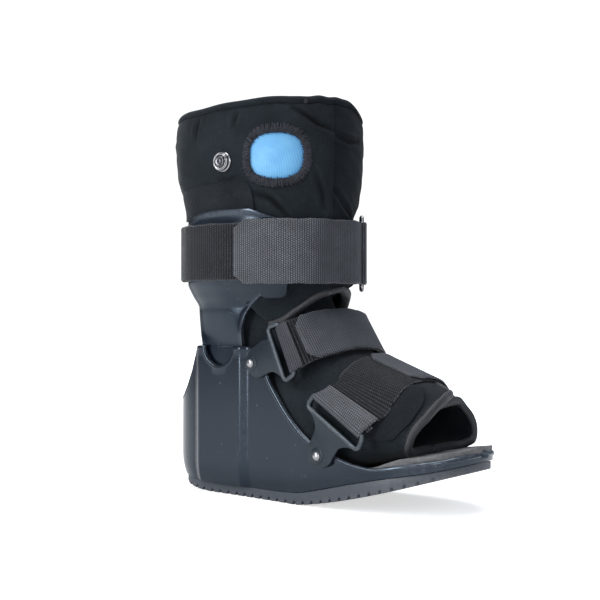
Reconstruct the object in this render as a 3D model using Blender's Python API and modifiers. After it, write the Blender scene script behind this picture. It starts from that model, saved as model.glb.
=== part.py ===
"""Short orthopaedic walking boot with a rocker sole, plastic shell, padded liner and three straps.

Metres, +Z up. The toe points along +X, the side with the air bulb faces -Y, and the origin is
on the floor under the middle of the sole. Lengths in the tables are shares of the named sizes.
"""

import math

import bmesh
import bpy
from mathutils import Matrix, Vector

# Overall sizes
SOLE_LENGTH = 0.282
FOREFOOT_WIDTH = 0.112
HEEL_WIDTH = 0.090
BOOT_HEIGHT = 0.3145
ANKLE_HEIGHT = 0.150
GAP = 0.0003

# Rocker outsole
OUTSOLE_THICKNESS = 0.0085
ROCKER_TOE_RISE = 0.033
ROCKER_HEEL_RISE = 0.007
ROCKER_START_SHARE = 0.52
ROCKER_HEEL_START_SHARE = 0.20
ROCKER_POWER = 1.3
MIDSOLE_SWELL = 0.003
TOE_THINNING = 0.0025
OUTSOLE_STEP_IN = 0.0006
TREAD_PITCH = 0.0090
TREAD_GROOVE_WIDTH = 0.0030
TREAD_GROOVE_DEPTH = 0.0024

# Plastic shell
SHELL_WALL = 0.0032
SHELL_SIDE_HEIGHT = 0.1195
SHELL_HEEL_HEIGHT = 0.074
TOE_RIM_HEIGHT = 0.0075
SHELL_BOTTOM_TUCK = 0.0028
SHELL_TUCK_HEIGHT = 0.016
POCKET_DEPTH = 0.0040
POCKET_REAR_SHARE = 0.155
POCKET_FRONT_SHARE = 0.340
POCKET_RAMP = 0.006
NOTCH_RADIUS = 0.0155
RIM_MARGIN = 0.002

# Insole pad on the shell's floor
INSOLE_THICKNESS = 0.005

# Side struts
STRUT_THICKNESS = 0.0033
STRUT_FOOT_HEIGHT = 0.045
STRUT_TOP_HEIGHT = 0.2265
STRUT_CLEARANCE = 0.0011
STRUT_SLANT = 0.0008
STRUT_SLANT_START = 0.020
STRUT_SLANT_END = 0.032
STRUT_EDGE_BAND = 0.012

# Padded liner
CALF_DEPTH = 0.163
CALF_WIDTH = 0.130
CALF_AXIS_SHARE = 0.295
CALF_WALL = 0.0070
FOOT_WALL = 0.0058
COLLAR_DIP = 0.0080
LINER_TUCK = 0.0035
TONGUE_RISE = 0.022
FLAP_FLARE = 0.0050
FLAP_FLARE_ROOM = 0.020
FRONT_LAP_STEP = 0.0022
FRONT_LAP_ANGLE = -15.6
BINDING_WIDTH = 0.0050

# Air bulb and release valve on the near side of the calf. Their heights, the bulb's size and
# the loop patch's top are shares of the collar, the part of the calf above the struts.
COLLAR_TALL = BOOT_HEIGHT - STRUT_TOP_HEIGHT
BULB_ANGLE = -54.0
BULB_HEIGHT = STRUT_TOP_HEIGHT + 0.460 * COLLAR_TALL
BULB_WIDTH = 0.043
BULB_TALL = 0.409 * COLLAR_TALL
BULB_BULGE = 0.0030
BULB_SEAT = 0.0006
BULB_SINK = 0.0020
VALVE_ANGLE = -87.0
VALVE_HEIGHT = STRUT_TOP_HEIGHT + 0.426 * COLLAR_TALL
VALVE_RADIUS = 0.0070
VALVE_BEVEL = 0.0006
VALVE_STAND = 0.0042
VALVE_BUTTON_RADIUS = 0.0046
VALVE_BUTTON_CLEARANCE = 0.0003
VALVE_BUTTON_TRAVEL = 0.0012
VALVE_FLOOR = 0.0012

# Straps
WEBBING = 0.0018
LAYER_GAP = 0.0005
CALF_STRAP_WIDTH = 0.050
CALF_WEBBING_WIDTH = 0.045
CALF_STRAP_HEIGHT = 0.1935
CALF_TAB_END = -79.0
ANKLE_STRAP_WIDTH = 0.038
ANKLE_RIDGE_X = 0.0225
ANKLE_RIDGE_Z = 0.1328
ANKLE_RIDGE_SLOPE = -53.0
FOREFOOT_STRAP_WIDTH = 0.050
FOREFOOT_INDEX = 1.72
FOREFOOT_SPREAD_SHARE = 0.62
STRAP_REST = 0.0016
TAB_CHAMFER = 0.007
ANKLE_TAB_REACH = 0.0125
FOREFOOT_TAB_REACH = 0.062
RING_WIRE = 0.0034
RING_OVERHANG = 0.0045
RING_ANGLE = 32.0
RING_SPARE = 0.0004
ANKLE_ANCHOR_RETURN = 0.0085
FOREFOOT_ANCHOR_RETURN = 0.014
ANCHOR_LAP = 0.0012
TAB_END_LIFT = 0.0006
WEBBING_END = 0.012

# Strap brackets riveted to the shell
PLATE_THICKNESS = 0.0034
LOBE_RADIUS = 0.0122
LOBE_REACH = 0.0230
SLOT_WIDTH = 0.0085
SLOT_SPARE = 0.0013
FRAME_RIM = 0.0036
BAR_WIDTH = 0.0032
ANKLE_RIVET_SHARE = 0.3734
ANKLE_RIVET_HEIGHT = 0.1066
ANKLE_SLOT_TILT = -65.2
FOREFOOT_RIVET_SHARE = 0.6195
FOREFOOT_RIVET_HEIGHT = 0.0404
FOREFOOT_SLOT_TILT = -31.5
RIVET_RADIUS = 0.0034
RIVET_HEAD = 0.0019
ANKLE_LOBE_X = -0.0028
ANKLE_RIVET_OFFSET = (-0.0018, -0.0068)
FOREFOOT_RIVET_OFFSET = (-0.0009, -0.0048)

# Loop patches sewn to the liner
PATCH_THICKNESS = 0.0010
PATCH_HEM = 0.006
PATCH_CORNER = 0.010
PATCH_TOP = STRUT_TOP_HEIGHT + 0.252 * COLLAR_TALL

# Share of the sole's length from the heel, and the shell's rim height as a share of the
# height between the parting line and the top of the sides.
RIM_TABLE = (
    # share, rim
    (0.000, 0.590), (0.030, 0.598), (0.075, 0.640), (0.120, 0.800), (0.150, 0.970),
    (0.162, 1.000), (0.400, 1.000), (0.412, 0.960), (0.430, 0.790), (0.462, 0.670),
    (0.513, 0.516), (0.588, 0.345), (0.688, 0.197), (0.738, 0.137), (0.802, 0.089),
)

# Calf wrap seen from above: height as a share of the way from the ankle to the collar,
# centre as a share of the sole's length, and half sizes as shares of the calf's.
CALF_TABLE = (
    # height, centre, depth, width
    (-0.08, 0.315, 0.730, 0.720),
    (0.000, 0.305, 0.775, 0.715),
    (0.060, 0.300, 0.840, 0.800),
    (0.120, 0.300, 0.915, 0.890),
    (0.180, 0.300, 0.945, 0.916),
    (0.400, 0.300, 0.945, 0.916),
    (0.460, 0.302, 0.940, 0.930),
    (0.570, 0.298, 0.970, 0.970),
    (0.810, 0.295, 1.000, 1.000),
    (1.000, 0.295, 0.985, 0.985),
)

# Lower edge of the calf wrap: angle from the front, and height as a share of the ankle's.
FLAP_TABLE = (
    # angle, height
    (0.0, 1.115), (20.0, 1.085), (38.0, 1.010), (52.0, 0.945), (64.0, 0.925),
    (72.0, 0.960), (80.0, 1.007), (90.0, 1.010), (180.0, 1.010),
)

# Foot wrap sections from the toe opening to the seam at the ankle. The sole end and the
# instep end are given by their share of the sole's length and of the ankle's height, the
# sole end's height being measured from the insole, and the half width by a share of half
# the forefoot. Fullness is the section's exponent, and drop moves its widest place down.
FOOT_TABLE = (
    # sole x, sole z, instep x, instep z, width, fullness, drop
    (0.865, 0.000, 0.884, 0.575, 0.775, 2.3, 0.30),
    (0.784, 0.000, 0.800, 0.633, 0.839, 2.4, 0.25),
    (0.677, 0.000, 0.713, 0.693, 0.884, 2.5, 0.20),
    (0.553, 0.000, 0.635, 0.750, 0.870, 2.6, 0.12),
    (0.411, 0.000, 0.571, 0.833, 0.835, 2.7, 0.05),
    (0.234, 0.000, 0.524, 0.920, 0.765, 2.7, 0.00),
    (0.082, 0.050, 0.503, 0.980, 0.735, 2.6, 0.00),
    (0.024, 0.210, 0.494, 1.027, 0.735, 2.4, 0.00),
    (0.028, 0.410, 0.490, 1.060, 0.715, 2.2, 0.00),
    (0.062, 0.640, 0.488, 1.087, 0.695, 2.1, 0.00),
)

# Strut seen from the side: height as a share of the strut's top, and its rear and front
# edges as shares of the sole's length.
STRUT_TABLE = (
    # height, rear, front
    (0.200, 0.171, 0.326),
    (0.420, 0.171, 0.326),
    (0.530, 0.169, 0.326),
    (0.575, 0.162, 0.326),
    (0.630, 0.158, 0.334),
    (0.672, 0.156, 0.358),
    (0.689, 0.155, 0.378),
    (0.706, 0.153, 0.400),
    (0.728, 0.151, 0.436),
    (0.7505, 0.149, 0.467),
    (0.7947, 0.149, 0.483),
    (0.870, 0.148, 0.486),
    (0.955, 0.149, 0.476),
    (1.000, 0.149, 0.476),
)
# Top edge of the strut: share of its width from rear to front, and height share.
STRUT_CROWN_TABLE = (
    # across, height
    (0.00, 0.950), (0.08, 0.972), (0.22, 0.991), (0.50, 1.000), (0.72, 1.000),
    (0.86, 0.982), (1.00, 0.960),
)

# Colour, roughness and metallic value of each material
FINISHES = {
    "black_rubber": ((0.035, 0.034, 0.038), 0.70, 0.0),
    "shell_plastic": ((0.045, 0.050, 0.060), 0.32, 0.0),
    "bracket_plastic": ((0.055, 0.062, 0.070), 0.38, 0.0),
    "insole_foam": ((0.060, 0.058, 0.060), 0.85, 0.0),
    "liner_fabric": ((0.012, 0.013, 0.015), 0.95, 0.0),
    "binding_tape": ((0.110, 0.105, 0.100), 0.80, 0.0),
    "loop_fabric": ((0.022, 0.019, 0.022), 0.95, 0.0),
    "black_webbing": ((0.020, 0.018, 0.020), 0.90, 0.0),
    "grey_webbing": ((0.075, 0.078, 0.088), 0.75, 0.0),
    "bulb_blue": ((0.14, 0.47, 0.80), 0.75, 0.0),
    "bright_metal": ((0.70, 0.70, 0.70), 0.25, 1.0),
}


def along(share):
    """X of a share of the sole's length, counted from the heel."""
    return (share - 0.5) * SOLE_LENGTH


def lookup(table, key, column=1):
    """Value of a table's column at key, straight between its rows."""
    if key <= table[0][0]:
        return table[0][column]
    for low, high in zip(table, table[1:]):
        if key <= high[0]:
            part = (key - low[0]) / (high[0] - low[0])
            return low[column] + part * (high[column] - low[column])
    return table[-1][column]


def smooth(low, high, value):
    """0 below low, 1 above high, and an S-curve between."""
    part = min(1.0, max(0.0, (value - low) / (high - low)))
    return part * part * (3.0 - 2.0 * part)


def clear_scene():
    for obj in list(bpy.data.objects):
        bpy.data.objects.remove(obj, do_unlink=True)


def make_materials():
    made = {}
    for name, (colour, roughness, metallic) in FINISHES.items():
        material = bpy.data.materials.new(name)
        material.use_nodes = True
        shader = material.node_tree.nodes["Principled BSDF"]
        shader.inputs["Base Color"].default_value = (*colour, 1.0)
        shader.inputs["Roughness"].default_value = roughness
        shader.inputs["Metallic"].default_value = metallic
        made[name] = material
    return made


class Workshop:
    """Holds the collections and the materials that every piece goes to."""

    def __init__(self):
        clear_scene()
        self.boot = bpy.data.collections.new("walking_boot")
        self.cutters = bpy.data.collections.new("cutters")
        for collection in (self.boot, self.cutters):
            bpy.context.scene.collection.children.link(collection)
        self.materials = make_materials()

    def add(self, name, mesh, finish, smooth_angle=40.0):
        obj = bpy.data.objects.new(name, mesh)
        self.boot.objects.link(obj)
        mesh.materials.clear()
        mesh.materials.append(self.materials[finish])
        mesh.shade_smooth()
        mesh.set_sharp_from_angle(angle=math.radians(smooth_angle))
        return obj

    def add_cutter(self, name, mesh):
        obj = bpy.data.objects.new(name, mesh)
        self.cutters.objects.link(obj)
        obj.hide_render = True
        obj.display_type = "WIRE"
        return obj


def mesh_from(name, points, faces, merge=GAP / 30.0):
    """Mesh of the given points and faces, with doubles merged and empty faces dropped."""
    mesh = bpy.data.meshes.new(name)
    mesh.from_pydata([tuple(p) for p in points], [], faces)
    work = bmesh.new()
    work.from_mesh(mesh)
    bmesh.ops.remove_doubles(work, verts=work.verts, dist=merge)
    work.to_mesh(mesh)
    work.free()
    return mesh


def grid_faces(rows, columns, closed=False, flip=False):
    """Quads of a grid whose points run row by row. Closed joins the last column to the first."""
    faces = []
    for r in range(rows - 1):
        for c in range(columns if closed else columns - 1):
            after = (c + 1) % columns
            quad = (r * columns + c, r * columns + after,
                    (r + 1) * columns + after, (r + 1) * columns + c)
            faces.append(quad[::-1] if flip else quad)
    return faces


def solidify(obj, thickness, offset=-1.0, even=True):
    modifier = obj.modifiers.new("thickness", "SOLIDIFY")
    modifier.thickness = thickness
    modifier.offset = offset
    modifier.use_even_offset = even
    return modifier


def boolean(obj, cutter, operation):
    modifier = obj.modifiers.new(operation.lower(), "BOOLEAN")
    modifier.object = cutter
    modifier.operation = operation
    return modifier


def evaluated_mesh(obj, name):
    graph = bpy.context.evaluated_depsgraph_get()
    return bpy.data.meshes.new_from_object(obj.evaluated_get(graph), depsgraph=graph)


def curve_mesh(name, curve, matrix):
    """Mesh of a curve object placed by matrix, with its caps welded."""
    obj = bpy.data.objects.new(name, curve)
    bpy.context.scene.collection.objects.link(obj)
    bpy.context.view_layer.update()
    mesh = evaluated_mesh(obj, name)
    bpy.data.objects.remove(obj, do_unlink=True)
    work = bmesh.new()
    work.from_mesh(mesh)
    bmesh.ops.remove_doubles(work, verts=work.verts, dist=GAP / 30.0)
    bmesh.ops.transform(work, matrix=matrix, verts=work.verts)
    work.to_mesh(mesh)
    work.free()
    return mesh


def flat_plate(name, outlines, thickness, matrix):
    """Plate between local z 0 and thickness, cut to the outlines, of which the later are holes."""
    curve = bpy.data.curves.new(name, "CURVE")
    curve.dimensions = "2D"
    curve.fill_mode = "BOTH"
    curve.extrude = thickness / 2.0
    for outline in outlines:
        spline = curve.splines.new("POLY")
        spline.points.add(len(outline) - 1)
        for point, (x, y) in zip(spline.points, outline):
            point.co = (x, y, 0.0, 1.0)
        spline.use_cyclic_u = True
    return curve_mesh(name, curve, matrix @ Matrix.Translation((0, 0, thickness / 2.0)))


def mirrored(shop, obj, name):
    """Copy of obj on the other side of the boot."""
    mesh = evaluated_mesh(obj, name)
    work = bmesh.new()
    work.from_mesh(mesh)
    bmesh.ops.transform(work, matrix=Matrix.Scale(-1.0, 4, (0, 1, 0)), verts=work.verts)
    bmesh.ops.reverse_faces(work, faces=work.faces)
    work.to_mesh(mesh)
    work.free()
    copy = bpy.data.objects.new(name, mesh)
    shop.boot.objects.link(copy)
    return copy


# Plan outline and levels of the sole


HEEL_CENTRE = -SOLE_LENGTH / 2.0 + HEEL_WIDTH / 2.0
TOE_CENTRE = SOLE_LENGTH * 0.27


def half_width(x):
    """Half width of the shell's plan outline at x."""
    heel, toe = HEEL_WIDTH / 2.0, FOREFOOT_WIDTH / 2.0
    if x < HEEL_CENTRE:
        return math.sqrt(max(0.0, heel ** 2 - (x - HEEL_CENTRE) ** 2))
    if x > TOE_CENTRE:
        share = min(1.0, (x - TOE_CENTRE) / (SOLE_LENGTH / 2.0 - TOE_CENTRE))
        return toe * max(0.0, 1.0 - share ** 2.15) ** (1.0 / 2.15)
    return heel + (toe - heel) * smooth(HEEL_CENTRE, TOE_CENTRE, x)


def outline_stations(heel_steps=5, side_steps=15, toe_steps=7):
    """Points (x, y) of the plan outline on the +Y side, from the heel's back to the toe's tip."""
    heel = HEEL_WIDTH / 2.0
    stations = []
    for i in range(heel_steps):
        angle = math.radians(90.0 * i / heel_steps)
        stations.append((HEEL_CENTRE - heel * math.cos(angle), heel * math.sin(angle)))
    for i in range(side_steps):
        x = HEEL_CENTRE + (TOE_CENTRE - HEEL_CENTRE) * i / side_steps
        stations.append((x, half_width(x)))
    for i in range(toe_steps + 1):
        angle = math.radians(90.0 * i / toe_steps)
        x = TOE_CENTRE + (SOLE_LENGTH / 2.0 - TOE_CENTRE) * math.sin(angle)
        stations.append((x, half_width(x) if i < toe_steps else 0.0))
    return stations


def plan_normals(stations):
    """Outward unit normal in plan at each station."""
    normals = []
    for i in range(len(stations)):
        before = stations[max(0, i - 1)]
        after = stations[min(len(stations) - 1, i + 1)]
        tangent = Vector((after[0] - before[0], after[1] - before[1], 0.0)).normalized()
        normals.append(Vector((-tangent.y, tangent.x, 0.0)))
    normals[0] = Vector((-1.0, 0.0, 0.0))
    normals[-1] = Vector((1.0, 0.0, 0.0))
    return normals


def tread_level(x):
    """Height of the outsole's underside, the rocker curve."""
    toe_start, heel_start = along(ROCKER_START_SHARE), along(ROCKER_HEEL_START_SHARE)
    if x > toe_start:
        share = (x - toe_start) / (SOLE_LENGTH / 2.0 - toe_start)
        return ROCKER_TOE_RISE * share ** ROCKER_POWER
    if x < heel_start:
        share = (heel_start - x) / (heel_start + SOLE_LENGTH / 2.0)
        return ROCKER_HEEL_RISE * share ** 1.5
    return 0.0


def parting_level(x):
    """Height of the line where the shell sits on the outsole."""
    swell = MIDSOLE_SWELL * math.sin(math.pi * smooth(along(0.40), along(1.0), x))
    thin = TOE_THINNING * smooth(along(0.80), along(1.0), x)
    heel_blend = ROCKER_HEEL_RISE * 0.75
    heel = heel_blend * max(0.0, (along(ROCKER_HEEL_START_SHARE) - x) / SOLE_LENGTH * 5.0) ** 1.5
    level = tread_level(x) if x > along(0.3) else min(tread_level(x), heel)
    return level + OUTSOLE_THICKNESS + swell - thin


def floor_level(x):
    """Height of the shell's inner floor."""
    slope = (parting_level(x + GAP) - parting_level(x - GAP)) / (2.0 * GAP)
    return parting_level(x) + SHELL_WALL * math.sqrt(1.0 + slope * slope) + GAP


def insole_level(x):
    """Height of the insole's top."""
    return floor_level(x) + GAP + INSOLE_THICKNESS


def rim_level(x):
    """Height of the shell's upper edge."""
    base = parting_level(x)
    share = (x + SOLE_LENGTH / 2.0) / SOLE_LENGTH
    height = lookup(RIM_TABLE, share) * (SHELL_SIDE_HEIGHT - base)
    if share < 0.075:
        height = (SHELL_HEEL_HEIGHT - base) * lookup(RIM_TABLE, share) / RIM_TABLE[0][1]
    return base + max(TOE_RIM_HEIGHT, height)


def pocket_bulge(x):
    """How far the shell's side stands out to make room for the strut."""
    rear, front = along(POCKET_REAR_SHARE), along(POCKET_FRONT_SHARE)
    rise = smooth(rear - POCKET_RAMP / 2.0, rear + POCKET_RAMP / 2.0, x)
    fall = smooth(front - POCKET_RAMP / 2.0, front + POCKET_RAMP / 2.0, x)
    return POCKET_DEPTH * rise * (1.0 - fall)


def tuck(x, z):
    """How far the shell's wall tucks in near the outsole."""
    share = max(0.0, 1.0 - (z - parting_level(x)) / SHELL_TUCK_HEIGHT)
    return SHELL_BOTTOM_TUCK * share ** 2


def shell_inner_half_width(x, z):
    """Half width of the free room inside the shell at x and height z."""
    if abs(x) >= SOLE_LENGTH / 2.0 - SHELL_WALL:
        return 0.0
    scale_x = x * SOLE_LENGTH / (SOLE_LENGTH - 2.0 * SHELL_WALL)
    return half_width(scale_x) - SHELL_WALL - tuck(x, z) + min(0.0, pocket_bulge(x))


# Sole pieces


def shell_stations():
    """Outline stations with closer ones where the pocket's ramps and the rim's corners are."""
    extra = []
    for share in (POCKET_REAR_SHARE, POCKET_FRONT_SHARE):
        for step in (-0.5, 0.0, 0.5):
            extra.append(along(share) + step * POCKET_RAMP)
    extra += [along(share) for share in (0.400, 0.430, 0.448)]
    base = [s for s in outline_stations() if min(abs(s[0] - x) for x in extra) > POCKET_RAMP * 0.58]
    return sorted(base + [(x, half_width(x)) for x in extra])


def build_shell(shop):
    """Open-topped shell: half a wall and floor, mirrored and given its thickness."""
    stations = shell_stations()
    normals = plan_normals(stations)
    rows = (0.0, 0.25, 1.0)
    upper = (0.30, 0.62, 1.0)
    across = (0.0, 0.5, 1.0)
    points = []
    for (x, y), normal in zip(stations, normals):
        base, rim = parting_level(x), rim_level(x)
        knee = min(SHELL_TUCK_HEIGHT, 0.6 * (rim - base))
        levels = [base + knee * r for r in rows]
        levels += [base + knee + (rim - base - knee) * u for u in upper]
        bottom = Vector((x, y, 0.0)) + normal * (pocket_bulge(x) - tuck(x, base))
        bottom.z = parting_level(bottom.x)
        column = [Vector((bottom.x, bottom.y * part, bottom.z)) for part in across]
        for z in levels[1:]:
            column.append(Vector((x, y, z)) + normal * (pocket_bulge(x) - tuck(x, z)))
        for point in (column[0], *(column[2:] if y == 0.0 else ())):
            point.y = 0.0
        points.extend(column)
    per_column = len(across) + len(rows) - 1 + len(upper)
    faces = grid_faces(len(stations), per_column)
    mesh = mesh_from("base_shell", points, faces)
    shell = shop.add("base_shell", mesh, "shell_plastic")
    mirror = shell.modifiers.new("other_side", "MIRROR")
    mirror.use_axis = (False, True, False)
    mirror.merge_threshold = GAP / 6.0
    solidify(shell, SHELL_WALL)
    notch = cylinder_mesh("strut_notch", NOTCH_RADIUS, FOREFOOT_WIDTH * 2.0, 20)
    turn = Matrix.Rotation(math.radians(90.0), 4, "X")
    middle = along((POCKET_REAR_SHARE + POCKET_FRONT_SHARE) / 2.0)
    notch.transform(Matrix.Translation((middle, 0.0, SHELL_SIDE_HEIGHT)) @ turn)
    cutter = shop.add_cutter("strut_notch", notch)
    boolean(shell, cutter, "DIFFERENCE")
    return shell


def cylinder_mesh(name, radius, length, sides):
    mesh = bpy.data.meshes.new(name)
    work = bmesh.new()
    bmesh.ops.create_cone(work, cap_ends=True, segments=sides, radius1=radius,
                          radius2=radius, depth=length)
    work.to_mesh(mesh)
    work.free()
    return mesh


def slab(name, stations, inset, low, high):
    """Closed plate between two levels that follow x, cut to the inset plan outline."""
    ring = []
    for (x, y), normal in zip(stations, plan_normals(stations)):
        point = Vector((x, y, 0.0)) - normal * inset
        point.y = max(0.0, point.y)
        ring.append(point)
    ring[0].y = ring[-1].y = 0.0
    points = []
    for p in ring:
        middle = Vector((p.x, 0.0, 0.0))
        for level, place in ((low, middle), (low, p), (high, p), (high, middle)):
            points.append(Vector((place.x, place.y, level(p.x))))
    faces = grid_faces(len(ring), 4)
    mesh = mesh_from(name, points, faces)
    return mesh


def add_mirror(obj):
    mirror = obj.modifiers.new("other_side", "MIRROR")
    mirror.use_axis = (False, True, False)
    mirror.merge_threshold = GAP / 6.0


def build_insole(shop):
    inset = SHELL_WALL + SHELL_BOTTOM_TUCK + 5.0 * GAP
    mesh = slab("insole", shell_stations(), inset,
                lambda x: floor_level(x) + GAP, insole_level)
    insole = shop.add("insole", mesh, "insole_foam")
    add_mirror(insole)
    return insole


def tread_profile():
    """Side outline (x, z) of the outsole, with a groove across it at every pitch."""
    half = SOLE_LENGTH / 2.0
    count = 2 * int(SOLE_LENGTH / TREAD_PITCH / 2.0)
    start = -(count - 1) / 2.0 * TREAD_PITCH
    groove = TREAD_GROOVE_WIDTH / 2.0
    lower = [(-half * 1.05, tread_level(-half))]
    for i in range(count):
        x = start + i * TREAD_PITCH
        for edge, depth in ((-groove, 0.0), (-groove * 0.6, 1.0),
                            (groove * 0.6, 1.0), (groove, 0.0)):
            level = tread_level(x + edge) + depth * TREAD_GROOVE_DEPTH
            lower.append((x + edge, level))
    lower.append((half * 1.05, tread_level(half)))
    upper = [(half * 1.05, parting_level(half) - GAP)]
    for x, _ in reversed(shell_stations()):
        upper.append((x, parting_level(x) - GAP))
    upper.append((-half * 1.05, parting_level(-half) - GAP))
    return lower + upper


def build_outsole(shop):
    """The rocker's side outline, cut to the plan outline."""
    width = FOREFOOT_WIDTH * 1.3
    turn = Matrix.Rotation(math.radians(90.0), 4, "X")
    place = Matrix.Translation((0.0, width / 2.0, 0.0)) @ turn
    profile = flat_plate("outsole", [tread_profile()], width, place)
    outsole = shop.add("outsole", profile, "black_rubber", 25.0)
    stations = outline_stations(5, 8, 7)
    inset = OUTSOLE_STEP_IN + SHELL_BOTTOM_TUCK
    tall = ROCKER_TOE_RISE + OUTSOLE_THICKNESS * 2.0
    plan = slab("outsole_plan", stations, inset, lambda x: -tall, lambda x: 2.0 * tall)
    cutter = shop.add_cutter("outsole_plan", plan)
    add_mirror(cutter)
    boolean(outsole, cutter, "INTERSECT")
    return outsole


# Liner


def calf_ring(z):
    """Centre x and half sizes of the calf wrap's outside at height z."""
    share = (z - ANKLE_HEIGHT) / (BOOT_HEIGHT - ANKLE_HEIGHT)
    centre = along(lookup(CALF_TABLE, share, 1)) - along(0.295) + along(CALF_AXIS_SHARE)
    depth = lookup(CALF_TABLE, share, 2) * CALF_DEPTH / 2.0
    width = lookup(CALF_TABLE, share, 3) * CALF_WIDTH / 2.0
    return centre, depth, width


def calf_point(angle, z, offset=0.0):
    """Point on the calf wrap's outside, angle in degrees from the front, pushed out by offset."""
    centre, depth, width = calf_ring(z)
    turn = math.radians(angle)
    normal = Vector((math.cos(turn) / depth, math.sin(turn) / width, 0.0)).normalized()
    point = Vector((centre + depth * math.cos(turn), width * math.sin(turn), z))
    return point + normal * offset


def calf_y(x, z):
    """Half width of the calf wrap at x and height z."""
    centre, depth, width = calf_ring(z)
    share = min(0.999, abs(x - centre) / depth)
    return width * math.sqrt(1.0 - share * share)


def collar_level(angle):
    return BOOT_HEIGHT - COLLAR_DIP * (1.0 - math.cos(math.radians(angle))) / 2.0


def lap_step(angle):
    """How far the far flap lies under the near flap, which ends at the lap angle."""
    under = smooth(FRONT_LAP_ANGLE - 0.5, FRONT_LAP_ANGLE + 0.5, angle)
    return FRONT_LAP_STEP * under * (1.0 - smooth(FRONT_LAP_ANGLE + 10.0, 75.0, angle))


def calf_angles():
    """Column angles of the calf wrap, with two close ones at the lap."""
    even = [-180.0 + 9.0 * i for i in range(40)]
    lap = [FRONT_LAP_ANGLE - 0.8, FRONT_LAP_ANGLE + 0.8]
    return sorted([a for a in even if abs(a - FRONT_LAP_ANGLE) > 3.0] + lap)


def flap_level(angle):
    """Height of the calf wrap's lower edge."""
    return lookup(FLAP_TABLE, abs(angle)) * ANKLE_HEIGHT


def flap_flare(angle, z):
    """How far the free front of the calf wrap stands off near its lower edge."""
    front = 1.0 - smooth(34.0, 60.0, abs(angle))
    room = CALF_STRAP_HEIGHT - CALF_STRAP_WIDTH / 2.0 - flap_level(angle)
    if room <= 0.0:
        return 0.0
    low = 1.0 - smooth(0.0, room, z - flap_level(angle))
    return FLAP_FLARE * front * low * min(1.0, room / FLAP_FLARE_ROOM)


def wrap_point(angle, z, offset=0.0):
    """Point on the calf wrap, its flare and its lap included."""
    return calf_point(angle, z, offset + flap_flare(angle, z) - lap_step(angle))


def build_calf_wrap(shop):
    """Padded tube round the calf, open at the top, with a free lower edge at the front."""
    knots = [ANKLE_HEIGHT + s * (BOOT_HEIGHT - ANKLE_HEIGHT) for s in (0.18, 0.27, 0.36, 0.46, 0.57)]
    angles = calf_angles()
    points = []
    for row in range(10):
        for angle in angles:
            low, top = flap_level(angle), collar_level(angle)
            if row < 3:
                z = low + (knots[0] - low) * row / 3.0
            elif row < 8:
                z = knots[row - 3]
            else:
                z = knots[-1] + (top - knots[-1]) * (row - 7.0) / 2.0
            points.append(wrap_point(angle, z))
    faces = grid_faces(10, len(angles), closed=True)
    wrap = shop.add("calf_wrap", mesh_from("calf_wrap", points, faces), "liner_fabric")
    solidify(wrap, CALF_WALL, even=False)
    window = bulb_mesh("bulb_window", GAP * 2.0, CALF_WALL * 3.0, flat=True)
    boolean(wrap, shop.add_cutter("bulb_window", window), "DIFFERENCE")
    return wrap


def foot_section(index):
    """Ends and shape of the foot wrap's section at a place in its table, which may lie between rows."""
    low = min(int(index), len(FOOT_TABLE) - 2)
    part = index - low
    row = [a + part * (b - a) for a, b in zip(FOOT_TABLE[low], FOOT_TABLE[low + 1])]
    sole_x, sole_z, instep_x, instep_z, width, fullness, drop = row
    x = along(sole_x)
    sole = Vector((x, 0.0, insole_level(x) + GAP + sole_z * ANKLE_HEIGHT))
    instep = Vector((along(instep_x), 0.0, instep_z * ANKLE_HEIGHT))
    return sole, instep, width * FOREFOOT_WIDTH / 2.0, fullness, drop


def foot_point(index, angle, offset=0.0):
    """Point on the foot wrap's outside. Angle 0 is the instep, 180 the sole, and -90 the near side."""
    sole, instep, width, fullness, drop = foot_section(index)
    turn = math.radians(angle)
    c, s = math.cos(turn), math.sin(turn)
    up = math.copysign(abs(c) ** (2.0 / fullness), c)
    side = math.copysign(abs(s) ** (2.0 / fullness), s)
    up -= drop * (1.0 - up * up)
    middle, reach = (sole + instep) / 2.0, (instep - sole) / 2.0
    point = middle + reach * up + Vector((0.0, width * side, 0.0))
    normal = reach.normalized() * c * width + Vector((0.0, s * reach.length, 0.0))
    point += normal.normalized() * offset
    if point.z < rim_level(point.x) + RIM_MARGIN and offset == 0.0:
        room = shell_inner_half_width(point.x, point.z) - GAP * 3.0
        point.y = max(-room, min(room, point.y))
        point.z = max(point.z, insole_level(point.x) + GAP)
    return point


def build_foot_wrap(shop):
    """Padded bootee: open at the toe, closed round the heel, tucked into the calf wrap."""
    columns = 30
    count = len(FOOT_TABLE)
    steps = [0.0, 0.5, 1.0, 1.6, 2.3, 3.0, 3.5, 4.0, 4.5, 5.0, 5.5, 6.0, 6.5, 7.0, 8.0, 9.0]
    points = []
    for step in steps:
        points.extend(foot_point(step, 360.0 * c / columns - 180.0) for c in range(columns))
    for share in (0.55, 1.0):
        for c in range(columns):
            angle = 360.0 * c / columns - 180.0
            start = foot_point(count - 1, angle)
            front = 1.0 - smooth(30.0, 75.0, abs(angle))
            level = flap_level(180.0) + LINER_TUCK + TONGUE_RISE * front
            inside = calf_point(angle, level, -CALF_WALL - LINER_TUCK * 0.8)
            points.append(start.lerp(inside, share))
    faces = grid_faces(len(steps) + 2, columns, closed=True)
    mesh = mesh_from("foot_wrap", points, faces)
    wrap = shop.add("foot_wrap", mesh, "liner_fabric")
    solidify(wrap, FOOT_WALL, even=False)
    return wrap


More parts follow.
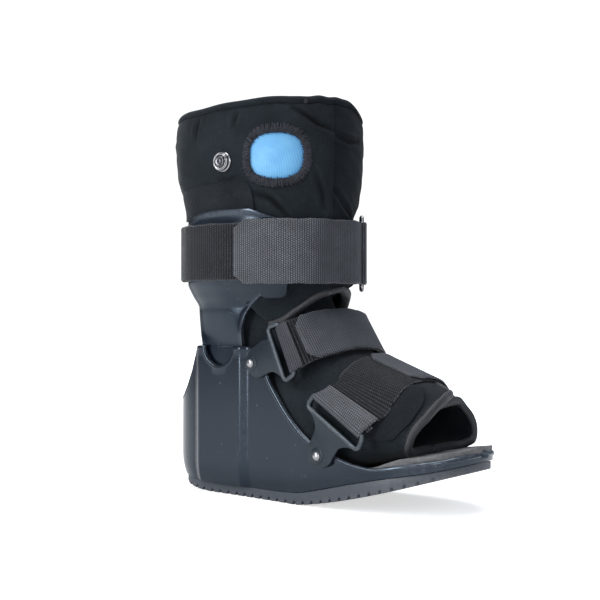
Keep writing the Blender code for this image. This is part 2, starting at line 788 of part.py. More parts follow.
def closed_bead(shop, name, centres, radius, finish):
    """Round bead along a closed run of points."""
    curve = bpy.data.curves.new(name, "CURVE")
    curve.dimensions = "3D"
    curve.bevel_depth = radius
    curve.bevel_resolution = 1
    spline = curve.splines.new("POLY")
    spline.points.add(len(centres) - 1)
    for point, centre in zip(spline.points, centres):
        point.co = (*centre, 1.0)
    spline.use_cyclic_u = True
    mesh = curve_mesh(name, curve, Matrix.Identity(4))
    return shop.add(name, mesh, finish, 60.0)


def build_toe_binding(shop):
    """Tape bound over the rim of the toe opening."""
    radius = BINDING_WIDTH / 2.0
    centres = []
    for c in range(28):
        edge = foot_point(0.0, 360.0 * c / 28 - 180.0)
        sole, instep, _, _, _ = foot_section(0.0)
        middle = (sole + instep) / 2.0
        inward = (middle - edge).normalized() * FOOT_WALL / 2.0
        centres.append(edge + inward + Vector((radius + GAP * 3.0, 0.0, 0.0)))
    return closed_bead(shop, "toe_binding", centres, radius, "binding_tape")


def build_flap_binding(shop):
    """Tape bound over the free lower edge of the calf wrap, hanging from it all round."""
    radius = BINDING_WIDTH / 2.0
    centres = []
    for i in range(21):
        angle = -60.0 + 6.0 * i
        low = flap_level(angle)
        edge = wrap_point(angle, low, -CALF_WALL / 2.0)
        centres.append(Vector((edge.x, edge.y, low - radius * 1.35 - GAP)))
    curve = bpy.data.curves.new("flap_binding", "CURVE")
    curve.dimensions = "3D"
    curve.bevel_depth = radius
    curve.bevel_resolution = 1
    curve.use_fill_caps = True
    spline = curve.splines.new("POLY")
    spline.points.add(len(centres) - 1)
    for point, centre in zip(spline.points, centres):
        point.co = (*centre, 1.0)
    mesh = curve_mesh("flap_binding", curve, Matrix.Identity(4))
    return shop.add("flap_binding", mesh, "binding_tape", 60.0)


# Air bulb and valve


def surface_frame(angle, z):
    """Matrix on the calf's surface: local x runs round the calf, y up, and z out of it."""
    point = calf_point(angle, z)
    out = (calf_point(angle, z, CALF_WALL) - point).normalized()
    up = Vector((0.0, 0.0, 1.0))
    side = up.cross(out).normalized()
    up = out.cross(side)
    turn = Matrix((side, up, out)).transposed().to_4x4()
    return Matrix.Translation(point) @ turn


def bulb_mesh(name, extra, depth, flat=False):
    """Rounded pillow of the bulb, or the straight oval plug that cuts its window."""
    rings, sides = (5, 20)
    points = []
    for r in range(rings):
        share = r / (rings - 1)
        for s in range(sides):
            turn = 2.0 * math.pi * s / sides
            c, n = math.cos(turn), math.sin(turn)
            x = math.copysign(abs(c) ** 0.80, c) * (BULB_WIDTH / 2.0 + extra)
            y = math.copysign(abs(n) ** 0.80, n) * (BULB_TALL / 2.0 + extra)
            if flat:
                points.append(Vector((x, y, depth * (share - 0.5))))
                continue
            inward = 1.0 - 0.92 * max(0.0, share - 0.25) / 0.75
            crown = BULB_BULGE * (1.0 - inward * inward)
            base = -CALF_WALL + BULB_SEAT
            bend = -0.5 * (x * inward) ** 2 / (CALF_DEPTH * 0.42)
            top = -BULB_SINK + bend + crown if r else base + bend
            points.append(Vector((x * inward if r else x, y * inward if r else y, top)))
    faces = grid_faces(rings, sides, closed=True)
    faces.append(tuple(reversed(range(sides))))
    faces.append(tuple(range((rings - 1) * sides, rings * sides)))
    mesh = mesh_from(name, points, faces)
    mesh.transform(surface_frame(BULB_ANGLE, BULB_HEIGHT))
    return mesh


def build_bulb(shop):
    mesh = bulb_mesh("air_bulb", -GAP, CALF_WALL)
    return shop.add("air_bulb", mesh, "bulb_blue", 60.0)


def turned(shop, name, profile, matrix, finish, steps=20):
    """Turned piece from a profile of (radius, height) read from its top down its outer side."""
    mesh = bpy.data.meshes.new(name)
    points = [(r, 0.0, z) for r, z in profile]
    mesh.from_pydata(points, [(i, i + 1) for i in range(len(points) - 1)], [])
    obj = shop.add(name, mesh, finish, 35.0)
    screw = obj.modifiers.new("turn", "SCREW")
    screw.steps = screw.render_steps = steps
    screw.use_merge_vertices = True
    screw.merge_threshold = GAP / 15.0
    obj.matrix_world = matrix
    return obj


def build_valve(shop):
    """Round release valve: a cup on the liner, and the button that is pressed in it."""
    seat = surface_frame(VALVE_ANGLE, VALVE_HEIGHT) @ Matrix.Translation((0, 0, GAP * 2.0))
    bore = VALVE_BUTTON_RADIUS + VALVE_BUTTON_CLEARANCE
    bevel = VALVE_BEVEL
    cup = ((0.0, VALVE_FLOOR), (bore, VALVE_FLOOR), (bore, VALVE_STAND - bevel / 2.0),
           (bore + bevel, VALVE_STAND), (VALVE_RADIUS - bevel, VALVE_STAND),
           (VALVE_RADIUS, VALVE_STAND - bevel), (VALVE_RADIUS, 0.0), (0.0, 0.0))
    turned(shop, "valve_body", cup, seat, "bright_metal")
    rest = VALVE_FLOOR + VALVE_BUTTON_TRAVEL + GAP
    top = VALVE_STAND + VALVE_BUTTON_TRAVEL * 0.35
    button = ((0.0, top + bevel * 0.66), (VALVE_BUTTON_RADIUS * 0.75, top + bevel * 0.33),
              (VALVE_BUTTON_RADIUS, top - bevel * 0.83), (VALVE_BUTTON_RADIUS, rest), (0.0, rest))
    turned(shop, "valve_button", button, seat, "bright_metal")


# Struts


def strut_y(x, z):
    """Half width of the strut's outer face: in the shell's pocket below, on the calf above."""
    pocket = half_width(x) + POCKET_DEPTH - SHELL_WALL - STRUT_CLEARANCE
    calf = calf_y(x, max(z, ANKLE_HEIGHT)) + STRUT_CLEARANCE + STRUT_THICKNESS
    return pocket + (calf - pocket) * smooth(SHELL_SIDE_HEIGHT, ANKLE_HEIGHT, z)


def strut_outer_point(x, z):
    """Point on the strut's outer face. Above the ankle it is set square off the calf wrap."""
    if z > ANKLE_HEIGHT:
        centre, depth, width = calf_ring(z)
        share = max(-0.999, min(0.999, (x - centre) / depth))
        angle = -math.degrees(math.acos(share))
        lean = 1.0 - smooth(ANKLE_HEIGHT + STRUT_SLANT_START, ANKLE_HEIGHT + STRUT_SLANT_END, z)
        slant = STRUT_SLANT * lean
        return calf_point(angle, z, STRUT_CLEARANCE + STRUT_THICKNESS + slant)
    return Vector((x, -strut_y(x, z), z))


def build_strut(shop):
    """Near strut: a sheet from the shell's pocket up to the wings that hold the calf."""
    across = (0.0, 0.08, 0.22, 0.38, 0.55, 0.72, 0.86, 1.0)
    rows = len(STRUT_TABLE)
    points = []
    for r, (height, rear, front) in enumerate(STRUT_TABLE):
        for share in across:
            crown = lookup(STRUT_CROWN_TABLE, share) * STRUT_TOP_HEIGHT
            level = height * STRUT_TOP_HEIGHT
            if r == rows - 1:
                level = crown
            elif r == rows - 2:
                level = min(level, crown - STRUT_EDGE_BAND)
            x = along(rear) + share * (along(front) - along(rear))
            level = max(level, STRUT_FOOT_HEIGHT)
            points.append(strut_outer_point(x, level))
    mesh = mesh_from("strut_near", points, grid_faces(rows, len(across)))
    strut = shop.add("strut_near", mesh, "shell_plastic")
    solidify(strut, STRUT_THICKNESS, even=False)
    return strut


# Brackets and rivets


def arc(centre, radius, start, end, steps):
    """Points of an arc, angles in degrees."""
    found = []
    for i in range(steps + 1):
        turn = math.radians(start + (end - start) * i / steps)
        found.append((centre[0] + radius * math.cos(turn), centre[1] + radius * math.sin(turn)))
    return found


class Bracket:
    """Flat plate with a lobe for the rivet and a slotted frame for a strap.

    Local x runs along the slot, y from the lobe to the bar, and z out of the boot.
    """

    def __init__(self, rivet_share, rivet_height, tilt, strap_width, lobe_x, rivet_offset):
        self.slot_half = strap_width / 2.0 + SLOT_SPARE
        self.half = self.slot_half + FRAME_RIM
        self.lobe_x = lobe_x
        self.rivet_local = Vector((lobe_x + rivet_offset[0], rivet_offset[1] - LOBE_REACH, 0.0))
        x = along(rivet_share)
        ahead, behind = LOBE_RADIUS * 1.64, LOBE_RADIUS * 0.82
        slope = (half_width(x + ahead) - half_width(x - behind)) / (ahead + behind)
        wall = half_width(x) + pocket_bulge(x) + GAP * 2.0
        turn = math.radians(tilt)
        e1 = Vector((math.cos(turn), 0.0, math.sin(turn)))
        e2 = Vector((-math.sin(turn), 0.0, math.cos(turn)))
        axes = Matrix((e1, e2, Vector((0.0, -1.0, 0.0)))).transposed().to_4x4()
        lean = Matrix.Rotation(-math.atan(slope), 4, "Z")
        shift = Matrix.Translation(-self.rivet_local)
        place = Matrix.Translation((x, -wall, rivet_height))
        self.matrix = place @ lean @ axes @ shift

    def outline(self):
        rim, radius = FRAME_RIM, FRAME_RIM * 1.5
        top = SLOT_WIDTH + BAR_WIDTH
        half = self.half
        shift = self.lobe_x
        lobe = (shift, -LOBE_REACH)
        points = arc((half - radius, top - radius * 0.6), radius * 0.6, 90.0, 0.0, 2)
        points += arc((half - radius, -rim + radius), radius, 0.0, -90.0, 3)[1:]
        points += [(half * 0.62, -rim * 1.7), (shift + LOBE_RADIUS * 1.08, -LOBE_REACH * 0.50)]
        points += arc(lobe, LOBE_RADIUS, 12.0, -192.0, 10)
        points += [(shift - LOBE_RADIUS * 1.08, -LOBE_REACH * 0.50), (-half * 0.62, -rim * 1.7)]
        points += arc((radius - half, -rim + radius), radius, -90.0, -180.0, 3)
        points += arc((radius - half, top - radius * 0.6), radius * 0.6, 180.0, 90.0, 2)
        return points

    def slot(self):
        r = SLOT_WIDTH * 0.24
        half, wide = self.slot_half, SLOT_WIDTH
        points = arc((half - r, wide - r), r, 90.0, 0.0, 2) + arc((half - r, r), r, 0.0, -90.0, 2)
        points += arc((r - half, r), r, -90.0, -180.0, 2)
        return points + arc((r - half, wide - r), r, 180.0, 90.0, 2)

    def build(self, shop, name):
        mesh = flat_plate(name, [self.outline(), self.slot()], PLATE_THICKNESS, self.matrix)
        return shop.add(name, mesh, "bracket_plastic", 30.0)

    def build_rivet(self, shop, name):
        """Domed head on the plate."""
        profile = [(0.0, RIVET_HEAD)]
        for i in range(1, 5):
            turn = math.radians(22.5 * i)
            profile.append((RIVET_RADIUS * math.sin(turn), RIVET_HEAD * math.cos(turn)))
        profile.append((0.0, 0.0))
        seat = self.rivet_local + Vector((0.0, 0.0, PLATE_THICKNESS + GAP))
        place = self.matrix @ Matrix.Translation(seat)
        return turned(shop, name, profile, place, "bright_metal", 14)

    def bar(self):
        """World point at the middle of the bar that the strap goes round."""
        return self.matrix @ Vector((0.0, SLOT_WIDTH + BAR_WIDTH / 2.0, PLATE_THICKNESS / 2.0))

    def along_slot(self):
        return (self.matrix.to_3x3() @ Vector((1.0, 0.0, 0.0))).normalized()


def flip_y(vector):
    """The vector mirrored to the other side of the boot."""
    return Vector((vector.x, -vector.y, vector.z))


# Straps


class Station:
    """A place along a strap: its middle, its direction across, and its outward normal."""

    def __init__(self, middle, across, outward, half):
        self.middle, self.across, self.outward, self.half = middle, across, outward, half

    def lifted(self, rise):
        return Station(self.middle + self.outward * rise, self.across, self.outward, self.half)

    def narrowed(self, by):
        return Station(self.middle, self.across, self.outward, self.half - by)


def ribbon(shop, name, stations, finish):
    """Flat strap through the stations, with the webbing's thickness."""
    points = []
    for station in stations:
        points.append(station.middle - station.across * station.half)
        points.append(station.middle + station.across * station.half)
    mesh = mesh_from(name, points, grid_faces(len(stations), 2), GAP / 3000.0)
    band = shop.add(name, mesh, finish, 50.0)
    solidify(band, WEBBING, offset=0.0, even=False)
    return band


def wrap_round(station, ahead, radius):
    """Stations round a bar at the station, from under it to over it, open toward ahead."""
    found = []
    for angle in (-80.0, -115.0, -150.0, 180.0, 150.0, 115.0, 80.0):
        turn = math.radians(angle)
        middle = station.middle + ahead * (radius * math.cos(turn))
        middle += station.outward * (radius * math.sin(turn))
        found.append(Station(middle, station.across, station.outward, station.half))
    return found


class OverStrap:
    """Strap that runs over the foot between the near and far copies of one bracket."""

    def __init__(self, bracket, width, arch):
        near = [(bracket.bar(), bracket.along_slot())] + arch(bracket)
        far = [(flip_y(middle), flip_y(across)) for middle, across in reversed(near[:-1])]
        path = near + far
        self.half = width / 2.0
        self.stations, self.lengths = [], [0.0]
        for i, (middle, across) in enumerate(path):
            before = path[max(0, i - 1)][0]
            after = path[min(len(path) - 1, i + 1)][0]
            outward = (after - before).cross(across).normalized()
            if outward.dot(Vector((0.0, middle.y, HEEL_WIDTH * 0.5))) < 0.0:
                outward.negate()
            self.stations.append(Station(middle, across, outward, self.half))
            if i:
                self.lengths.append(self.lengths[-1] + (middle - before).length)

    def at(self, reach):
        """Station at a reach along the strap, counted from the near bar, or back from the far one."""
        reach = reach if reach >= 0.0 else self.lengths[-1] + reach
        for i in range(1, len(self.lengths)):
            if reach <= self.lengths[i] or i == len(self.lengths) - 1:
                part = (reach - self.lengths[i - 1]) / (self.lengths[i] - self.lengths[i - 1])
                low, high = self.stations[i - 1], self.stations[i]
                return Station(low.middle.lerp(high.middle, part),
                               low.across.lerp(high.across, part).normalized(),
                               low.outward.lerp(high.outward, part).normalized(), self.half)

    def between(self, start, end, rise):
        """Stations from one reach to another, all lifted by rise."""
        inner = [s for s, reach in zip(self.stations, self.lengths)
                 if start + WEBBING < reach < end - WEBBING]
        return [s.lifted(rise) for s in [self.at(start)] + inner + [self.at(end)]]

    def build(self, shop, name, tab_reach, anchor_return):
        """Webbing, its folded near end, and the tab that comes back from the far bracket."""
        total = self.lengths[-1]
        layer = WEBBING + LAYER_GAP
        radius = math.hypot(BAR_WIDTH, PLATE_THICKNESS) / 2.0 + GAP * 2.0 + WEBBING / 2.0
        clear = radius * 1.7
        under = clear + WEBBING * 2.0
        main = self.between(anchor_return - ANCHOR_LAP, total - WEBBING_END, 0.0)
        ribbon(shop, name, main, "black_webbing")
        ahead = (self.stations[1].middle - self.stations[0].middle).normalized()
        fold = wrap_round(self.stations[0], ahead, radius)
        anchor = [self.at(under).lifted(-layer), self.at(clear).lifted(-layer)] + fold
        anchor += self.between(clear, anchor_return, layer)
        ribbon(shop, name + "_anchor", anchor, "grey_webbing")
        ahead = (self.stations[-2].middle - self.stations[-1].middle).normalized()
        fold = wrap_round(self.stations[-1], ahead, radius)
        tab = [self.at(total - under).lifted(-layer), self.at(total - clear).lifted(-layer)] + fold
        tab += reversed(self.between(tab_reach + TAB_CHAMFER, total - clear, layer))
        tab[-1] = tab[-1].lifted(TAB_END_LIFT)
        tab.append(self.at(tab_reach).lifted(layer + TAB_END_LIFT).narrowed(TAB_CHAMFER))
        ribbon(shop, name + "_tab", tab, "grey_webbing")


def ankle_arch(bracket):
    """Middles and cross directions from the near bar up to the ridge, on an oval arc."""
    start, across = bracket.bar(), bracket.along_slot()
    slope = math.radians(ANKLE_RIDGE_SLOPE)
    ridge = Vector((math.cos(slope), 0.0, math.sin(slope)))
    found = []
    for i in range(1, 8):
        turn = math.radians(90.0 * i / 7)
        share = math.sin(turn)
        x = start.x + (ANKLE_RIDGE_X - start.x) * share
        z = start.z + (ANKLE_RIDGE_Z - start.z) * share
        y = start.y * math.cos(turn) ** 1.05 if i < 7 else 0.0
        level = across.lerp(ridge, share).normalized()
        found.append((Vector((x, y, z)), level))
    return found


def forefoot_arch(bracket):
    """Middles and cross directions that follow the foot wrap from the near bar to the ridge."""
    start = bracket.along_slot()
    found = []
    rise = WEBBING / 2.0 + STRAP_REST
    for angle in (-58.0, -46.0, -34.0, -23.0, -11.0, 0.0):
        low = foot_point(FOREFOOT_INDEX + FOREFOOT_SPREAD_SHARE, angle, rise)
        high = foot_point(FOREFOOT_INDEX - FOREFOOT_SPREAD_SHARE, angle, rise)
        on = foot_point(FOREFOOT_INDEX, angle, rise)
        middle = (low + high) / 2.0
        out = foot_point(FOREFOOT_INDEX, angle, rise + FOOT_WALL) - on
        middle += out.normalized() * max(0.0, (on - middle).dot(out.normalized()))
        across = start.lerp((high - low).normalized(), smooth(-75.0, -35.0, angle)).normalized()
        if angle == 0.0:
            middle.y = across.y = 0.0
        found.append((middle, across.normalized()))
    return found


def strut_cover(angle):
    """1 where the strut lies under the calf strap, 0 where the strap is on the liner."""
    size = abs(angle)
    return smooth(16.0, 34.0, size) * (1.0 - smooth(134.0, 150.0, size))


def strap_station(angle, rise, half):
    """Station of the calf strap at an angle, its middle set a rise above what it lies on."""
    z = CALF_STRAP_HEIGHT
    under = STRUT_THICKNESS + STRUT_CLEARANCE
    angle = (angle + 180.0) % 360.0 - 180.0
    offset = GAP * 1.5 + WEBBING / 2.0 + under * strut_cover(angle) + rise
    middle = calf_point(angle, z, offset)
    out = (calf_point(angle, z, offset + CALF_WALL) - middle).normalized()
    return Station(middle, Vector((0.0, 0.0, -1.0)), out, half)


def ring_fold(bar, out, side, half, sign):
    """Stations round one upright of the ring. Sign says which way along side the strap leaves."""
    reach = RING_WIRE / 2.0 + GAP + WEBBING / 2.0
    layer = (WEBBING + LAYER_GAP) / 2.0
    route = [(2.6, -layer / reach), (1.0, -0.95), (0.0, -1.0), (-0.7, -0.7), (-1.0, 0.0),
             (-0.7, 0.7), (0.0, 1.0), (1.0, 0.95), (2.6, layer / reach)]
    found = []
    for run, rise in route:
        middle = bar + side * (run * reach * sign) + out * (rise * reach)
        found.append(Station(middle, Vector((0.0, 0.0, -1.0)), out, half))
    return found


def build_calf_strap(shop):
    """Webbing round the calf, the tab folded back through the ring, and the wire ring."""
    layer = WEBBING + LAYER_GAP
    centre = strap_station(RING_ANGLE, layer / 2.0, CALF_WEBBING_WIDTH / 2.0)
    out = centre.outward
    side = out.cross(Vector((0.0, 0.0, 1.0))).normalized()
    half_gap = RING_WIRE / 2.0 + GAP + WEBBING + RING_SPARE
    near_bar = centre.middle + side * half_gap
    far_bar = centre.middle - side * half_gap
    spread = math.degrees(half_gap / (CALF_DEPTH / 2.0))
    leg = math.degrees(2.9 * (RING_WIRE / 2.0 + WEBBING) / (CALF_DEPTH / 2.0)) + spread

    webbing = []
    angle = RING_ANGLE - leg - 7.5
    while angle > RING_ANGLE - 360.0 + leg + 3.0:
        webbing.append(strap_station(angle, 0.0, CALF_WEBBING_WIDTH / 2.0))
        angle -= 7.5
    fold = ring_fold(far_bar, out, side, CALF_WEBBING_WIDTH / 2.0, -1.0)
    webbing += fold
    for turn in (6.0, 13.0):
        station = strap_station(RING_ANGLE + leg + turn, layer, CALF_WEBBING_WIDTH / 2.0)
        webbing.append(station)
    ribbon(shop, "calf_strap", webbing, "black_webbing")

    half = CALF_STRAP_WIDTH / 2.0
    tab = ring_fold(near_bar, out, side, half, 1.0)
    angle = RING_ANGLE - leg
    while angle > CALF_TAB_END + 9.0:
        tab.append(strap_station(angle, layer, half))
        angle -= 7.5
    chamfer = math.degrees(TAB_CHAMFER / (CALF_WIDTH / 2.0))
    tab.append(strap_station(CALF_TAB_END + chamfer, layer, half))
    tab.append(strap_station(CALF_TAB_END, layer, half - TAB_CHAMFER))
    ribbon(shop, "calf_strap_tab", tab, "grey_webbing")

    tall = half + RING_OVERHANG
    bend = RING_WIRE * 0.9
    corners = []
    for corner_side, corner_z, first in ((1, 1, 0.0), (-1, 1, 90.0), (-1, -1, 180.0), (1, -1, 270.0)):
        centre_side = corner_side * (half_gap - bend)
        centre_z = corner_z * (tall - bend)
        for step in (0.0, 30.0, 60.0, 90.0):
            turn = math.radians(first + step)
            move = centre_side + bend * math.cos(turn)
            corners.append(centre.middle + side * move
                           + Vector((0.0, 0.0, centre_z + bend * math.sin(turn))))
    closed_bead(shop, "calf_strap_ring", corners, RING_WIRE / 2.0, "bright_metal")


# Loop patches


def build_patches(shop):
    """Loop patch above the near strut, and the one near the toe opening."""
    lift = GAP * 2.0 + PATCH_THICKNESS
    low = STRUT_TOP_HEIGHT * 0.985 - PATCH_HEM
    high = PATCH_TOP
    angles = [-144.0 + 9.0 * i for i in range(9)]
    points = []
    for share in (0.0, 0.5, 1.0):
        for angle in angles:
            edge = smooth(-78.0, -67.0, angle)
            top = high - PATCH_HEM * smooth(-90.0, -140.0, angle) - PATCH_CORNER * edge
            z = low + share * (top - low)
            z = max(z, STRUT_TOP_HEIGHT + GAP * 2.0) if share == 0.0 else z
            points.append(calf_point(angle, z, lift))
    mesh = mesh_from("calf_patch", points, grid_faces(3, len(angles)))
    solidify(shop.add("calf_patch", mesh, "loop_fabric"), PATCH_THICKNESS, even=False)

    columns = [-82.0 + 9.0 * i for i in range(7)]
    points = []
    for index, trim in ((0.70, 0.0), (0.50, 0.0), (0.28, 1.0)):
        for angle in columns:
            turn = columns[0] + (angle - columns[0]) * (1.0 - 0.22 * trim)
            points.append(foot_point(index, turn, lift))
    mesh = mesh_from("toe_patch", points, grid_faces(3, len(columns), flip=True))
    solidify(shop.add("toe_patch", mesh, "loop_fabric"), PATCH_THICKNESS, even=False)


def main():
    shop = Workshop()
    build_shell(shop)
    build_outsole(shop)
    build_insole(shop)
    build_calf_wrap(shop)
    build_foot_wrap(shop)
    build_toe_binding(shop)
    build_flap_binding(shop)
    build_bulb(shop)
    build_valve(shop)
    strut = build_strut(shop)
    mirrored(shop, strut, "strut_far")
    ankle = Bracket(ANKLE_RIVET_SHARE, ANKLE_RIVET_HEIGHT, ANKLE_SLOT_TILT,
                    ANKLE_STRAP_WIDTH, ANKLE_LOBE_X, ANKLE_RIVET_OFFSET)
    forefoot = Bracket(FOREFOOT_RIVET_SHARE, FOREFOOT_RIVET_HEIGHT, FOREFOOT_SLOT_TILT,
                       FOREFOOT_STRAP_WIDTH, 0.0, FOREFOOT_RIVET_OFFSET)
    for name, bracket in (("ankle", ankle), ("forefoot", forefoot)):
        plate = bracket.build(shop, name + "_bracket_near")
        mirrored(shop, plate, name + "_bracket_far")
        rivet = bracket.build_rivet(shop, name + "_rivet_near")
        bpy.context.view_layer.update()
        rivet_mesh = evaluated_mesh(rivet, name + "_rivet_near")
        rivet_mesh.transform(rivet.matrix_world)
        bpy.data.objects.remove(rivet, do_unlink=True)
        rivet = shop.add(name + "_rivet_near", rivet_mesh, "bright_metal", 35.0)
        mirrored(shop, rivet, name + "_rivet_far")
    OverStrap(ankle, ANKLE_STRAP_WIDTH, ankle_arch).build(
        shop, "ankle_strap", ANKLE_TAB_REACH, ANKLE_ANCHOR_RETURN)
    OverStrap(forefoot, FOREFOOT_STRAP_WIDTH, forefoot_arch).build(
        shop, "forefoot_strap", FOREFOOT_TAB_REACH, FOREFOOT_ANCHOR_RETURN)
    build_calf_strap(shop)
    build_patches(shop)


main()
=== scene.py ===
"""Walking boot: the looks of the part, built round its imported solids.

Metres, +Z up. The toe points along +X, the side with the air bulb faces -Y, and the origin is
on the floor under the middle of the sole. "Near" is the -Y side and "far" the +Y side.
"""

import logging
import math
import random
from dataclasses import dataclass
from enum import Enum
from typing import Callable, Iterable, Optional, Sequence

import bpy
import numpy as np
from mathutils import Matrix, Vector

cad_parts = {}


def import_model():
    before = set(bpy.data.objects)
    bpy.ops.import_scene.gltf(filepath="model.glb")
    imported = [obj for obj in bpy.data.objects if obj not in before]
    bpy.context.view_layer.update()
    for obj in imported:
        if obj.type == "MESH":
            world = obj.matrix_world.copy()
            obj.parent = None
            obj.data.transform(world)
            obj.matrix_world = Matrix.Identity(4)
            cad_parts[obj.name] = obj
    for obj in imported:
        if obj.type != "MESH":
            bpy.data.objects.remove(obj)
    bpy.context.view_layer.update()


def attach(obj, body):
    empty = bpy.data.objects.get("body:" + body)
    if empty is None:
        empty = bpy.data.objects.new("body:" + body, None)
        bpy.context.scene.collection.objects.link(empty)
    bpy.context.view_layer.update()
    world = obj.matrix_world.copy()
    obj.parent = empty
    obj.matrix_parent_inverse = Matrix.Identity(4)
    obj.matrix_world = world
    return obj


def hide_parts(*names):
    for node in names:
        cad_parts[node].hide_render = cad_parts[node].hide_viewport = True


LOG = logging.getLogger("walking_boot")

BODY = "boot"
BUTTON_BODY = "button"
UP = Vector((0.0, 0.0, 1.0))
Table = Sequence[Sequence[float]]


def smooth(low: float, high: float, value: float) -> float:
    """S-curve from 0 at low to 1 at high.

    Args:
        low: Value where the curve starts.
        high: Value where the curve ends.
        value: Value to look up.

    Returns:
        The height of the curve, from 0 to 1.
    """
    part = min(1.0, max(0.0, (value - low) / (high - low)))
    return part * part * (3.0 - 2.0 * part)


def hump(middle: float, half: float, value: float) -> float:
    """Round hump of height 1 at the middle that is nothing beyond half to either side.

    Args:
        middle: Where the hump is highest.
        half: Half of its width.
        value: Value to look up.

    Returns:
        The height of the hump, from 0 to 1.
    """
    part = min(1.0, abs(value - middle) / half)
    return (1.0 - part * part) ** 2


def curve_through(table: Table, key: float, column: int = 1) -> float:
    """Value of a table's column at key, on a smooth curve that never overshoots its rows.

    Args:
        table: Rows whose first entry is the key, in rising order.
        key: Value to look up.
        column: Column to read.

    Returns:
        The column's value at key.
    """
    if key <= table[0][0]:
        return table[0][column]
    if key >= table[-1][0]:
        return table[-1][column]
    row = 0
    while key > table[row + 1][0]:
        row += 1

    def slope(at: int) -> float:
        """Slope of the straight line from one row to the next."""
        return (table[at + 1][column] - table[at][column]) / (table[at + 1][0] - table[at][0])

    def tangent(at: int) -> float:
        """Slope of the curve at a row."""
        if at == 0 or at == len(table) - 1:
            return slope(min(at, len(table) - 2))
        before, after = slope(at - 1), slope(at)
        return 0.0 if before * after <= 0.0 else 2.0 * before * after / (before + after)

    width = table[row + 1][0] - table[row][0]
    t = (key - table[row][0]) / width
    low, high = table[row][column], table[row + 1][column]
    return (low * (1.0 + 2.0 * t) * (1.0 - t) ** 2 + high * t * t * (3.0 - 2.0 * t)
            + width * (tangent(row) * t * (1.0 - t) ** 2 - tangent(row + 1) * t * t * (1.0 - t)))


def spread(low: float, high: float, steps: int) -> list[float]:
    """Evenly spaced values from low to high, both included, with that many steps."""
    return [low + (high - low) * i / steps for i in range(steps + 1)]


def thinned(values: Iterable[float], step: float) -> list[float]:
    """Values in rising order, without those that are within a step of the last one kept."""
    kept = []
    for value in sorted(values):
        if not kept or value - kept[-1] > step:
            kept.append(value)
    return kept


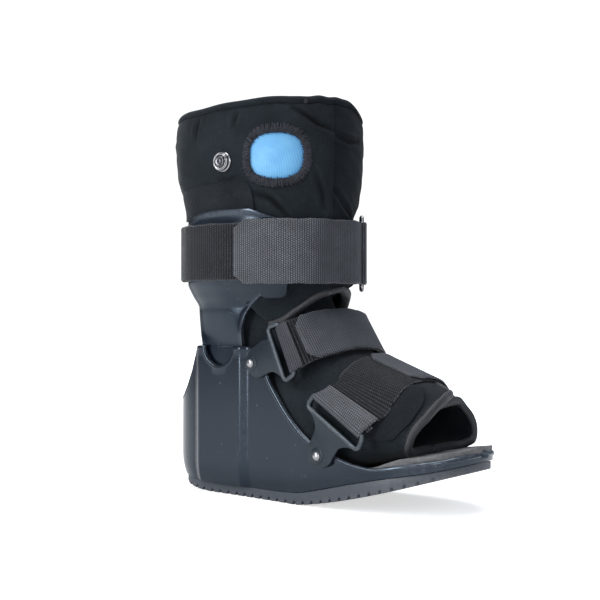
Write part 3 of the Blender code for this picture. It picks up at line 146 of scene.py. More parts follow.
@dataclass(frozen=True)
class BootForm:
    """Sizes of the boot and the surfaces that its pieces lie on."""

    length: float = 0.282
    forefoot_width: float = 0.112
    heel_width: float = 0.090
    height: float = 0.3145
    ankle: float = 0.150
    gap: float = 0.0003

    outsole: float = 0.0085
    toe_rise: float = 0.033
    heel_rise: float = 0.007
    shell_wall: float = 0.0032
    shell_side: float = 0.1195
    shell_heel: float = 0.074
    toe_rim: float = 0.0075
    bottom_tuck: float = 0.0028
    tuck_height: float = 0.016
    pocket_depth: float = 0.0040
    pocket_rear: float = 0.155
    pocket_front: float = 0.340
    pocket_ramp: float = 0.009
    notch_radius: float = 0.0155
    insole: float = 0.005

    strut_wall: float = 0.0033
    strut_foot: float = 0.045
    strut_top: float = 0.2265
    strut_clearance: float = 0.0011

    calf_depth: float = 0.163
    calf_width: float = 0.130
    calf_axis: float = 0.295
    calf_wall: float = 0.0070
    foot_wall: float = 0.0058
    collar_dip: float = 0.0080
    lap_step: float = 0.0022
    flare: float = 0.0050
    strap_height: float = 0.1935
    strap_width: float = 0.050
    ring_angle: float = 32.0
    ring_dent: float = 0.0050

    rim_table: Table = (
        (0.000, 0.590), (0.030, 0.598), (0.075, 0.640), (0.120, 0.800), (0.147, 0.970),
        (0.158, 1.000), (0.400, 1.000), (0.412, 0.960), (0.430, 0.790), (0.462, 0.670),
        (0.513, 0.516), (0.588, 0.345), (0.688, 0.197), (0.738, 0.137), (0.802, 0.089),
        (1.000, 0.089),
    )
    calf_table: Table = (
        (-0.08, 0.315, 0.730, 0.720), (0.000, 0.305, 0.775, 0.715), (0.060, 0.300, 0.840, 0.800),
        (0.120, 0.300, 0.915, 0.890), (0.180, 0.300, 0.945, 0.916), (0.400, 0.300, 0.945, 0.916),
        (0.460, 0.302, 0.940, 0.930), (0.570, 0.298, 0.970, 0.970), (0.810, 0.295, 1.000, 1.000),
        (1.000, 0.295, 0.985, 0.985),
    )
    flap_table: Table = (
        (0.0, 1.115), (20.0, 1.085), (38.0, 1.010), (52.0, 0.945), (64.0, 0.925),
        (72.0, 0.960), (80.0, 1.007), (90.0, 1.010), (180.0, 1.010),
    )
    foot_table: Table = (
        (0.865, 0.000, 0.884, 0.575, 0.775, 2.3, 0.30),
        (0.784, 0.000, 0.800, 0.633, 0.839, 2.4, 0.25),
        (0.677, 0.000, 0.713, 0.693, 0.884, 2.5, 0.20),
        (0.553, 0.000, 0.635, 0.750, 0.870, 2.6, 0.12),
        (0.411, 0.000, 0.571, 0.833, 0.835, 2.7, 0.05),
        (0.234, 0.000, 0.524, 0.920, 0.765, 2.7, 0.00),
        (0.082, 0.050, 0.503, 0.980, 0.735, 2.6, 0.00),
        (0.024, 0.210, 0.494, 1.027, 0.735, 2.4, 0.00),
        (0.028, 0.410, 0.490, 1.060, 0.715, 2.2, 0.00),
        (0.062, 0.640, 0.488, 1.087, 0.695, 2.1, 0.00),
    )
    strut_table: Table = (
        (0.200, 0.171, 0.326), (0.420, 0.171, 0.326), (0.530, 0.169, 0.326), (0.575, 0.162, 0.326),
        (0.630, 0.158, 0.334), (0.672, 0.156, 0.358), (0.689, 0.155, 0.378), (0.706, 0.153, 0.400),
        (0.728, 0.151, 0.436), (0.7505, 0.149, 0.467), (0.7947, 0.149, 0.483),
        (0.870, 0.148, 0.486), (0.955, 0.149, 0.476), (1.000, 0.149, 0.476),
    )
    crown_table: Table = (
        (0.00, 0.950), (0.08, 0.972), (0.22, 0.991), (0.50, 1.000), (0.72, 1.000),
        (0.86, 0.982), (1.00, 0.960),
    )

    def along(self, share: float) -> float:
        """X of a share of the sole's length, counted from the heel."""
        return (share - 0.5) * self.length

    def half_width(self, x: float) -> float:
        """Half width of the shell's plan outline at x."""
        heel, toe = self.heel_width / 2.0, self.forefoot_width / 2.0
        heel_centre, toe_centre = heel - self.length / 2.0, self.length * 0.27
        if x < heel_centre:
            return math.sqrt(max(0.0, heel ** 2 - (x - heel_centre) ** 2))
        if x > toe_centre:
            share = min(1.0, (x - toe_centre) / (self.length / 2.0 - toe_centre))
            return toe * max(0.0, 1.0 - share ** 2.15) ** (1.0 / 2.15)
        return heel + (toe - heel) * smooth(heel_centre, toe_centre, x)

    def tread_level(self, x: float) -> float:
        """Height of the outsole's underside, the rocker curve."""
        toe_start, heel_start = self.along(0.52), self.along(0.20)
        if x > toe_start:
            return self.toe_rise * ((x - toe_start) / (self.length / 2.0 - toe_start)) ** 1.3
        if x < heel_start:
            return self.heel_rise * ((heel_start - x) / (heel_start + self.length / 2.0)) ** 1.5
        return 0.0

    def parting_level(self, x: float) -> float:
        """Height of the line where the shell sits on the outsole."""
        x = max(-self.length / 2.0, min(self.length / 2.0, x))
        swell = 0.003 * math.sin(math.pi * smooth(self.along(0.40), self.along(1.0), x))
        thin = 0.0025 * smooth(self.along(0.80), self.along(1.0), x)
        heel = self.heel_rise * 0.75 * max(0.0, (self.along(0.20) - x) / self.length * 5.0) ** 1.5
        level = self.tread_level(x)
        if x <= self.along(0.3):
            level = min(level, heel)
        return level + self.outsole + swell - thin

    def floor_level(self, x: float) -> float:
        """Height of the shell's inner floor."""
        slope = (self.parting_level(x + 0.001) - self.parting_level(x - 0.001)) / 0.002
        return self.parting_level(x) + self.shell_wall * math.sqrt(1.0 + slope * slope) + self.gap

    def insole_level(self, x: float) -> float:
        """Height of the insole's top."""
        return self.floor_level(x) + self.gap + self.insole

    def rim_level(self, x: float) -> float:
        """Height of the shell's upper edge, the round notch over the strut included."""
        base = self.parting_level(x)
        share = (x + self.length / 2.0) / self.length
        height = curve_through(self.rim_table, share) * (self.shell_side - base)
        if share < 0.075:
            ratio = curve_through(self.rim_table, share) / self.rim_table[0][1]
            height = (self.shell_heel - base) * ratio
        level = base + max(self.toe_rim, height)
        reach = abs(x - self.along((self.pocket_rear + self.pocket_front) / 2.0))
        if reach < self.notch_radius:
            level = min(level, self.shell_side - math.sqrt(self.notch_radius ** 2 - reach ** 2))
        return level

    def pocket_bulge(self, x: float) -> float:
        """How far the shell's side stands out to make room for the strut."""
        rear, front = self.along(self.pocket_rear), self.along(self.pocket_front)
        half = self.pocket_ramp / 2.0
        rise = smooth(rear - half, rear + half, x)
        return self.pocket_depth * rise * (1.0 - smooth(front - half, front + half, x))

    def tuck(self, x: float, z: float) -> float:
        """How far the shell's wall tucks in near the outsole."""
        share = max(0.0, 1.0 - (z - self.parting_level(x)) / self.tuck_height)
        toe = 1.0 - 0.85 * smooth(0.095, 0.135, x)
        return self.bottom_tuck * share ** 2 * toe

    def plan_point(self, x: float, out: float) -> Vector:
        """Point on the near side of the plan outline, pushed out square to it, at height 0."""
        here = self.half_width(x)
        half = self.length / 2.0
        if abs(x) > half - 1e-6:
            return Vector((x + math.copysign(out, x), 0.0, 0.0))
        step = 0.0004
        low, high = max(-half, x - step), min(half, x + step)
        tangent = Vector((high - low, self.half_width(high) - self.half_width(low), 0.0))
        tangent.normalize()
        point = Vector((x, here, 0.0)) + Vector((-tangent.y, tangent.x, 0.0)) * out
        return Vector((point.x, -max(0.0, point.y), 0.0))

    def plan_stations(self, heel: int, side: int, toe: int) -> list[float]:
        """X of stations along the outline, close together round the heel and the toe.

        Args:
            heel: Steps round the heel.
            side: Steps along the side.
            toe: Steps round the toe.

        Returns:
            The stations, from the heel's back to the toe's tip.
        """
        half, radius = self.length / 2.0, self.heel_width / 2.0
        toe_centre = self.length * 0.27
        found = [-half + radius * (1.0 - math.cos(math.radians(90.0 * i / heel)))
                 for i in range(heel)]
        found += [radius - half + (toe_centre + half - radius) * i / side for i in range(side)]
        found += [toe_centre + (half - toe_centre) * math.sin(math.radians(90.0 * i / toe))
                  for i in range(toe + 1)]
        return found

    def calf_ring(self, z: float) -> tuple[float, float, float]:
        """Centre x and half sizes of the calf's outside at height z."""
        share = (z - self.ankle) / (self.height - self.ankle)
        centre = self.along(curve_through(self.calf_table, share, 1) - 0.295 + self.calf_axis)
        depth = curve_through(self.calf_table, share, 2) * self.calf_depth / 2.0
        return centre, depth, curve_through(self.calf_table, share, 3) * self.calf_width / 2.0

    def calf_point(self, angle: float, z: float, offset: float = 0.0) -> Vector:
        """Point on the calf, angle in degrees from the front, near side negative.

        Args:
            angle: Angle round the calf.
            z: Height.
            offset: How far the point is pushed out.

        Returns:
            The point.
        """
        centre, depth, width = self.calf_ring(z)
        c, s = math.cos(math.radians(angle)), math.sin(math.radians(angle))
        normal = Vector((c / depth, s / width, 0.0)).normalized()
        return Vector((centre + depth * c, width * s, z)) + normal * offset

    def calf_y(self, x: float, z: float) -> float:
        """Half width of the calf at x and height z."""
        centre, depth, width = self.calf_ring(z)
        share = min(0.999, abs(x - centre) / depth)
        return width * math.sqrt(1.0 - share * share)

    def calf_frame(self, angle: float, z: float, rise: float = 0.0) -> Matrix:
        """Matrix on the calf: local x runs round it, y up, and z out of it."""
        point = self.calf_point(angle, z, rise)
        out = (self.calf_point(angle, z, rise + 0.01) - point).normalized()
        side = UP.cross(out).normalized()
        turn = Matrix((side, out.cross(side), out)).transposed().to_4x4()
        return Matrix.Translation(point) @ turn

    def collar_level(self, angle: float) -> float:
        """Height of the calf's top edge."""
        return self.height - self.collar_dip * (1.0 - math.cos(math.radians(angle))) / 2.0

    def dent(self, angle: float, z: float) -> float:
        """How deep the ring and the strap beside it press into the soft wall."""
        band = 1.0 - smooth(0.024, 0.040, abs(z - self.strap_height))
        return self.ring_dent * hump(self.ring_angle + 6.0, 34.0, angle) * band

    def flap_level(self, angle: float) -> float:
        """Height of the calf's lower edge."""
        return curve_through(self.flap_table, abs(angle)) * self.ankle

    def flap_flare(self, angle: float, z: float) -> float:
        """How far the free front of the calf stands off near its lower edge."""
        front = 1.0 - smooth(34.0, 60.0, abs(angle))
        room = self.strap_height - self.strap_width / 2.0 - self.flap_level(angle)
        if room <= 0.0:
            return 0.0
        low = 1.0 - smooth(0.0, room, z - self.flap_level(angle))
        return self.flare * front * low * min(1.0, room / 0.020)

    def foot_section(self, index: float) -> tuple[Vector, Vector, float, float, float]:
        """Ends and shape of the foot liner's section at a place in its table."""
        low = min(int(index), len(self.foot_table) - 2)
        keyed = [(n, *row) for n, row in enumerate(self.foot_table)]
        near = keyed[max(0, low - 1):low + 3]
        row = [curve_through(near, index, column) for column in range(1, 8)]
        x = self.along(row[0])
        sole = Vector((x, 0.0, self.insole_level(x) + self.gap + row[1] * self.ankle))
        instep = Vector((self.along(row[2]), 0.0, row[3] * self.ankle))
        return sole, instep, row[4] * self.forefoot_width / 2.0, row[5], row[6]

    def foot_point(self, index: float, angle: float, offset: float = 0.0) -> Vector:
        """Point on the foot liner. Angle 0 is the instep, 180 the sole, and -90 the near side.

        Args:
            index: Place in the table of sections, 0 at the toe opening.
            angle: Angle round the section.
            offset: How far the point is pushed out.

        Returns:
            The point.
        """
        sole, instep, width, fullness, drop = self.foot_section(index)
        c, s = math.cos(math.radians(angle)), math.sin(math.radians(angle))
        up = math.copysign(abs(c) ** (2.0 / fullness), c)
        side = math.copysign(abs(s) ** (2.0 / fullness), s)
        up -= drop * (1.0 - up * up)
        middle, reach = (sole + instep) / 2.0, (instep - sole) / 2.0
        point = middle + reach * up + Vector((0.0, width * side, 0.0))
        normal = reach.normalized() * c * width + Vector((0.0, s * reach.length, 0.0))
        normal.normalize()
        rim = self.rim_level(point.x)
        if point.z < rim + 0.004:
            wall = self.half_width(point.x * self.length / (self.length - 2.0 * self.shell_wall))
            room = wall - self.shell_wall - self.tuck(point.x, point.z) - self.gap * 3.0
            room += 0.004 * smooth(rim, rim + 0.004, point.z)
            point.y = max(-room, min(room, point.y))
            point.z = max(point.z, self.insole_level(point.x) + self.gap)
        return point + normal * offset

    def strut_point(self, x: float, z: float) -> Vector:
        """Point on the near strut's outer face."""
        rise = self.strut_clearance + self.strut_wall
        pocket = self.half_width(x) + self.pocket_depth - self.shell_wall - self.strut_clearance
        calf = self.calf_y(x, max(z, self.ankle)) + rise
        rear = 1.0 - smooth(self.along(0.15), self.along(0.27), x)
        front = smooth(self.along(0.25), self.along(0.345), x)
        swell = hump(0.152, 0.026, z) * (0.0050 * rear - 0.0045 * front)
        reach = pocket + (calf - pocket) * smooth(self.shell_side, self.ankle, z)
        low = Vector((x, -reach - swell, z))
        if z <= self.ankle:
            return low
        centre, depth, _ = self.calf_ring(z)
        share = max(-0.999, min(0.999, (x - centre) / depth))
        slant = 0.0008 * (1.0 - smooth(self.ankle + 0.020, self.ankle + 0.032, z))
        point = self.calf_point(-math.degrees(math.acos(share)), z, rise + slant)
        point.y -= swell
        return low.lerp(point, smooth(self.ankle, self.ankle + 0.026, z))


FORM = BootForm()


class Bench:
    """Adds primitives and works on them in edit mode, as a modeller does by hand."""

    @staticmethod
    def take(*pieces: bpy.types.Object) -> None:
        """Selects these pieces alone and makes the first the active one."""
        if bpy.context.object and bpy.context.object.mode != "OBJECT":
            bpy.ops.object.mode_set(mode="OBJECT")
        bpy.ops.object.select_all(action="DESELECT")
        for piece in pieces:
            piece.select_set(True)
        if pieces:
            bpy.context.view_layer.objects.active = pieces[0]

    @classmethod
    def label(cls, name: str) -> bpy.types.Object:
        """Names the primitive that was just added."""
        piece = bpy.context.object
        piece.name = name
        piece.data.name = name
        return piece

    @classmethod
    def weld(cls, piece: bpy.types.Object, distance: float = 0.00002) -> bpy.types.Object:
        """Merges doubles and turns the faces outward.

        Args:
            piece: Piece to work on.
            distance: Points closer than this become one.

        Returns:
            The same piece.
        """
        cls.take(piece)
        bpy.ops.object.mode_set(mode="EDIT")
        bpy.ops.mesh.select_all(action="SELECT")
        bpy.ops.mesh.remove_doubles(threshold=distance)
        bpy.ops.mesh.normals_make_consistent(inside=False)
        bpy.ops.object.mode_set(mode="OBJECT")
        return piece

    @classmethod
    def apply(cls, piece: bpy.types.Object, kind: str, **settings: object) -> bpy.types.Object:
        """Adds a modifier with these settings and applies it.

        Args:
            piece: Piece to work on.
            kind: Blender's name for the modifier.
            **settings: Its settings.

        Returns:
            The same piece.
        """
        cls.take(piece)
        modifier = piece.modifiers.new(kind.lower(), kind)
        for key, value in settings.items():
            setattr(modifier, key, value)
        bpy.ops.object.modifier_apply(modifier=modifier.name)
        return piece

    @classmethod
    def subdivide(cls, piece: bpy.types.Object, levels: int = 1) -> bpy.types.Object:
        """Applies a subdivision surface."""
        return cls.apply(piece, "SUBSURF", levels=levels, render_levels=levels)

    @classmethod
    def settle(cls, piece: bpy.types.Object, angle: float = 40.0) -> bpy.types.Object:
        """Applies the place and turn, and shades smooth but for sharp edges.

        Args:
            piece: Piece to work on.
            angle: Edges sharper than this stay sharp.

        Returns:
            The same piece.
        """
        cls.take(piece)
        bpy.ops.object.transform_apply(location=True, rotation=True, scale=True)
        bpy.ops.object.shade_smooth_by_angle(angle=math.radians(angle))
        return piece

    @classmethod
    def flip(cls, piece: bpy.types.Object) -> None:
        """Turns every face over."""
        cls.take(piece)
        bpy.ops.object.mode_set(mode="EDIT")
        bpy.ops.mesh.select_all(action="SELECT")
        bpy.ops.mesh.flip_normals()
        bpy.ops.object.mode_set(mode="OBJECT")

    @classmethod
    def face(cls, piece: bpy.types.Object, outward: Callable[[Vector], Vector]) -> bpy.types.Object:
        """Turns an open sheet over where its faces look away from the outward side.

        Args:
            piece: Piece to work on.
            outward: Gives the outward direction at a point.

        Returns:
            The same piece.
        """
        faces = piece.data.polygons
        if sum(f.normal.dot(outward(f.center)) * f.area for f in faces) < 0.0:
            cls.flip(piece)
        return piece

    @classmethod
    def join(cls, name: str, pieces: Sequence[bpy.types.Object]) -> bpy.types.Object:
        """Joins pieces into one.

        Args:
            name: Name of the result.
            pieces: Pieces that become one.

        Returns:
            The joined piece.
        """
        cls.take(*pieces)
        bpy.ops.object.join()
        return cls.label(name)

    @classmethod
    def copy(cls, piece: bpy.types.Object, matrix: Matrix) -> bpy.types.Object:
        """Copy of a piece with a mesh of its own, moved by a matrix."""
        twin = piece.copy()
        twin.data = piece.data.copy()
        bpy.context.scene.collection.objects.link(twin)
        twin.data.transform(matrix)
        return twin

    @classmethod
    def mirror(cls, piece: bpy.types.Object, name: str) -> bpy.types.Object:
        """Copy of a piece on the other side of the boot, its faces turned outward again."""
        twin = cls.copy(piece, Matrix.Scale(-1.0, 4, (0.0, 1.0, 0.0)))
        twin.name = name
        twin.data.name = name
        cls.flip(twin)
        return twin

    @classmethod
    def sheet(cls, name: str, rows: Sequence[Sequence[Vector]],
              closed: bool = False, around: bool = False,
              chart: Optional[Callable[[int, int], tuple[float, float]]] = None,
              ) -> bpy.types.Object:
        """Grid primitive laid over rows of points, with a UV map in metres.

        Args:
            name: Name of the piece.
            rows: Rows of points, all of one length.
            closed: Whether each row joins its end to its start.
            around: Whether the last row joins the first.
            chart: Gives the UV of a row and a column. Without it, U runs along the rows of
                points and V across them, by their own lengths.

        Returns:
            The piece, welded, its faces outward.
        """
        lines = [list(row) + ([row[0]] if closed else []) for row in rows]
        if around:
            lines.append(lines[0])
        tall, wide = len(lines), len(lines[0])
        cls.take()
        bpy.ops.mesh.primitive_grid_add(x_subdivisions=wide - 1, y_subdivisions=tall - 1, size=2.0)
        piece = cls.label(name)
        mesh = piece.data
        flat = np.empty(len(mesh.vertices) * 3)
        mesh.vertices.foreach_get("co", flat)
        flat = flat.reshape(-1, 3)
        columns = np.rint((flat[:, 0] + 1.0) / 2.0 * (wide - 1)).astype(int)
        levels = np.rint((flat[:, 1] + 1.0) / 2.0 * (tall - 1)).astype(int)
        points = np.array([[tuple(p) for p in line] for line in lines])
        mesh.vertices.foreach_set("co", points[levels, columns].ravel())
        if chart is None:
            up = np.linalg.norm(np.diff(points, axis=0), axis=2).mean(axis=1)
            over = np.linalg.norm(np.diff(points, axis=1), axis=2).mean(axis=0)
            us = np.concatenate(([0.0], np.cumsum(over)))
            vs = np.concatenate(([0.0], np.cumsum(up)))
            charted = np.array([[(us[c], vs[r]) for c in range(wide)] for r in range(tall)])
        else:
            charted = np.array([[chart(r, c) for c in range(wide)] for r in range(tall)])
        corner = np.empty(len(mesh.loops), dtype=int)
        mesh.loops.foreach_get("vertex_index", corner)
        uvs = charted[levels[corner], columns[corner]]
        mesh.uv_layers[0].data.foreach_set("uv", uvs.ravel())
        mesh.update()
        return cls.weld(piece)

    @classmethod
    def rod(cls, name: str, path: Sequence[Vector], radius: float | Sequence[float],
            sides: int = 12, loop: bool = False, flat: float = 1.0,
            lean: Vector = UP) -> bpy.types.Object:
        """Round rod along a path, with rounded ends unless it is a loop.

        Args:
            name: Name of the piece.
            path: Points that the middle follows.
            radius: Its radius, one for all or one for each point.
            sides: Points round it.
            loop: Whether the path is closed.
            flat: Height of the section as a share of its width.
            lean: Direction that the section's height keeps to.

        Returns:
            The piece.
        """
        points = [Vector(p) for p in path]
        count = len(points)
        radii = [radius] * count if isinstance(radius, float) else list(radius)
        rows = []
        for i, point in enumerate(points):
            before = points[i - 1] if loop or i else points[i]
            after = points[(i + 1) % count] if loop or i < count - 1 else points[i]
            ahead = (after - before).normalized()
            side = ahead.cross(lean).normalized()
            rise = side.cross(ahead).normalized()
            ring = []
            for s in range(sides):
                turn = 2.0 * math.pi * s / sides
                ring.append(point + side * (radii[i] * math.cos(turn))
                            + rise * (radii[i] * flat * math.sin(turn)))
            rows.append(ring)
            if not loop and i in (0, count - 1):
                out = -ahead if i == 0 else ahead
                caps = []
                for share in (0.7, 0.0):
                    push = out * (radii[i] * 0.7 * math.sqrt(1.0 - share * share))
                    caps.append([point + push + (p - point) * share for p in ring])
                rows = caps[::-1] + rows if i == 0 else rows + caps
        return cls.sheet(name, rows, closed=True, around=loop)

    @classmethod
    def spun(cls, name: str, profile: Sequence[tuple[float, float]], matrix: Matrix,
             steps: int = 40) -> bpy.types.Object:
        """Turned piece: a profile extruded point by point, and spun round local Z.

        Args:
            name: Name of the piece.
            profile: Points (radius, height), from the top of the axis to its foot.
            matrix: Where the piece goes.
            steps: Steps of the spin.

        Returns:
            The piece.
        """
        cls.take()
        bpy.ops.mesh.primitive_plane_add(size=0.001)
        piece = cls.label(name)
        bpy.ops.object.mode_set(mode="EDIT")
        bpy.ops.mesh.select_all(action="SELECT")
        bpy.ops.mesh.merge(type="CENTER")
        start = Vector((profile[0][0], 0.0, profile[0][1]))
        bpy.ops.transform.translate(value=start)
        place = start
        for radius, height in profile[1:]:
            point = Vector((radius, 0.0, height))
            bpy.ops.mesh.extrude_region_move(TRANSFORM_OT_translate={"value": point - place})
            place = point
        bpy.ops.mesh.select_all(action="SELECT")
        bpy.ops.mesh.spin(steps=steps, angle=math.tau, center=(0, 0, 0), axis=(0, 0, 1))
        bpy.ops.object.mode_set(mode="OBJECT")
        piece.data.transform(matrix)
        return cls.weld(piece, 0.000012)

    @classmethod
    def reshape(cls, piece: bpy.types.Object,
                move: Callable[[Vector], Vector]) -> bpy.types.Object:
        """Moves every point of a piece by a rule.

        Args:
            piece: Piece to work on.
            move: Gives the new place of a point.

        Returns:
            The same piece.
        """
        for vertex in piece.data.vertices:
            vertex.co = move(vertex.co)
        piece.data.update()
        return piece

    @classmethod
    def paint(cls, piece: bpy.types.Object, name: str,
              rule: Callable[[Vector], float]) -> bpy.types.Object:
        """Gives every point a value that materials read, such as how worn it is.

        Args:
            piece: Piece to work on.
            name: Name of the attribute.
            rule: Gives the value at a point.

        Returns:
            The same piece.
        """
        layer = piece.data.attributes.new(name, "FLOAT", "POINT")
        layer.data.foreach_set("value", [rule(v.co) for v in piece.data.vertices])
        return piece


class NodeDesk:
    """Lays out and joins the nodes of one tree."""

    def __init__(self, tree: bpy.types.NodeTree) -> None:
        """Takes the tree to work on."""
        self.tree = tree

    def put(self, target: bpy.types.NodeSocket, value: object) -> None:
        """Joins a socket to the target, or sets a plain value on it."""
        if isinstance(value, bpy.types.NodeSocket):
            self.tree.links.new(value, target)
        elif isinstance(value, tuple) and len(value) == 3 and target.type == "RGBA":
            target.default_value = (*value, 1.0)
        else:
            target.default_value = value

    def add(self, kind: str, settings: Optional[dict] = None, **inputs: object) -> bpy.types.Node:
        """Adds a node.

        Args:
            kind: Blender's name for it, without "ShaderNode".
            settings: Properties of the node.
            **inputs: Values or sockets by input name, with _ for a space.

        Returns:
            The node.
        """
        node = self.tree.nodes.new("ShaderNode" + kind)
        for key, value in (settings or {}).items():
            setattr(node, key, value)
        for key, value in inputs.items():
            self.put(node.inputs[key.replace("_", " ")], value)
        return node

    def math(self, step: str, *values: object, clamp: bool = False) -> bpy.types.NodeSocket:
        """Adds a Math node and gives its output."""
        node = self.add("Math", {"operation": step, "use_clamp": clamp})
        for socket, value in zip(node.inputs, values):
            self.put(socket, value)
        return node.outputs[0]

    def times(self, first: object, second: object) -> bpy.types.NodeSocket:
        """Product of two values."""
        return self.math("MULTIPLY", first, second)

    def ramp(self, value: object, low: float, high: float,
             to_low: float = 0.0, to_high: float = 1.0) -> bpy.types.NodeSocket:
        """Value between low and high, brought smoothly to between two others, and clamped."""
        node = self.add("MapRange", {"interpolation_type": "SMOOTHSTEP"})
        for name, number in (("Value", value), ("From Min", low), ("From Max", high),
                             ("To Min", to_low), ("To Max", to_high)):
            self.put(node.inputs[name], number)
        return node.outputs["Result"]

    def blend(self, share: object, first: object, second: object) -> bpy.types.NodeSocket:
        """Colour between two others."""
        node = self.add("Mix", {"data_type": "RGBA"})
        self.put(node.inputs[0], share)
        self.put(node.inputs[6], first)
        self.put(node.inputs[7], second)
        return node.outputs[2]

    def noise(self, place: object, scale: object, detail: float = 3.0,
              rough: float = 0.55) -> bpy.types.NodeSocket:
        """Noise from 0 to 1 at a place."""
        return self.add("TexNoise", Vector=place, Scale=scale, Detail=detail,
                        Roughness=rough).outputs[0]

    def stretch(self, place: object, *scale: float) -> bpy.types.NodeSocket:
        """Place stretched along X, Y and Z."""
        return self.add("Mapping", Vector=place, Scale=scale).outputs[0]

    def group(self, tree: bpy.types.NodeTree, **inputs: object) -> bpy.types.Node:
        """Places a node group."""
        node = self.tree.nodes.new("ShaderNodeGroup")
        node.node_tree = tree
        for key, value in inputs.items():
            self.put(node.inputs[key.replace("_", " ")], value)
        return node


class Effect(Enum):
    """Effects that more than one finish uses, each a node group."""

    GRAIN = "moulded_grain"
    WEAR = "edge_wear"
    SCUFFS = "scuffs_and_dust"
    WEAVE = "ribbed_weave"
    KNIT = "brushed_knit"


class EffectShelf:
    """Builds each effect's node group once."""

    def __init__(self) -> None:
        """Builds all the groups."""
        self.trees = {effect: getattr(self, effect.name.lower())(effect.value) for effect in Effect}

    @staticmethod
    def blank(name: str, inputs: dict[str, tuple[str, object]],
              outputs: dict[str, str]) -> tuple[NodeDesk, bpy.types.Node, bpy.types.Node]:
        """Group with its sockets and nothing in it.

        Args:
            name: Name of the group.
            inputs: Kind and default of each input.
            outputs: Kind of each output.

        Returns:
            The desk, and the nodes for what goes in and what comes out.
        """
        tree = bpy.data.node_groups.new(name, "ShaderNodeTree")
        for label, (kind, value) in inputs.items():
            socket = tree.interface.new_socket(label, in_out="INPUT",
                                               socket_type="NodeSocket" + kind)
            if value is not None:
                socket.default_value = value
        for label, kind in outputs.items():
            tree.interface.new_socket(label, in_out="OUTPUT", socket_type="NodeSocket" + kind)
        desk = NodeDesk(tree)
        return desk, tree.nodes.new("NodeGroupInput"), tree.nodes.new("NodeGroupOutput")

    def grain(self, name: str) -> bpy.types.NodeTree:
        """Fine moulded grain over slow flow marks."""
        desk, given, result = self.blank(
            name, {"Place": ("Vector", None), "Size": ("Float", 900.0)},
            {"Height": "Float", "Cloud": "Float"})
        place = given.outputs["Place"]
        fine = desk.noise(place, given.outputs["Size"], 2.0, 0.6)
        flow = desk.noise(desk.stretch(place, 1.0, 1.0, 0.3), 45.0, 4.0, 0.6)
        desk.put(result.inputs["Height"], desk.math("MULTIPLY_ADD", flow, 0.5, fine))
        desk.put(result.inputs["Cloud"], flow)
        return desk.tree

    def wear(self, name: str) -> bpy.types.NodeTree:
        """Rubbed edges and, on some pieces, painted highlights, broken up by noise, from the
        piece's own attribute.
        """
        desk, given, result = self.blank(
            name, {"Place": ("Vector", None), "Amount": ("Float", 1.0)}, {"Mask": "Float"})
        painted = desk.add("Attribute", {"attribute_name": "wear"}).outputs["Fac"]
        broken = desk.ramp(desk.noise(given.outputs["Place"], 260.0, 5.0, 0.7), 0.36, 0.62)
        soft = desk.math("MULTIPLY_ADD", broken, 0.55, 0.45)
        mask = desk.times(desk.times(painted, soft), given.outputs["Amount"])
        desk.put(result.inputs["Mask"], desk.math("MINIMUM", mask, 1.0))
        return desk.tree

    def scuffs(self, name: str) -> bpy.types.NodeTree:
        """Scratches in two directions, pale rubbed patches and specks of dust."""
        desk, given, result = self.blank(
            name, {"Place": ("Vector", None), "Dust": ("Float", 0.5)},
            {"Scratch": "Float", "Speck": "Float", "Rub": "Float"})
        place = given.outputs["Place"]
        lines = []
        for turn, scale in ((0.5, (900.0, 900.0, 26.0)), (-0.35, (40.0, 40.0, 1400.0))):
            turned = desk.add("Mapping", Vector=place, Rotation=(0.0, turn, turn),
                              Scale=scale).outputs[0]
            lines.append(desk.ramp(desk.noise(turned, 1.0, 2.0, 0.5), 0.70, 0.76))
        where = desk.ramp(desk.noise(place, 22.0, 3.0, 0.6), 0.52, 0.68)
        both = desk.math("MAXIMUM", *lines)
        desk.put(result.inputs["Scratch"], desk.times(both, where))
        cells = desk.add("TexVoronoi", Vector=place, Scale=560.0, Randomness=1.0)
        near = desk.ramp(cells.outputs["Distance"], 0.10, 0.24, 1.0, 0.0)
        kept = desk.add("SeparateColor", Color=cells.outputs["Color"]).outputs[0]
        limit = desk.math("SUBTRACT", 1.0, desk.times(given.outputs["Dust"], 0.035))
        few = desk.math("GREATER_THAN", kept, limit)
        desk.put(result.inputs["Speck"], desk.times(near, few))
        desk.put(result.inputs["Rub"], desk.ramp(desk.noise(place, 60.0, 5.0, 0.75), 0.60, 0.80))
        return desk.tree

    def weave(self, name: str) -> bpy.types.NodeTree:
        """Webbing: ribs across it, each broken into threads, from the UV in metres. Its valley
        output says how much painted shade the valleys between threads get.
        """
        desk, given, result = self.blank(
            name, {"Chart": ("Vector", None), "Rib": ("Float", 0.0011), "Thread": ("Float", 0.0009),
                   "Stagger": ("Float", 0.5)},
            {"Height": "Float", "Valley": "Float", "Fleck": "Float"})
        split = desk.add("SeparateXYZ", Vector=given.outputs["Chart"])
        ribs = desk.math("DIVIDE", split.outputs[0], given.outputs["Rib"])
        row = desk.math("FLOOR", ribs)
        arch = desk.math("ABSOLUTE", desk.math("SINE", desk.times(ribs, math.pi)))
        slide = desk.times(row, given.outputs["Stagger"])
        threads = desk.math("ADD", desk.math("DIVIDE", split.outputs[1], given.outputs["Thread"]),
                            slide)
        beads = desk.math("ABSOLUTE", desk.math("SINE", desk.times(threads, math.pi)))
        bulge = desk.math("POWER", desk.times(arch, beads), 0.7)
        height = desk.math("MULTIPLY_ADD", bulge, 0.8, desk.times(arch, 0.2))
        desk.put(result.inputs["Height"], height)
        # Painted shade: 1 deep in the valleys between threads, 0 on their tops.
        desk.put(result.inputs["Valley"], desk.ramp(height, 0.38, 0.92, 1.0, 0.0))
        cell = desk.add("CombineXYZ", X=row, Y=desk.math("FLOOR", threads))
        white = desk.add("TexWhiteNoise", {"noise_dimensions": "2D"}, Vector=cell.outputs[0])
        desk.put(result.inputs["Fleck"], white.outputs[0])
        return desk.tree

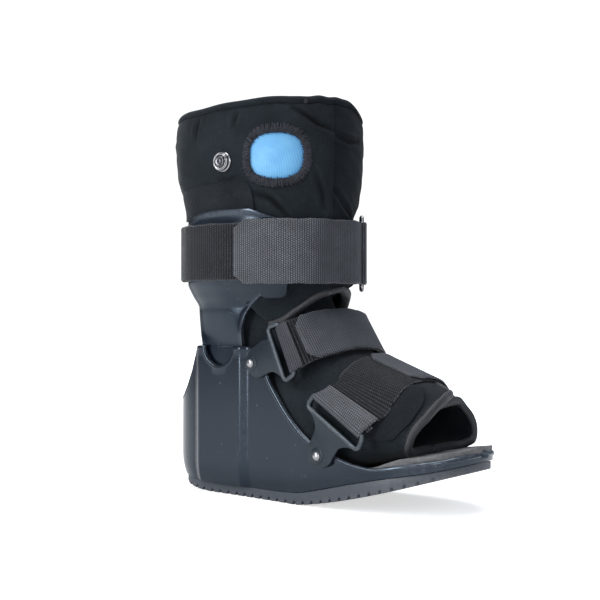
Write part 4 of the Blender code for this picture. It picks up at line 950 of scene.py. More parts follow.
    def knit(self, name: str) -> bpy.types.NodeTree:
        """Brushed knit: fine loops under a short soft pile, with lint."""
        desk, given, result = self.blank(
            name, {"Place": ("Vector", None), "Loop": ("Float", 1500.0)},
            {"Height": "Float", "Pile": "Float", "Lint": "Float"})
        place = given.outputs["Place"]
        cells = desk.add("TexVoronoi", Vector=place, Scale=given.outputs["Loop"])
        loops = cells.outputs["Distance"]
        pile = desk.noise(place, 420.0, 4.0, 0.7)
        nap = desk.noise(place, 26.0, 4.0, 0.6)
        height = desk.math("MULTIPLY_ADD", loops, 0.5, desk.times(pile, 0.8))
        desk.put(result.inputs["Height"], height)
        desk.put(result.inputs["Pile"], desk.math("MULTIPLY_ADD", nap, 0.6,
                                                   desk.times(pile, 0.4)))
        thin = desk.add("Mapping", Vector=place, Rotation=(0.3, 0.8, 0.4),
                        Scale=(500.0, 90.0, 500.0)).outputs[0]
        lint = desk.ramp(desk.noise(thin, 1.0, 1.0, 0.5), 0.79, 0.82)
        desk.put(result.inputs["Lint"], lint)
        return desk.tree


@dataclass(frozen=True)
class Finish:
    """What every finish has: its name, its main colour and how rough it is."""

    name: str
    colour: tuple[float, float, float]
    roughness: float

    def start(self) -> tuple[bpy.types.Material, NodeDesk, bpy.types.Node]:
        """Material with its shader and nothing joined to it."""
        material = bpy.data.materials.new(self.name)
        material.use_nodes = True
        shader = material.node_tree.nodes["Principled BSDF"]
        self.fix(shader, Base_Color=(*self.colour, 1.0), Roughness=self.roughness)
        return material, NodeDesk(material.node_tree), shader

    @staticmethod
    def fix(shader: bpy.types.Node, **values: object) -> None:
        """Sets inputs of the shader, underscores standing for the spaces in their names."""
        for key, value in values.items():
            shader.inputs[key.replace("_", " ")].default_value = value

    def bump(self, desk: NodeDesk, shader: bpy.types.Node, height: bpy.types.NodeSocket,
             distance: float, strength: float = 1.0) -> None:
        """Raises the surface by a height that is brought to a distance in metres."""
        node = desk.add("Bump", Strength=strength, Distance=distance, Height=height)
        desk.put(shader.inputs["Normal"], node.outputs[0])


@dataclass(frozen=True)
class PlasticFinish(Finish):
    """Moulded plastic with grain, scuffs, dust and rubbed edges."""

    # Pale colour of rubbed wear and scratches; on the shell's front ramp also of a painted
    # highlight.
    worn: tuple[float, float, float] = (0.30, 0.32, 0.35)
    warm: tuple[float, float, float] = (0.050, 0.046, 0.046)
    dust: float = 0.5
    coat: float = 0.25
    tint: tuple[float, float, float] = (0.62, 0.80, 1.0)
    speck: tuple[float, float, float] = (0.40, 0.39, 0.37)
    grain_size: float = 1100.0
    grain_depth: float = 0.00003

    def make(self, shelf: EffectShelf) -> bpy.types.Material:
        """Builds the material.

        Args:
            shelf: The shared effects.

        Returns:
            The material.
        """
        material, desk, shader = self.start()
        place = desk.add("TexCoord").outputs["Object"]
        grain = desk.group(shelf.trees[Effect.GRAIN], Place=place, Size=self.grain_size)
        scuffs = desk.group(shelf.trees[Effect.SCUFFS], Place=place, Dust=self.dust)
        wear = desk.group(shelf.trees[Effect.WEAR], Place=place, Amount=1.0).outputs["Mask"]
        cloud = grain.outputs["Cloud"]
        colour = desk.blend(desk.ramp(cloud, 0.35, 0.70), self.colour, self.warm)
        colour = desk.blend(desk.times(scuffs.outputs["Rub"], 0.10), colour, self.worn)
        colour = desk.blend(desk.times(scuffs.outputs["Scratch"], 0.35), colour, self.worn)
        colour = desk.blend(wear, colour, self.worn)
        colour = desk.blend(desk.times(scuffs.outputs["Speck"], 0.6), colour, self.speck)
        desk.put(shader.inputs["Base Color"], colour)
        rough = desk.math("MULTIPLY_ADD", cloud, 0.16, self.roughness - 0.08)
        rough = desk.math("MULTIPLY_ADD", scuffs.outputs["Rub"], 0.10, rough)
        rough = desk.math("MULTIPLY_ADD", scuffs.outputs["Scratch"], 0.15, rough)
        desk.put(shader.inputs["Roughness"], desk.math("MINIMUM", rough, 1.0))
        self.fix(shader, Coat_Weight=self.coat, Coat_Roughness=0.16,
                 Specular_Tint=(*self.tint, 1.0))
        height = desk.math("SUBTRACT", grain.outputs["Height"], scuffs.outputs["Scratch"])
        self.bump(desk, shader, height, self.grain_depth)
        return material


@dataclass(frozen=True)
class RubberFinish(Finish):
    """Matte moulded rubber, dusty where it was rubbed."""

    dusty: tuple[float, float, float] = (0.13, 0.13, 0.135)

    def make(self, shelf: EffectShelf) -> bpy.types.Material:
        """Builds the material.

        Args:
            shelf: The shared effects.

        Returns:
            The material.
        """
        material, desk, shader = self.start()
        place = desk.add("TexCoord").outputs["Object"]
        grain = desk.group(shelf.trees[Effect.GRAIN], Place=place, Size=1500.0)
        scuffs = desk.group(shelf.trees[Effect.SCUFFS], Place=place, Dust=1.2)
        wear = desk.group(shelf.trees[Effect.WEAR], Place=place, Amount=0.8).outputs["Mask"]
        share = desk.times(scuffs.outputs["Rub"], 0.35)
        share = desk.math("MAXIMUM", share, wear)
        colour = desk.blend(share, self.colour, self.dusty)
        colour = desk.blend(desk.times(scuffs.outputs["Speck"], 0.5), colour, (0.30, 0.29, 0.27))
        desk.put(shader.inputs["Base Color"], colour)
        rough = desk.math("MULTIPLY_ADD", grain.outputs["Cloud"], 0.2, self.roughness - 0.1)
        desk.put(shader.inputs["Roughness"], rough)
        self.bump(desk, shader, grain.outputs["Height"], 0.00008)
        return material


@dataclass(frozen=True)
class WebbingFinish(Finish):
    """Woven strap: ribs across it, flecks of another yarn, painted shade in the valleys between
    ribs, and a sheen along the yarn.
    """

    # Colour of the painted shade in the weave's valleys.
    valley: tuple[float, float, float] = (0.003, 0.003, 0.0035)
    fleck: tuple[float, float, float] = (0.055, 0.055, 0.060)
    flecks: float = 0.10
    rib: float = 0.0025
    thread: float = 0.0016
    stagger: float = 0.5
    # Pale colour of rubbed wear, and on the straps' selvedges of a painted highlight.
    worn: tuple[float, float, float] = (0.15, 0.155, 0.17)
    depth: float = 0.00070
    sheen: float = 0.05
    specular: float = 0.18

    def make(self, shelf: EffectShelf) -> bpy.types.Material:
        """Builds the material.

        Args:
            shelf: The shared effects.

        Returns:
            The material.
        """
        material, desk, shader = self.start()
        coords = desk.add("TexCoord")
        chart, place = coords.outputs["UV"], coords.outputs["Object"]
        weave = desk.group(shelf.trees[Effect.WEAVE], Chart=chart, Rib=self.rib,
                           Thread=self.thread, Stagger=self.stagger)
        tone = desk.noise(place, 70.0, 4.0, 0.6)
        light = tuple(1.55 * c for c in self.colour)
        colour = desk.blend(desk.ramp(tone, 0.35, 0.7), self.colour, light)
        fleck = desk.ramp(weave.outputs["Fleck"], 1.0 - self.flecks, 1.0 - self.flecks * 0.4)
        colour = desk.blend(fleck, colour, self.fleck)
        # Painted shade: the weave's valleys drawn in the dark valley colour.
        colour = desk.blend(weave.outputs["Valley"], colour, self.valley)
        # Paler where the wear attribute says: rubbed wear, and on straps a painted highlight along
        # the selvedges.
        wear = desk.group(shelf.trees[Effect.WEAR], Place=place, Amount=0.6).outputs["Mask"]
        colour = desk.blend(wear, colour, self.worn)
        desk.put(shader.inputs["Base Color"], colour)
        rough = desk.math("MULTIPLY_ADD", tone, 0.15, self.roughness - 0.08)
        desk.put(shader.inputs["Roughness"], rough)
        self.fix(shader, Sheen_Weight=self.sheen, Sheen_Roughness=0.4,
                 Specular_IOR_Level=self.specular)
        fuzz = desk.noise(place, 1800.0, 2.0, 0.6)
        height = desk.math("MULTIPLY_ADD", fuzz, 0.12, weave.outputs["Height"])
        self.bump(desk, shader, height, self.depth)
        return material


@dataclass(frozen=True)
class KnitFinish(Finish):
    """Padded liner cloth: brushed knit with a soft nap and a little lint, and painted shade where
    the piece's fold attribute marks creases.
    """

    nap: tuple[float, float, float] = (0.022, 0.024, 0.027)
    lint: tuple[float, float, float] = (0.16, 0.155, 0.15)
    loop: float = 1500.0
    depth: float = 0.0002
    sheen: float = 0.04
    specular: float = 0.10
    lint_share: float = 0.20

    def make(self, shelf: EffectShelf) -> bpy.types.Material:
        """Builds the material.

        Args:
            shelf: The shared effects.

        Returns:
            The material.
        """
        material, desk, shader = self.start()
        place = desk.add("TexCoord").outputs["Object"]
        knit = desk.group(shelf.trees[Effect.KNIT], Place=place, Loop=self.loop)
        colour = desk.blend(desk.ramp(knit.outputs["Pile"], 0.35, 0.68), self.colour, self.nap)
        wear = desk.group(shelf.trees[Effect.WEAR], Place=place, Amount=0.7).outputs["Mask"]
        colour = desk.blend(wear, colour, tuple(2.4 * c for c in self.nap))
        share = desk.times(knit.outputs["Lint"], self.lint_share)
        colour = desk.blend(share, colour, self.lint)
        # Painted shade in creases, along the collar's seam and at the lap's corner, from the fold
        # attribute.
        folded = desk.add("Attribute", {"attribute_name": "fold"}).outputs["Fac"]
        colour = desk.blend(folded, colour, tuple(0.12 * c for c in self.colour))
        desk.put(shader.inputs["Base Color"], colour)
        rough = desk.math("MULTIPLY_ADD", knit.outputs["Pile"], 0.15, self.roughness - 0.1)
        desk.put(shader.inputs["Roughness"], rough)
        self.fix(shader, Sheen_Weight=self.sheen, Sheen_Roughness=0.5,
                 Specular_IOR_Level=self.specular)
        self.bump(desk, shader, knit.outputs["Height"], self.depth)
        return material


@dataclass(frozen=True)
class MeshFinish(Finish):
    """Stretched fine-rib mesh over the bulb, with painted shade round its edge and in the valleys
    between its ribs.
    """

    # Colour of the painted shade round the edge and in the rib valleys.
    deep: tuple[float, float, float] = (0.035, 0.19, 0.48)
    rib: float = 0.00125

    def make(self, shelf: EffectShelf) -> bpy.types.Material:
        """Builds the material.

        Args:
            shelf: The shared effects.

        Returns:
            The material.
        """
        material, desk, shader = self.start()
        coords = desk.add("TexCoord")
        place = coords.outputs["Object"]
        bend = desk.times(desk.noise(place, 60.0, 1.0, 0.4), 0.0022)
        split = desk.add("SeparateXYZ", Vector=coords.outputs["UV"])
        slant = desk.math("MULTIPLY_ADD", split.outputs[1], 0.35, split.outputs[0])
        bowed = desk.times(desk.times(split.outputs[1], split.outputs[1]), 14.0)
        across = desk.math("ADD", desk.math("ADD", slant, bowed), bend)
        ribbed = desk.add("CombineXYZ", X=across, Y=split.outputs[1])
        weave = desk.group(shelf.trees[Effect.WEAVE], Chart=ribbed.outputs[0], Rib=self.rib,
                           Thread=0.0007, Stagger=0.5)
        # Painted shade round the pillow's edge, where it dips under the ring, and in the rib
        # valleys.
        painted = desk.add("Attribute", {"attribute_name": "rim"}).outputs["Fac"]
        colour = desk.blend(painted, self.colour, self.deep)
        shade = desk.times(weave.outputs["Valley"], 0.42)
        colour = desk.blend(shade, colour, self.deep)
        pale = desk.ramp(desk.noise(place, 45.0, 3.0, 0.6), 0.45, 0.75, 0.0, 0.30)
        colour = desk.blend(pale, colour, (0.24, 0.50, 0.68))
        desk.put(shader.inputs["Base Color"], colour)
        rough = desk.math("MULTIPLY_ADD", weave.outputs["Fleck"], 0.1, self.roughness)
        desk.put(shader.inputs["Roughness"], rough)
        self.fix(shader, Sheen_Weight=0.2)
        self.bump(desk, shader, weave.outputs["Height"], 0.00016)
        return material


@dataclass(frozen=True)
class MetalFinish(Finish):
    """Bright plate with brushing, fine tarnish and grime."""

    grime: tuple[float, float, float] = (0.10, 0.095, 0.09)
    tarnish: float = 0.35

    def make(self, shelf: EffectShelf) -> bpy.types.Material:
        """Builds the material.

        Args:
            shelf: The shared effects.

        Returns:
            The material.
        """
        material, desk, shader = self.start()
        place = desk.add("TexCoord").outputs["Object"]
        spots = desk.ramp(desk.noise(place, 420.0, 5.0, 0.7), 0.50, 0.72)
        share = desk.times(spots, self.tarnish)
        desk.put(shader.inputs["Base Color"], desk.blend(share, self.colour, self.grime))
        self.fix(shader, Metallic=1.0)
        fine = desk.noise(desk.stretch(place, 1.0, 1.0, 6.0), 900.0, 2.0, 0.6)
        rough = desk.math("MULTIPLY_ADD", fine, 0.18, self.roughness - 0.06)
        desk.put(shader.inputs["Roughness"], desk.math("MULTIPLY_ADD", share, 0.3, rough))
        self.bump(desk, shader, fine, 0.00001)
        return material


@dataclass(frozen=True)
class FloorFinish(Finish):
    """Pale matte floor with the faintest unevenness, and a painted glow seen only by the camera,
    weaker near the boot so the floor round it is drawn darker.
    """

    glow: float = 0.62

    def make(self, shelf: EffectShelf) -> bpy.types.Material:
        """Builds the material.

        Args:
            shelf: The shared effects.

        Returns:
            The material.
        """
        material, desk, shader = self.start()
        place = desk.add("TexCoord").outputs["Object"]
        tone = desk.noise(place, 3.0, 3.0, 0.6)
        darker = tuple(0.985 * c for c in self.colour)
        desk.put(shader.inputs["Base Color"], desk.blend(tone, self.colour, darker))
        desk.put(shader.inputs["Roughness"], desk.math("MULTIPLY_ADD", tone, 0.1, self.roughness))
        self.fix(shader, Specular_IOR_Level=0.1)
        # Painted glow for camera rays: full far off, weaker closer than 1.1 m to the boot's middle,
        # which paints the floor darker round it.
        glow = desk.add("Emission", Color=(1.0, 1.0, 1.0))
        seen = desk.add("LightPath").outputs["Is Camera Ray"]
        away = desk.add("VectorMath", {"operation": "LENGTH"})
        desk.put(away.inputs[0], place)
        painted_glow = desk.ramp(away.outputs["Value"], 0.30, 1.10, self.glow, 1.05)
        desk.put(glow.inputs["Strength"], desk.times(seen, painted_glow))
        both = desk.add("AddShader")
        desk.put(both.inputs[0], shader.outputs[0])
        desk.put(both.inputs[1], glow.outputs[0])
        desk.put(material.node_tree.nodes["Material Output"].inputs["Surface"], both.outputs[0])
        return material


class Wardrobe:
    """Every finish of the boot, made once, and the way a piece is dressed."""

    def __init__(self) -> None:
        """Makes all the materials."""
        shelf = EffectShelf()
        finishes = (
            PlasticFinish("shell_plastic", (0.0020, 0.0036, 0.0078), 0.19, dust=0.3, coat=0.12,
                          warm=(0.0055, 0.0065, 0.0095), worn=(0.13, 0.15, 0.18)),
            PlasticFinish("bracket_plastic", (0.004, 0.0065, 0.0100), 0.36, dust=0.15, coat=0.05,
                          warm=(0.007, 0.009, 0.012), worn=(0.14, 0.15, 0.165), grain_depth=0.00005,
                          tint=(0.75, 0.90, 1.0)),
            PlasticFinish("keeper_plastic", (0.010, 0.0105, 0.012), 0.50, dust=0.1, coat=0.0,
                          warm=(0.012, 0.012, 0.0125), worn=(0.08, 0.085, 0.09)),
            RubberFinish("black_rubber", (0.036, 0.043, 0.056), 0.50, dusty=(0.11, 0.115, 0.125)),
            KnitFinish("insole_foam", (0.090, 0.090, 0.092), 0.90, nap=(0.20, 0.20, 0.205),
                       loop=900.0, depth=0.0003, lint=(0.40, 0.39, 0.38)),
            KnitFinish("liner_fabric", (0.0058, 0.0082, 0.0108), 0.92,
                       nap=(0.0125, 0.0165, 0.0205)),
            WebbingFinish("binding_tape", (0.022, 0.024, 0.030), 0.45, flecks=0.02, rib=0.0007,
                          thread=0.0007, valley=(0.008, 0.009, 0.011), depth=0.00012, sheen=0.08,
                          specular=0.5),
            KnitFinish("loop_fabric", (0.0062, 0.0080, 0.0102), 0.96, nap=(0.0140, 0.0172, 0.0212),
                       loop=800.0, depth=0.0006, lint=(0.10, 0.085, 0.08)),
            WebbingFinish("black_webbing", (0.022, 0.0240, 0.0310), 0.62,
                          valley=(0.0006, 0.0006, 0.0010), fleck=(0.042, 0.043, 0.050)),
            WebbingFinish("grey_webbing", (0.068, 0.074, 0.087), 0.48, valley=(0.010, 0.012, 0.015),
                          fleck=(0.10, 0.10, 0.11), flecks=0.03, rib=0.00177, thread=0.0017,
                          depth=0.00030, sheen=0.05, specular=0.35),
            # Darker copy of the grey webbing, drawn on the ankle strap's fold round its bar.
            WebbingFinish("fold_webbing", (0.030, 0.033, 0.043), 0.55, valley=(0.010, 0.011, 0.014),
                          fleck=(0.05, 0.05, 0.06), flecks=0.03, rib=0.0017, thread=0.0017,
                          depth=0.00025, sheen=0.05, specular=0.30),
            MeshFinish("bulb_blue", (0.125, 0.36, 0.58), 0.62, rib=0.0020),
            MetalFinish("bright_metal", (0.36, 0.36, 0.37), 0.28),
            MetalFinish("dark_nickel", (0.10, 0.10, 0.11), 0.24),
            FloorFinish("pale_floor", (0.86, 0.865, 0.87), 0.75),
            KnitFinish("seam_thread", (0.009, 0.010, 0.014), 0.80, nap=(0.030, 0.033, 0.043),
                       loop=2500.0, depth=0.0001, specular=0.3, lint_share=0.0),
        )
        self.materials = {finish.name: finish.make(shelf) for finish in finishes}

    def dress(self, piece: bpy.types.Object, finish: str, *nodes: str, slot: str = "",
              body: str = BODY) -> bpy.types.Object:
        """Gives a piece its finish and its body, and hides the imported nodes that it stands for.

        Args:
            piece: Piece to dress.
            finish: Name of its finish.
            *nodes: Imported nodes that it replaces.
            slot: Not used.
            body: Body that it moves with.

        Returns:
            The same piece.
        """
        piece.data.materials.clear()
        piece.data.materials.append(self.materials[finish])
        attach(piece, body)
        slot or finish
        if nodes:
            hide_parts(*nodes)
        LOG.info("%s: %d faces", piece.name, len(piece.data.polygons))
        return piece


@dataclass
class Sole:
    """Rocker outsole with its tread, and the foam insole on the shell's floor."""

    pitch: float = 0.0090
    grooves: int = 30
    groove: float = 0.0030
    depth: float = 0.0024
    inset: float = 0.0034
    edge: float = 0.0007
    toe_inset: float = 0.0014
    insole_inset: float = 0.0038
    insole_edge: float = 0.0016
    toe_rise: float = 0.0034
    toe_lip: float = 0.0044

    def width(self, x: float, inset: float) -> float:
        """Half width of the plan outline at x, taken in all round."""
        if inset == self.inset:
            inset -= (inset - self.toe_inset) * smooth(0.095, 0.135, x)
        inner = FORM.length / 2.0 - inset
        if abs(x) >= inner:
            return 0.0
        wide = FORM.half_width(x * FORM.length / 2.0 / inner)
        return max(0.0, wide - inset * min(1.0, wide / 0.02))

    def underside(self, x: float) -> float:
        """Height of the tread at x, its grooves cut with one steep and one slanted wall."""
        start = -(self.grooves - 1) / 2.0 * self.pitch
        near = round((x - start) / self.pitch)
        level = FORM.tread_level(x)
        if 0 <= near < self.grooves:
            away = x - (start + near * self.pitch)
            if abs(away) <= self.groove / 2.0 + 1e-9:
                cut = min(1.0, (away + self.groove / 2.0) / (self.groove * 0.30),
                          (self.groove / 2.0 - away) / (self.groove * 0.12))
                level += self.depth * max(0.0, cut)
        return level

    def block(self, name: str, stations: Iterable[float], inset: float, edge: float,
              low: Callable[[float], float], high: Callable[[float], float]) -> bpy.types.Object:
        """Closed block between two levels that follow x, within the plan outline.

        Args:
            name: Name of the piece.
            stations: X of the sections.
            inset: How far the outline is taken in.
            edge: Rounding of the long edges.
            low: Height of its underside.
            high: Height of its top.

        Returns:
            The piece.
        """
        rows = []
        for x in stations:
            wide, floor, top = self.width(x, inset), low(x), high(x)
            e = min(edge, wide * 0.5, (top - floor) * 0.45)
            flat = spread(-(wide - e), wide - e, 8)
            ring = [Vector((x, y, floor)) for y in flat]
            side = [(wide - e * 0.3, floor + e * 0.3), (wide, floor + e),
                    (wide, (floor + top) / 2.0), (wide, top - e), (wide - e * 0.3, top - e * 0.3)]
            ring += [Vector((x, y, z)) for y, z in side]
            ring += [Vector((x, y, top)) for y in reversed(flat)]
            ring += [Vector((x, -y, z)) for y, z in reversed(side)]
            rows.append(ring)
        return Bench.sheet(name, rows, closed=True)

    def build_outsole(self) -> bpy.types.Object:
        """Builds the outsole."""
        half, front = FORM.length / 2.0 - self.inset, FORM.length / 2.0 - self.toe_inset
        found = [x * (half if x < 0.0 else front) * 2.0 / FORM.length
                 for x in FORM.plan_stations(18, 40, 24)]
        start = -(self.grooves - 1) / 2.0 * self.pitch
        cut = self.groove
        for i in range(self.grooves):
            middle = start + i * self.pitch
            found += [middle + cut * s for s in (-0.62, -0.5, -0.2, 0.05, 0.38, 0.5, 0.62)]
        stations = thinned((x for x in found if -half <= x <= front), 0.00012)
        piece = self.block("rocker_outsole", stations, self.inset, self.edge, self.underside,
                           lambda x: FORM.parting_level(x) - FORM.gap)
        Bench.settle(piece, 35.0)

        def rubbed(p: Vector) -> float:
            """How worn a point is: the tread's lower edges, most of all at the toe."""
            low = 1.0 - smooth(0.0, 0.0022, p.z - FORM.tread_level(p.x))
            return 0.55 * low + 0.35 * smooth(0.06, 0.13, p.x)

        return Bench.paint(piece, "wear", rubbed)

    def build_insole(self) -> bpy.types.Object:
        """Builds the foam pad, a little ragged along its edge."""
        half = FORM.length / 2.0 - self.insole_inset
        stations = [x * half * 2.0 / FORM.length for x in FORM.plan_stations(14, 90, 30)]
        piece = self.block("foam_insole", stations, self.insole_inset, self.insole_edge,
                           lambda x: FORM.floor_level(x) + FORM.gap,
                           lambda x: FORM.insole_level(x) + self.toe_rise * smooth(0.076, 0.102, x))
        dice = random.Random(11)
        waves = [(dice.uniform(60.0, 420.0), dice.uniform(0.0, 6.0)) for _ in range(6)]

        def ragged(p: Vector) -> Vector:
            """Moves a point of the free front edge in and out, and over the rim at the toe."""
            free = smooth(0.085, 0.105, p.x)
            run = p.y + 0.6 * p.x
            shift = sum(math.sin(f * run + s) for f, s in waves) / 6.0
            low = FORM.floor_level(p.x) + FORM.gap
            lift = smooth(0.0, FORM.insole, p.z - low) * 0.0010 * free * shift
            rim = smooth(0.62, 1.0, abs(p.y) / max(0.001, self.width(p.x, self.insole_inset)))
            over = smooth(-0.0006, 0.0008, p.z + lift - FORM.rim_level(p.x))
            over *= smooth(0.100, 0.122, p.x)
            way = Vector((p.x - 0.092, 0.9 * p.y)).normalized() * (self.toe_lip * over)
            return Vector((p.x + way.x + 0.0006 * shift * free * rim, p.y + way.y, p.z + lift))

        Bench.reshape(piece, ragged)
        return Bench.settle(piece, 50.0)

    def build(self, wardrobe: Wardrobe) -> None:
        """Builds and dresses the outsole and the insole."""
        wardrobe.dress(self.build_outsole(), "black_rubber", "outsole")
        insole = wardrobe.dress(self.build_insole(), "insole_foam", "insole")


@dataclass
class Shell:
    """Moulded tub: heel cup, pockets for the struts, and a rolled rim down to the toe."""

    bead: float = 0.00225
    wall_rows: int = 16

    def stations(self) -> list[float]:
        """X of the sections, close together at the pockets, the notch and the rim's corners."""
        found = FORM.plan_stations(26, 110, 44)
        for share in (FORM.pocket_rear, FORM.pocket_front):
            found += [FORM.along(share) + s * FORM.pocket_ramp / 10.0 for s in range(-7, 8)]
        notch = FORM.along((FORM.pocket_rear + FORM.pocket_front) / 2.0)
        found += [notch + FORM.notch_radius * math.sin(math.radians(a)) for a in range(-90, 91, 6)]
        found += [FORM.along(s) for s in spread(0.110, 0.162, 12)]
        found += [FORM.along(s) for s in spread(0.396, 0.440, 14)]
        kept = thinned(found, 0.00018)
        kept[-1] = FORM.length / 2.0
        return kept

    def section(self, x: float) -> list[Vector]:
        """Near section from the bottom's middle out, up, over the rim and back inside."""
        wall, base, rim = FORM.shell_wall, FORM.parting_level(x), FORM.rim_level(x)
        step = 0.0004
        end = FORM.length / 2.0 - 0.0012
        spot = max(-end, min(end, x))
        slope = (FORM.rim_level(spot + step) - FORM.rim_level(spot - step)) / (2.0 * step)
        slope = max(-6.0, min(6.0, slope))
        lean = Vector((-slope, 1.0)).normalized()
        top_start = rim - self.bead * 1.9
        knee = min(FORM.tuck_height, 0.8 * (top_start - base))

        def skin(z: float, inward: float, shift: float = 0.0) -> Vector:
            """Point of the wall at a height, taken inward from its outer face."""
            out = FORM.pocket_bulge(x) - FORM.tuck(x, z) - inward
            point = FORM.plan_point(x, out)
            return Vector((point.x + shift, point.y, z))

        low = skin(base, 0.0)
        low.z = FORM.parting_level(low.x)
        found = [Vector((low.x, low.y * s, low.z)) for s in (0.0, 0.4, 0.8)]
        found.append(Vector((low.x, low.y, low.z)))
        found += [skin(base + knee * s, 0.0) for s in (0.06, 0.2, 0.4, 0.65, 1.0)]
        floor = base + wall
        rows = spread(base + knee, top_start, self.wall_rows)[1:]
        found += [skin(z, 0.0) for z in rows]
        for turn in (-40, -12, 15, 40, 65, 90, 115, 140, 165, 192, 220):
            a = math.radians(turn)
            rise = self.bead * (math.sin(a) - 1.0)
            inward = wall / 2.0 - self.bead * math.cos(a)
            z = rim + lean.y * rise
            found.append(skin(z if turn < 100 else max(z, floor + 0.001), inward, lean.x * rise))
        high = max(top_start, floor + 0.001)
        low_end = min(high, max(floor + 0.001, base + knee))
        found += [skin(z, wall) for z in spread(high, low_end, 5)]
        found.append(skin(floor + 0.0008, wall))
        inner = skin(floor, wall + 0.0008)
        inner.z = FORM.parting_level(inner.x) + wall
        found += [Vector((inner.x, inner.y * s, inner.z)) for s in (1.0, 0.8, 0.4, 0.0)]
        return found

    def build(self, wardrobe: Wardrobe) -> None:
        """Builds and dresses the shell."""
        near = [self.section(x) for x in self.stations()]
        far = [[Vector((p.x, -p.y, p.z)) for p in row] for row in reversed(near[1:-1])]
        piece = Bench.sheet("moulded_shell", near + far, around=True)
        Bench.settle(piece, 50.0)

        def rubbed(p: Vector) -> float:
            """How worn a point is: the rim, and most of all the rim round the toe. The streak down
            the pocket's front ramp is partly rubbed wear and partly a painted highlight.
            """
            away = FORM.rim_level(p.x) - p.z
            rim = 1.0 - smooth(0.0008, 0.0032, away)
            toe = smooth(FORM.along(0.78), FORM.along(0.90), p.x)
            front = smooth(FORM.along(0.42), FORM.along(0.47), p.x)
            # Pale streak down the pocket's front ramp: rubbed wear and a painted highlight.
            ramp = hump(FORM.along(FORM.pocket_front), 0.0055, p.x) * smooth(0.020, 0.034, p.z)
            ramp *= 1.0 - smooth(0.100, 0.116, p.z)
            return rim * (0.05 + 0.22 * front + 0.10 * toe) + 0.16 * toe + 0.10 * ramp

        Bench.paint(piece, "wear", rubbed)
        wardrobe.dress(piece, "shell_plastic", "base_shell")


@dataclass
class Struts:
    """Upright panels in the shell's pockets, flared into wings round the calf."""

    rim_width: float = 0.0042
    rim_rise: float = 0.0005
    rows: int = 96
    columns: int = 40

    def build_near(self) -> bpy.types.Object:
        """Builds the near strut, its edges turned out in a low flange."""
        top = FORM.strut_top
        table = FORM.strut_table
        grid = []
        for r in range(self.rows + 1):
            share = 0.2 + 0.8 * r / self.rows
            rear = FORM.along(curve_through(table, share, 1))
            front = FORM.along(curve_through(table, share, 2))
            line = []
            for c in range(self.columns + 1):
                u = c / self.columns
                u -= 0.06 * math.sin(2.0 * math.pi * u)
                crown = curve_through(FORM.crown_table, u)
                z = top * share * (1.0 + (crown - 1.0) * smooth(0.80, 1.0, share))
                x = rear + u * (front - rear)
                line.append((x, max(z, FORM.strut_foot), u, share, front - rear))
            grid.append(line)
        rows = []
        for line in grid:
            row = []
            for x, z, u, share, wide in line:
                point = FORM.strut_point(x, z)
                across = FORM.strut_point(x + 0.0005, z) - point
                up = FORM.strut_point(x, z + 0.0005) - point
                out = across.cross(up).normalized()
                if out.y > 0.0:
                    out.negate()
                edge = min(u * wide, (1.0 - u) * wide, (1.0 - share) * top)
                flange = 1.0 - smooth(self.rim_width * 0.55, self.rim_width, edge)
                high = smooth(FORM.shell_side - 0.004, FORM.shell_side + 0.010, z)
                free = smooth(0.023, 0.027, abs(z - FORM.strap_height))
                row.append(point + out * (self.rim_rise * flange * high * free))
            rows.append(row)
        piece = Bench.sheet("wing_strut_near", rows)
        Bench.face(piece, lambda p: Vector((0.0, -1.0, 0.0)))
        Bench.apply(piece, "SOLIDIFY", thickness=FORM.strut_wall, offset=-1.0,
                    use_even_offset=False)
        Bench.apply(piece, "BEVEL", width=0.0008, segments=3, limit_method="ANGLE",
                    angle_limit=math.radians(50.0))
        Bench.settle(piece, 45.0)

        def rubbed(p: Vector) -> float:
            """How worn a point is: the flange along the front and the top."""
            share = p.z / top
            front = FORM.along(curve_through(table, share, 2))
            near = 1.0 - smooth(0.0006, 0.0030, front - p.x)
            high = 1.0 - smooth(0.0005, 0.0025, top * 0.985 - p.z)
            return 0.22 * max(near, high)

        return Bench.paint(piece, "wear", rubbed)

    def build(self, wardrobe: Wardrobe) -> None:
        """Builds and dresses both struts."""
        near = self.build_near()
        far = Bench.mirror(near, "wing_strut_far")
        wardrobe.dress(near, "shell_plastic", "strut_near")
        wardrobe.dress(far, "shell_plastic", "strut_far")


class Side(Enum):
    """The two sides of the boot, by the sign of Y on them."""

    NEAR = -1
    FAR = 1


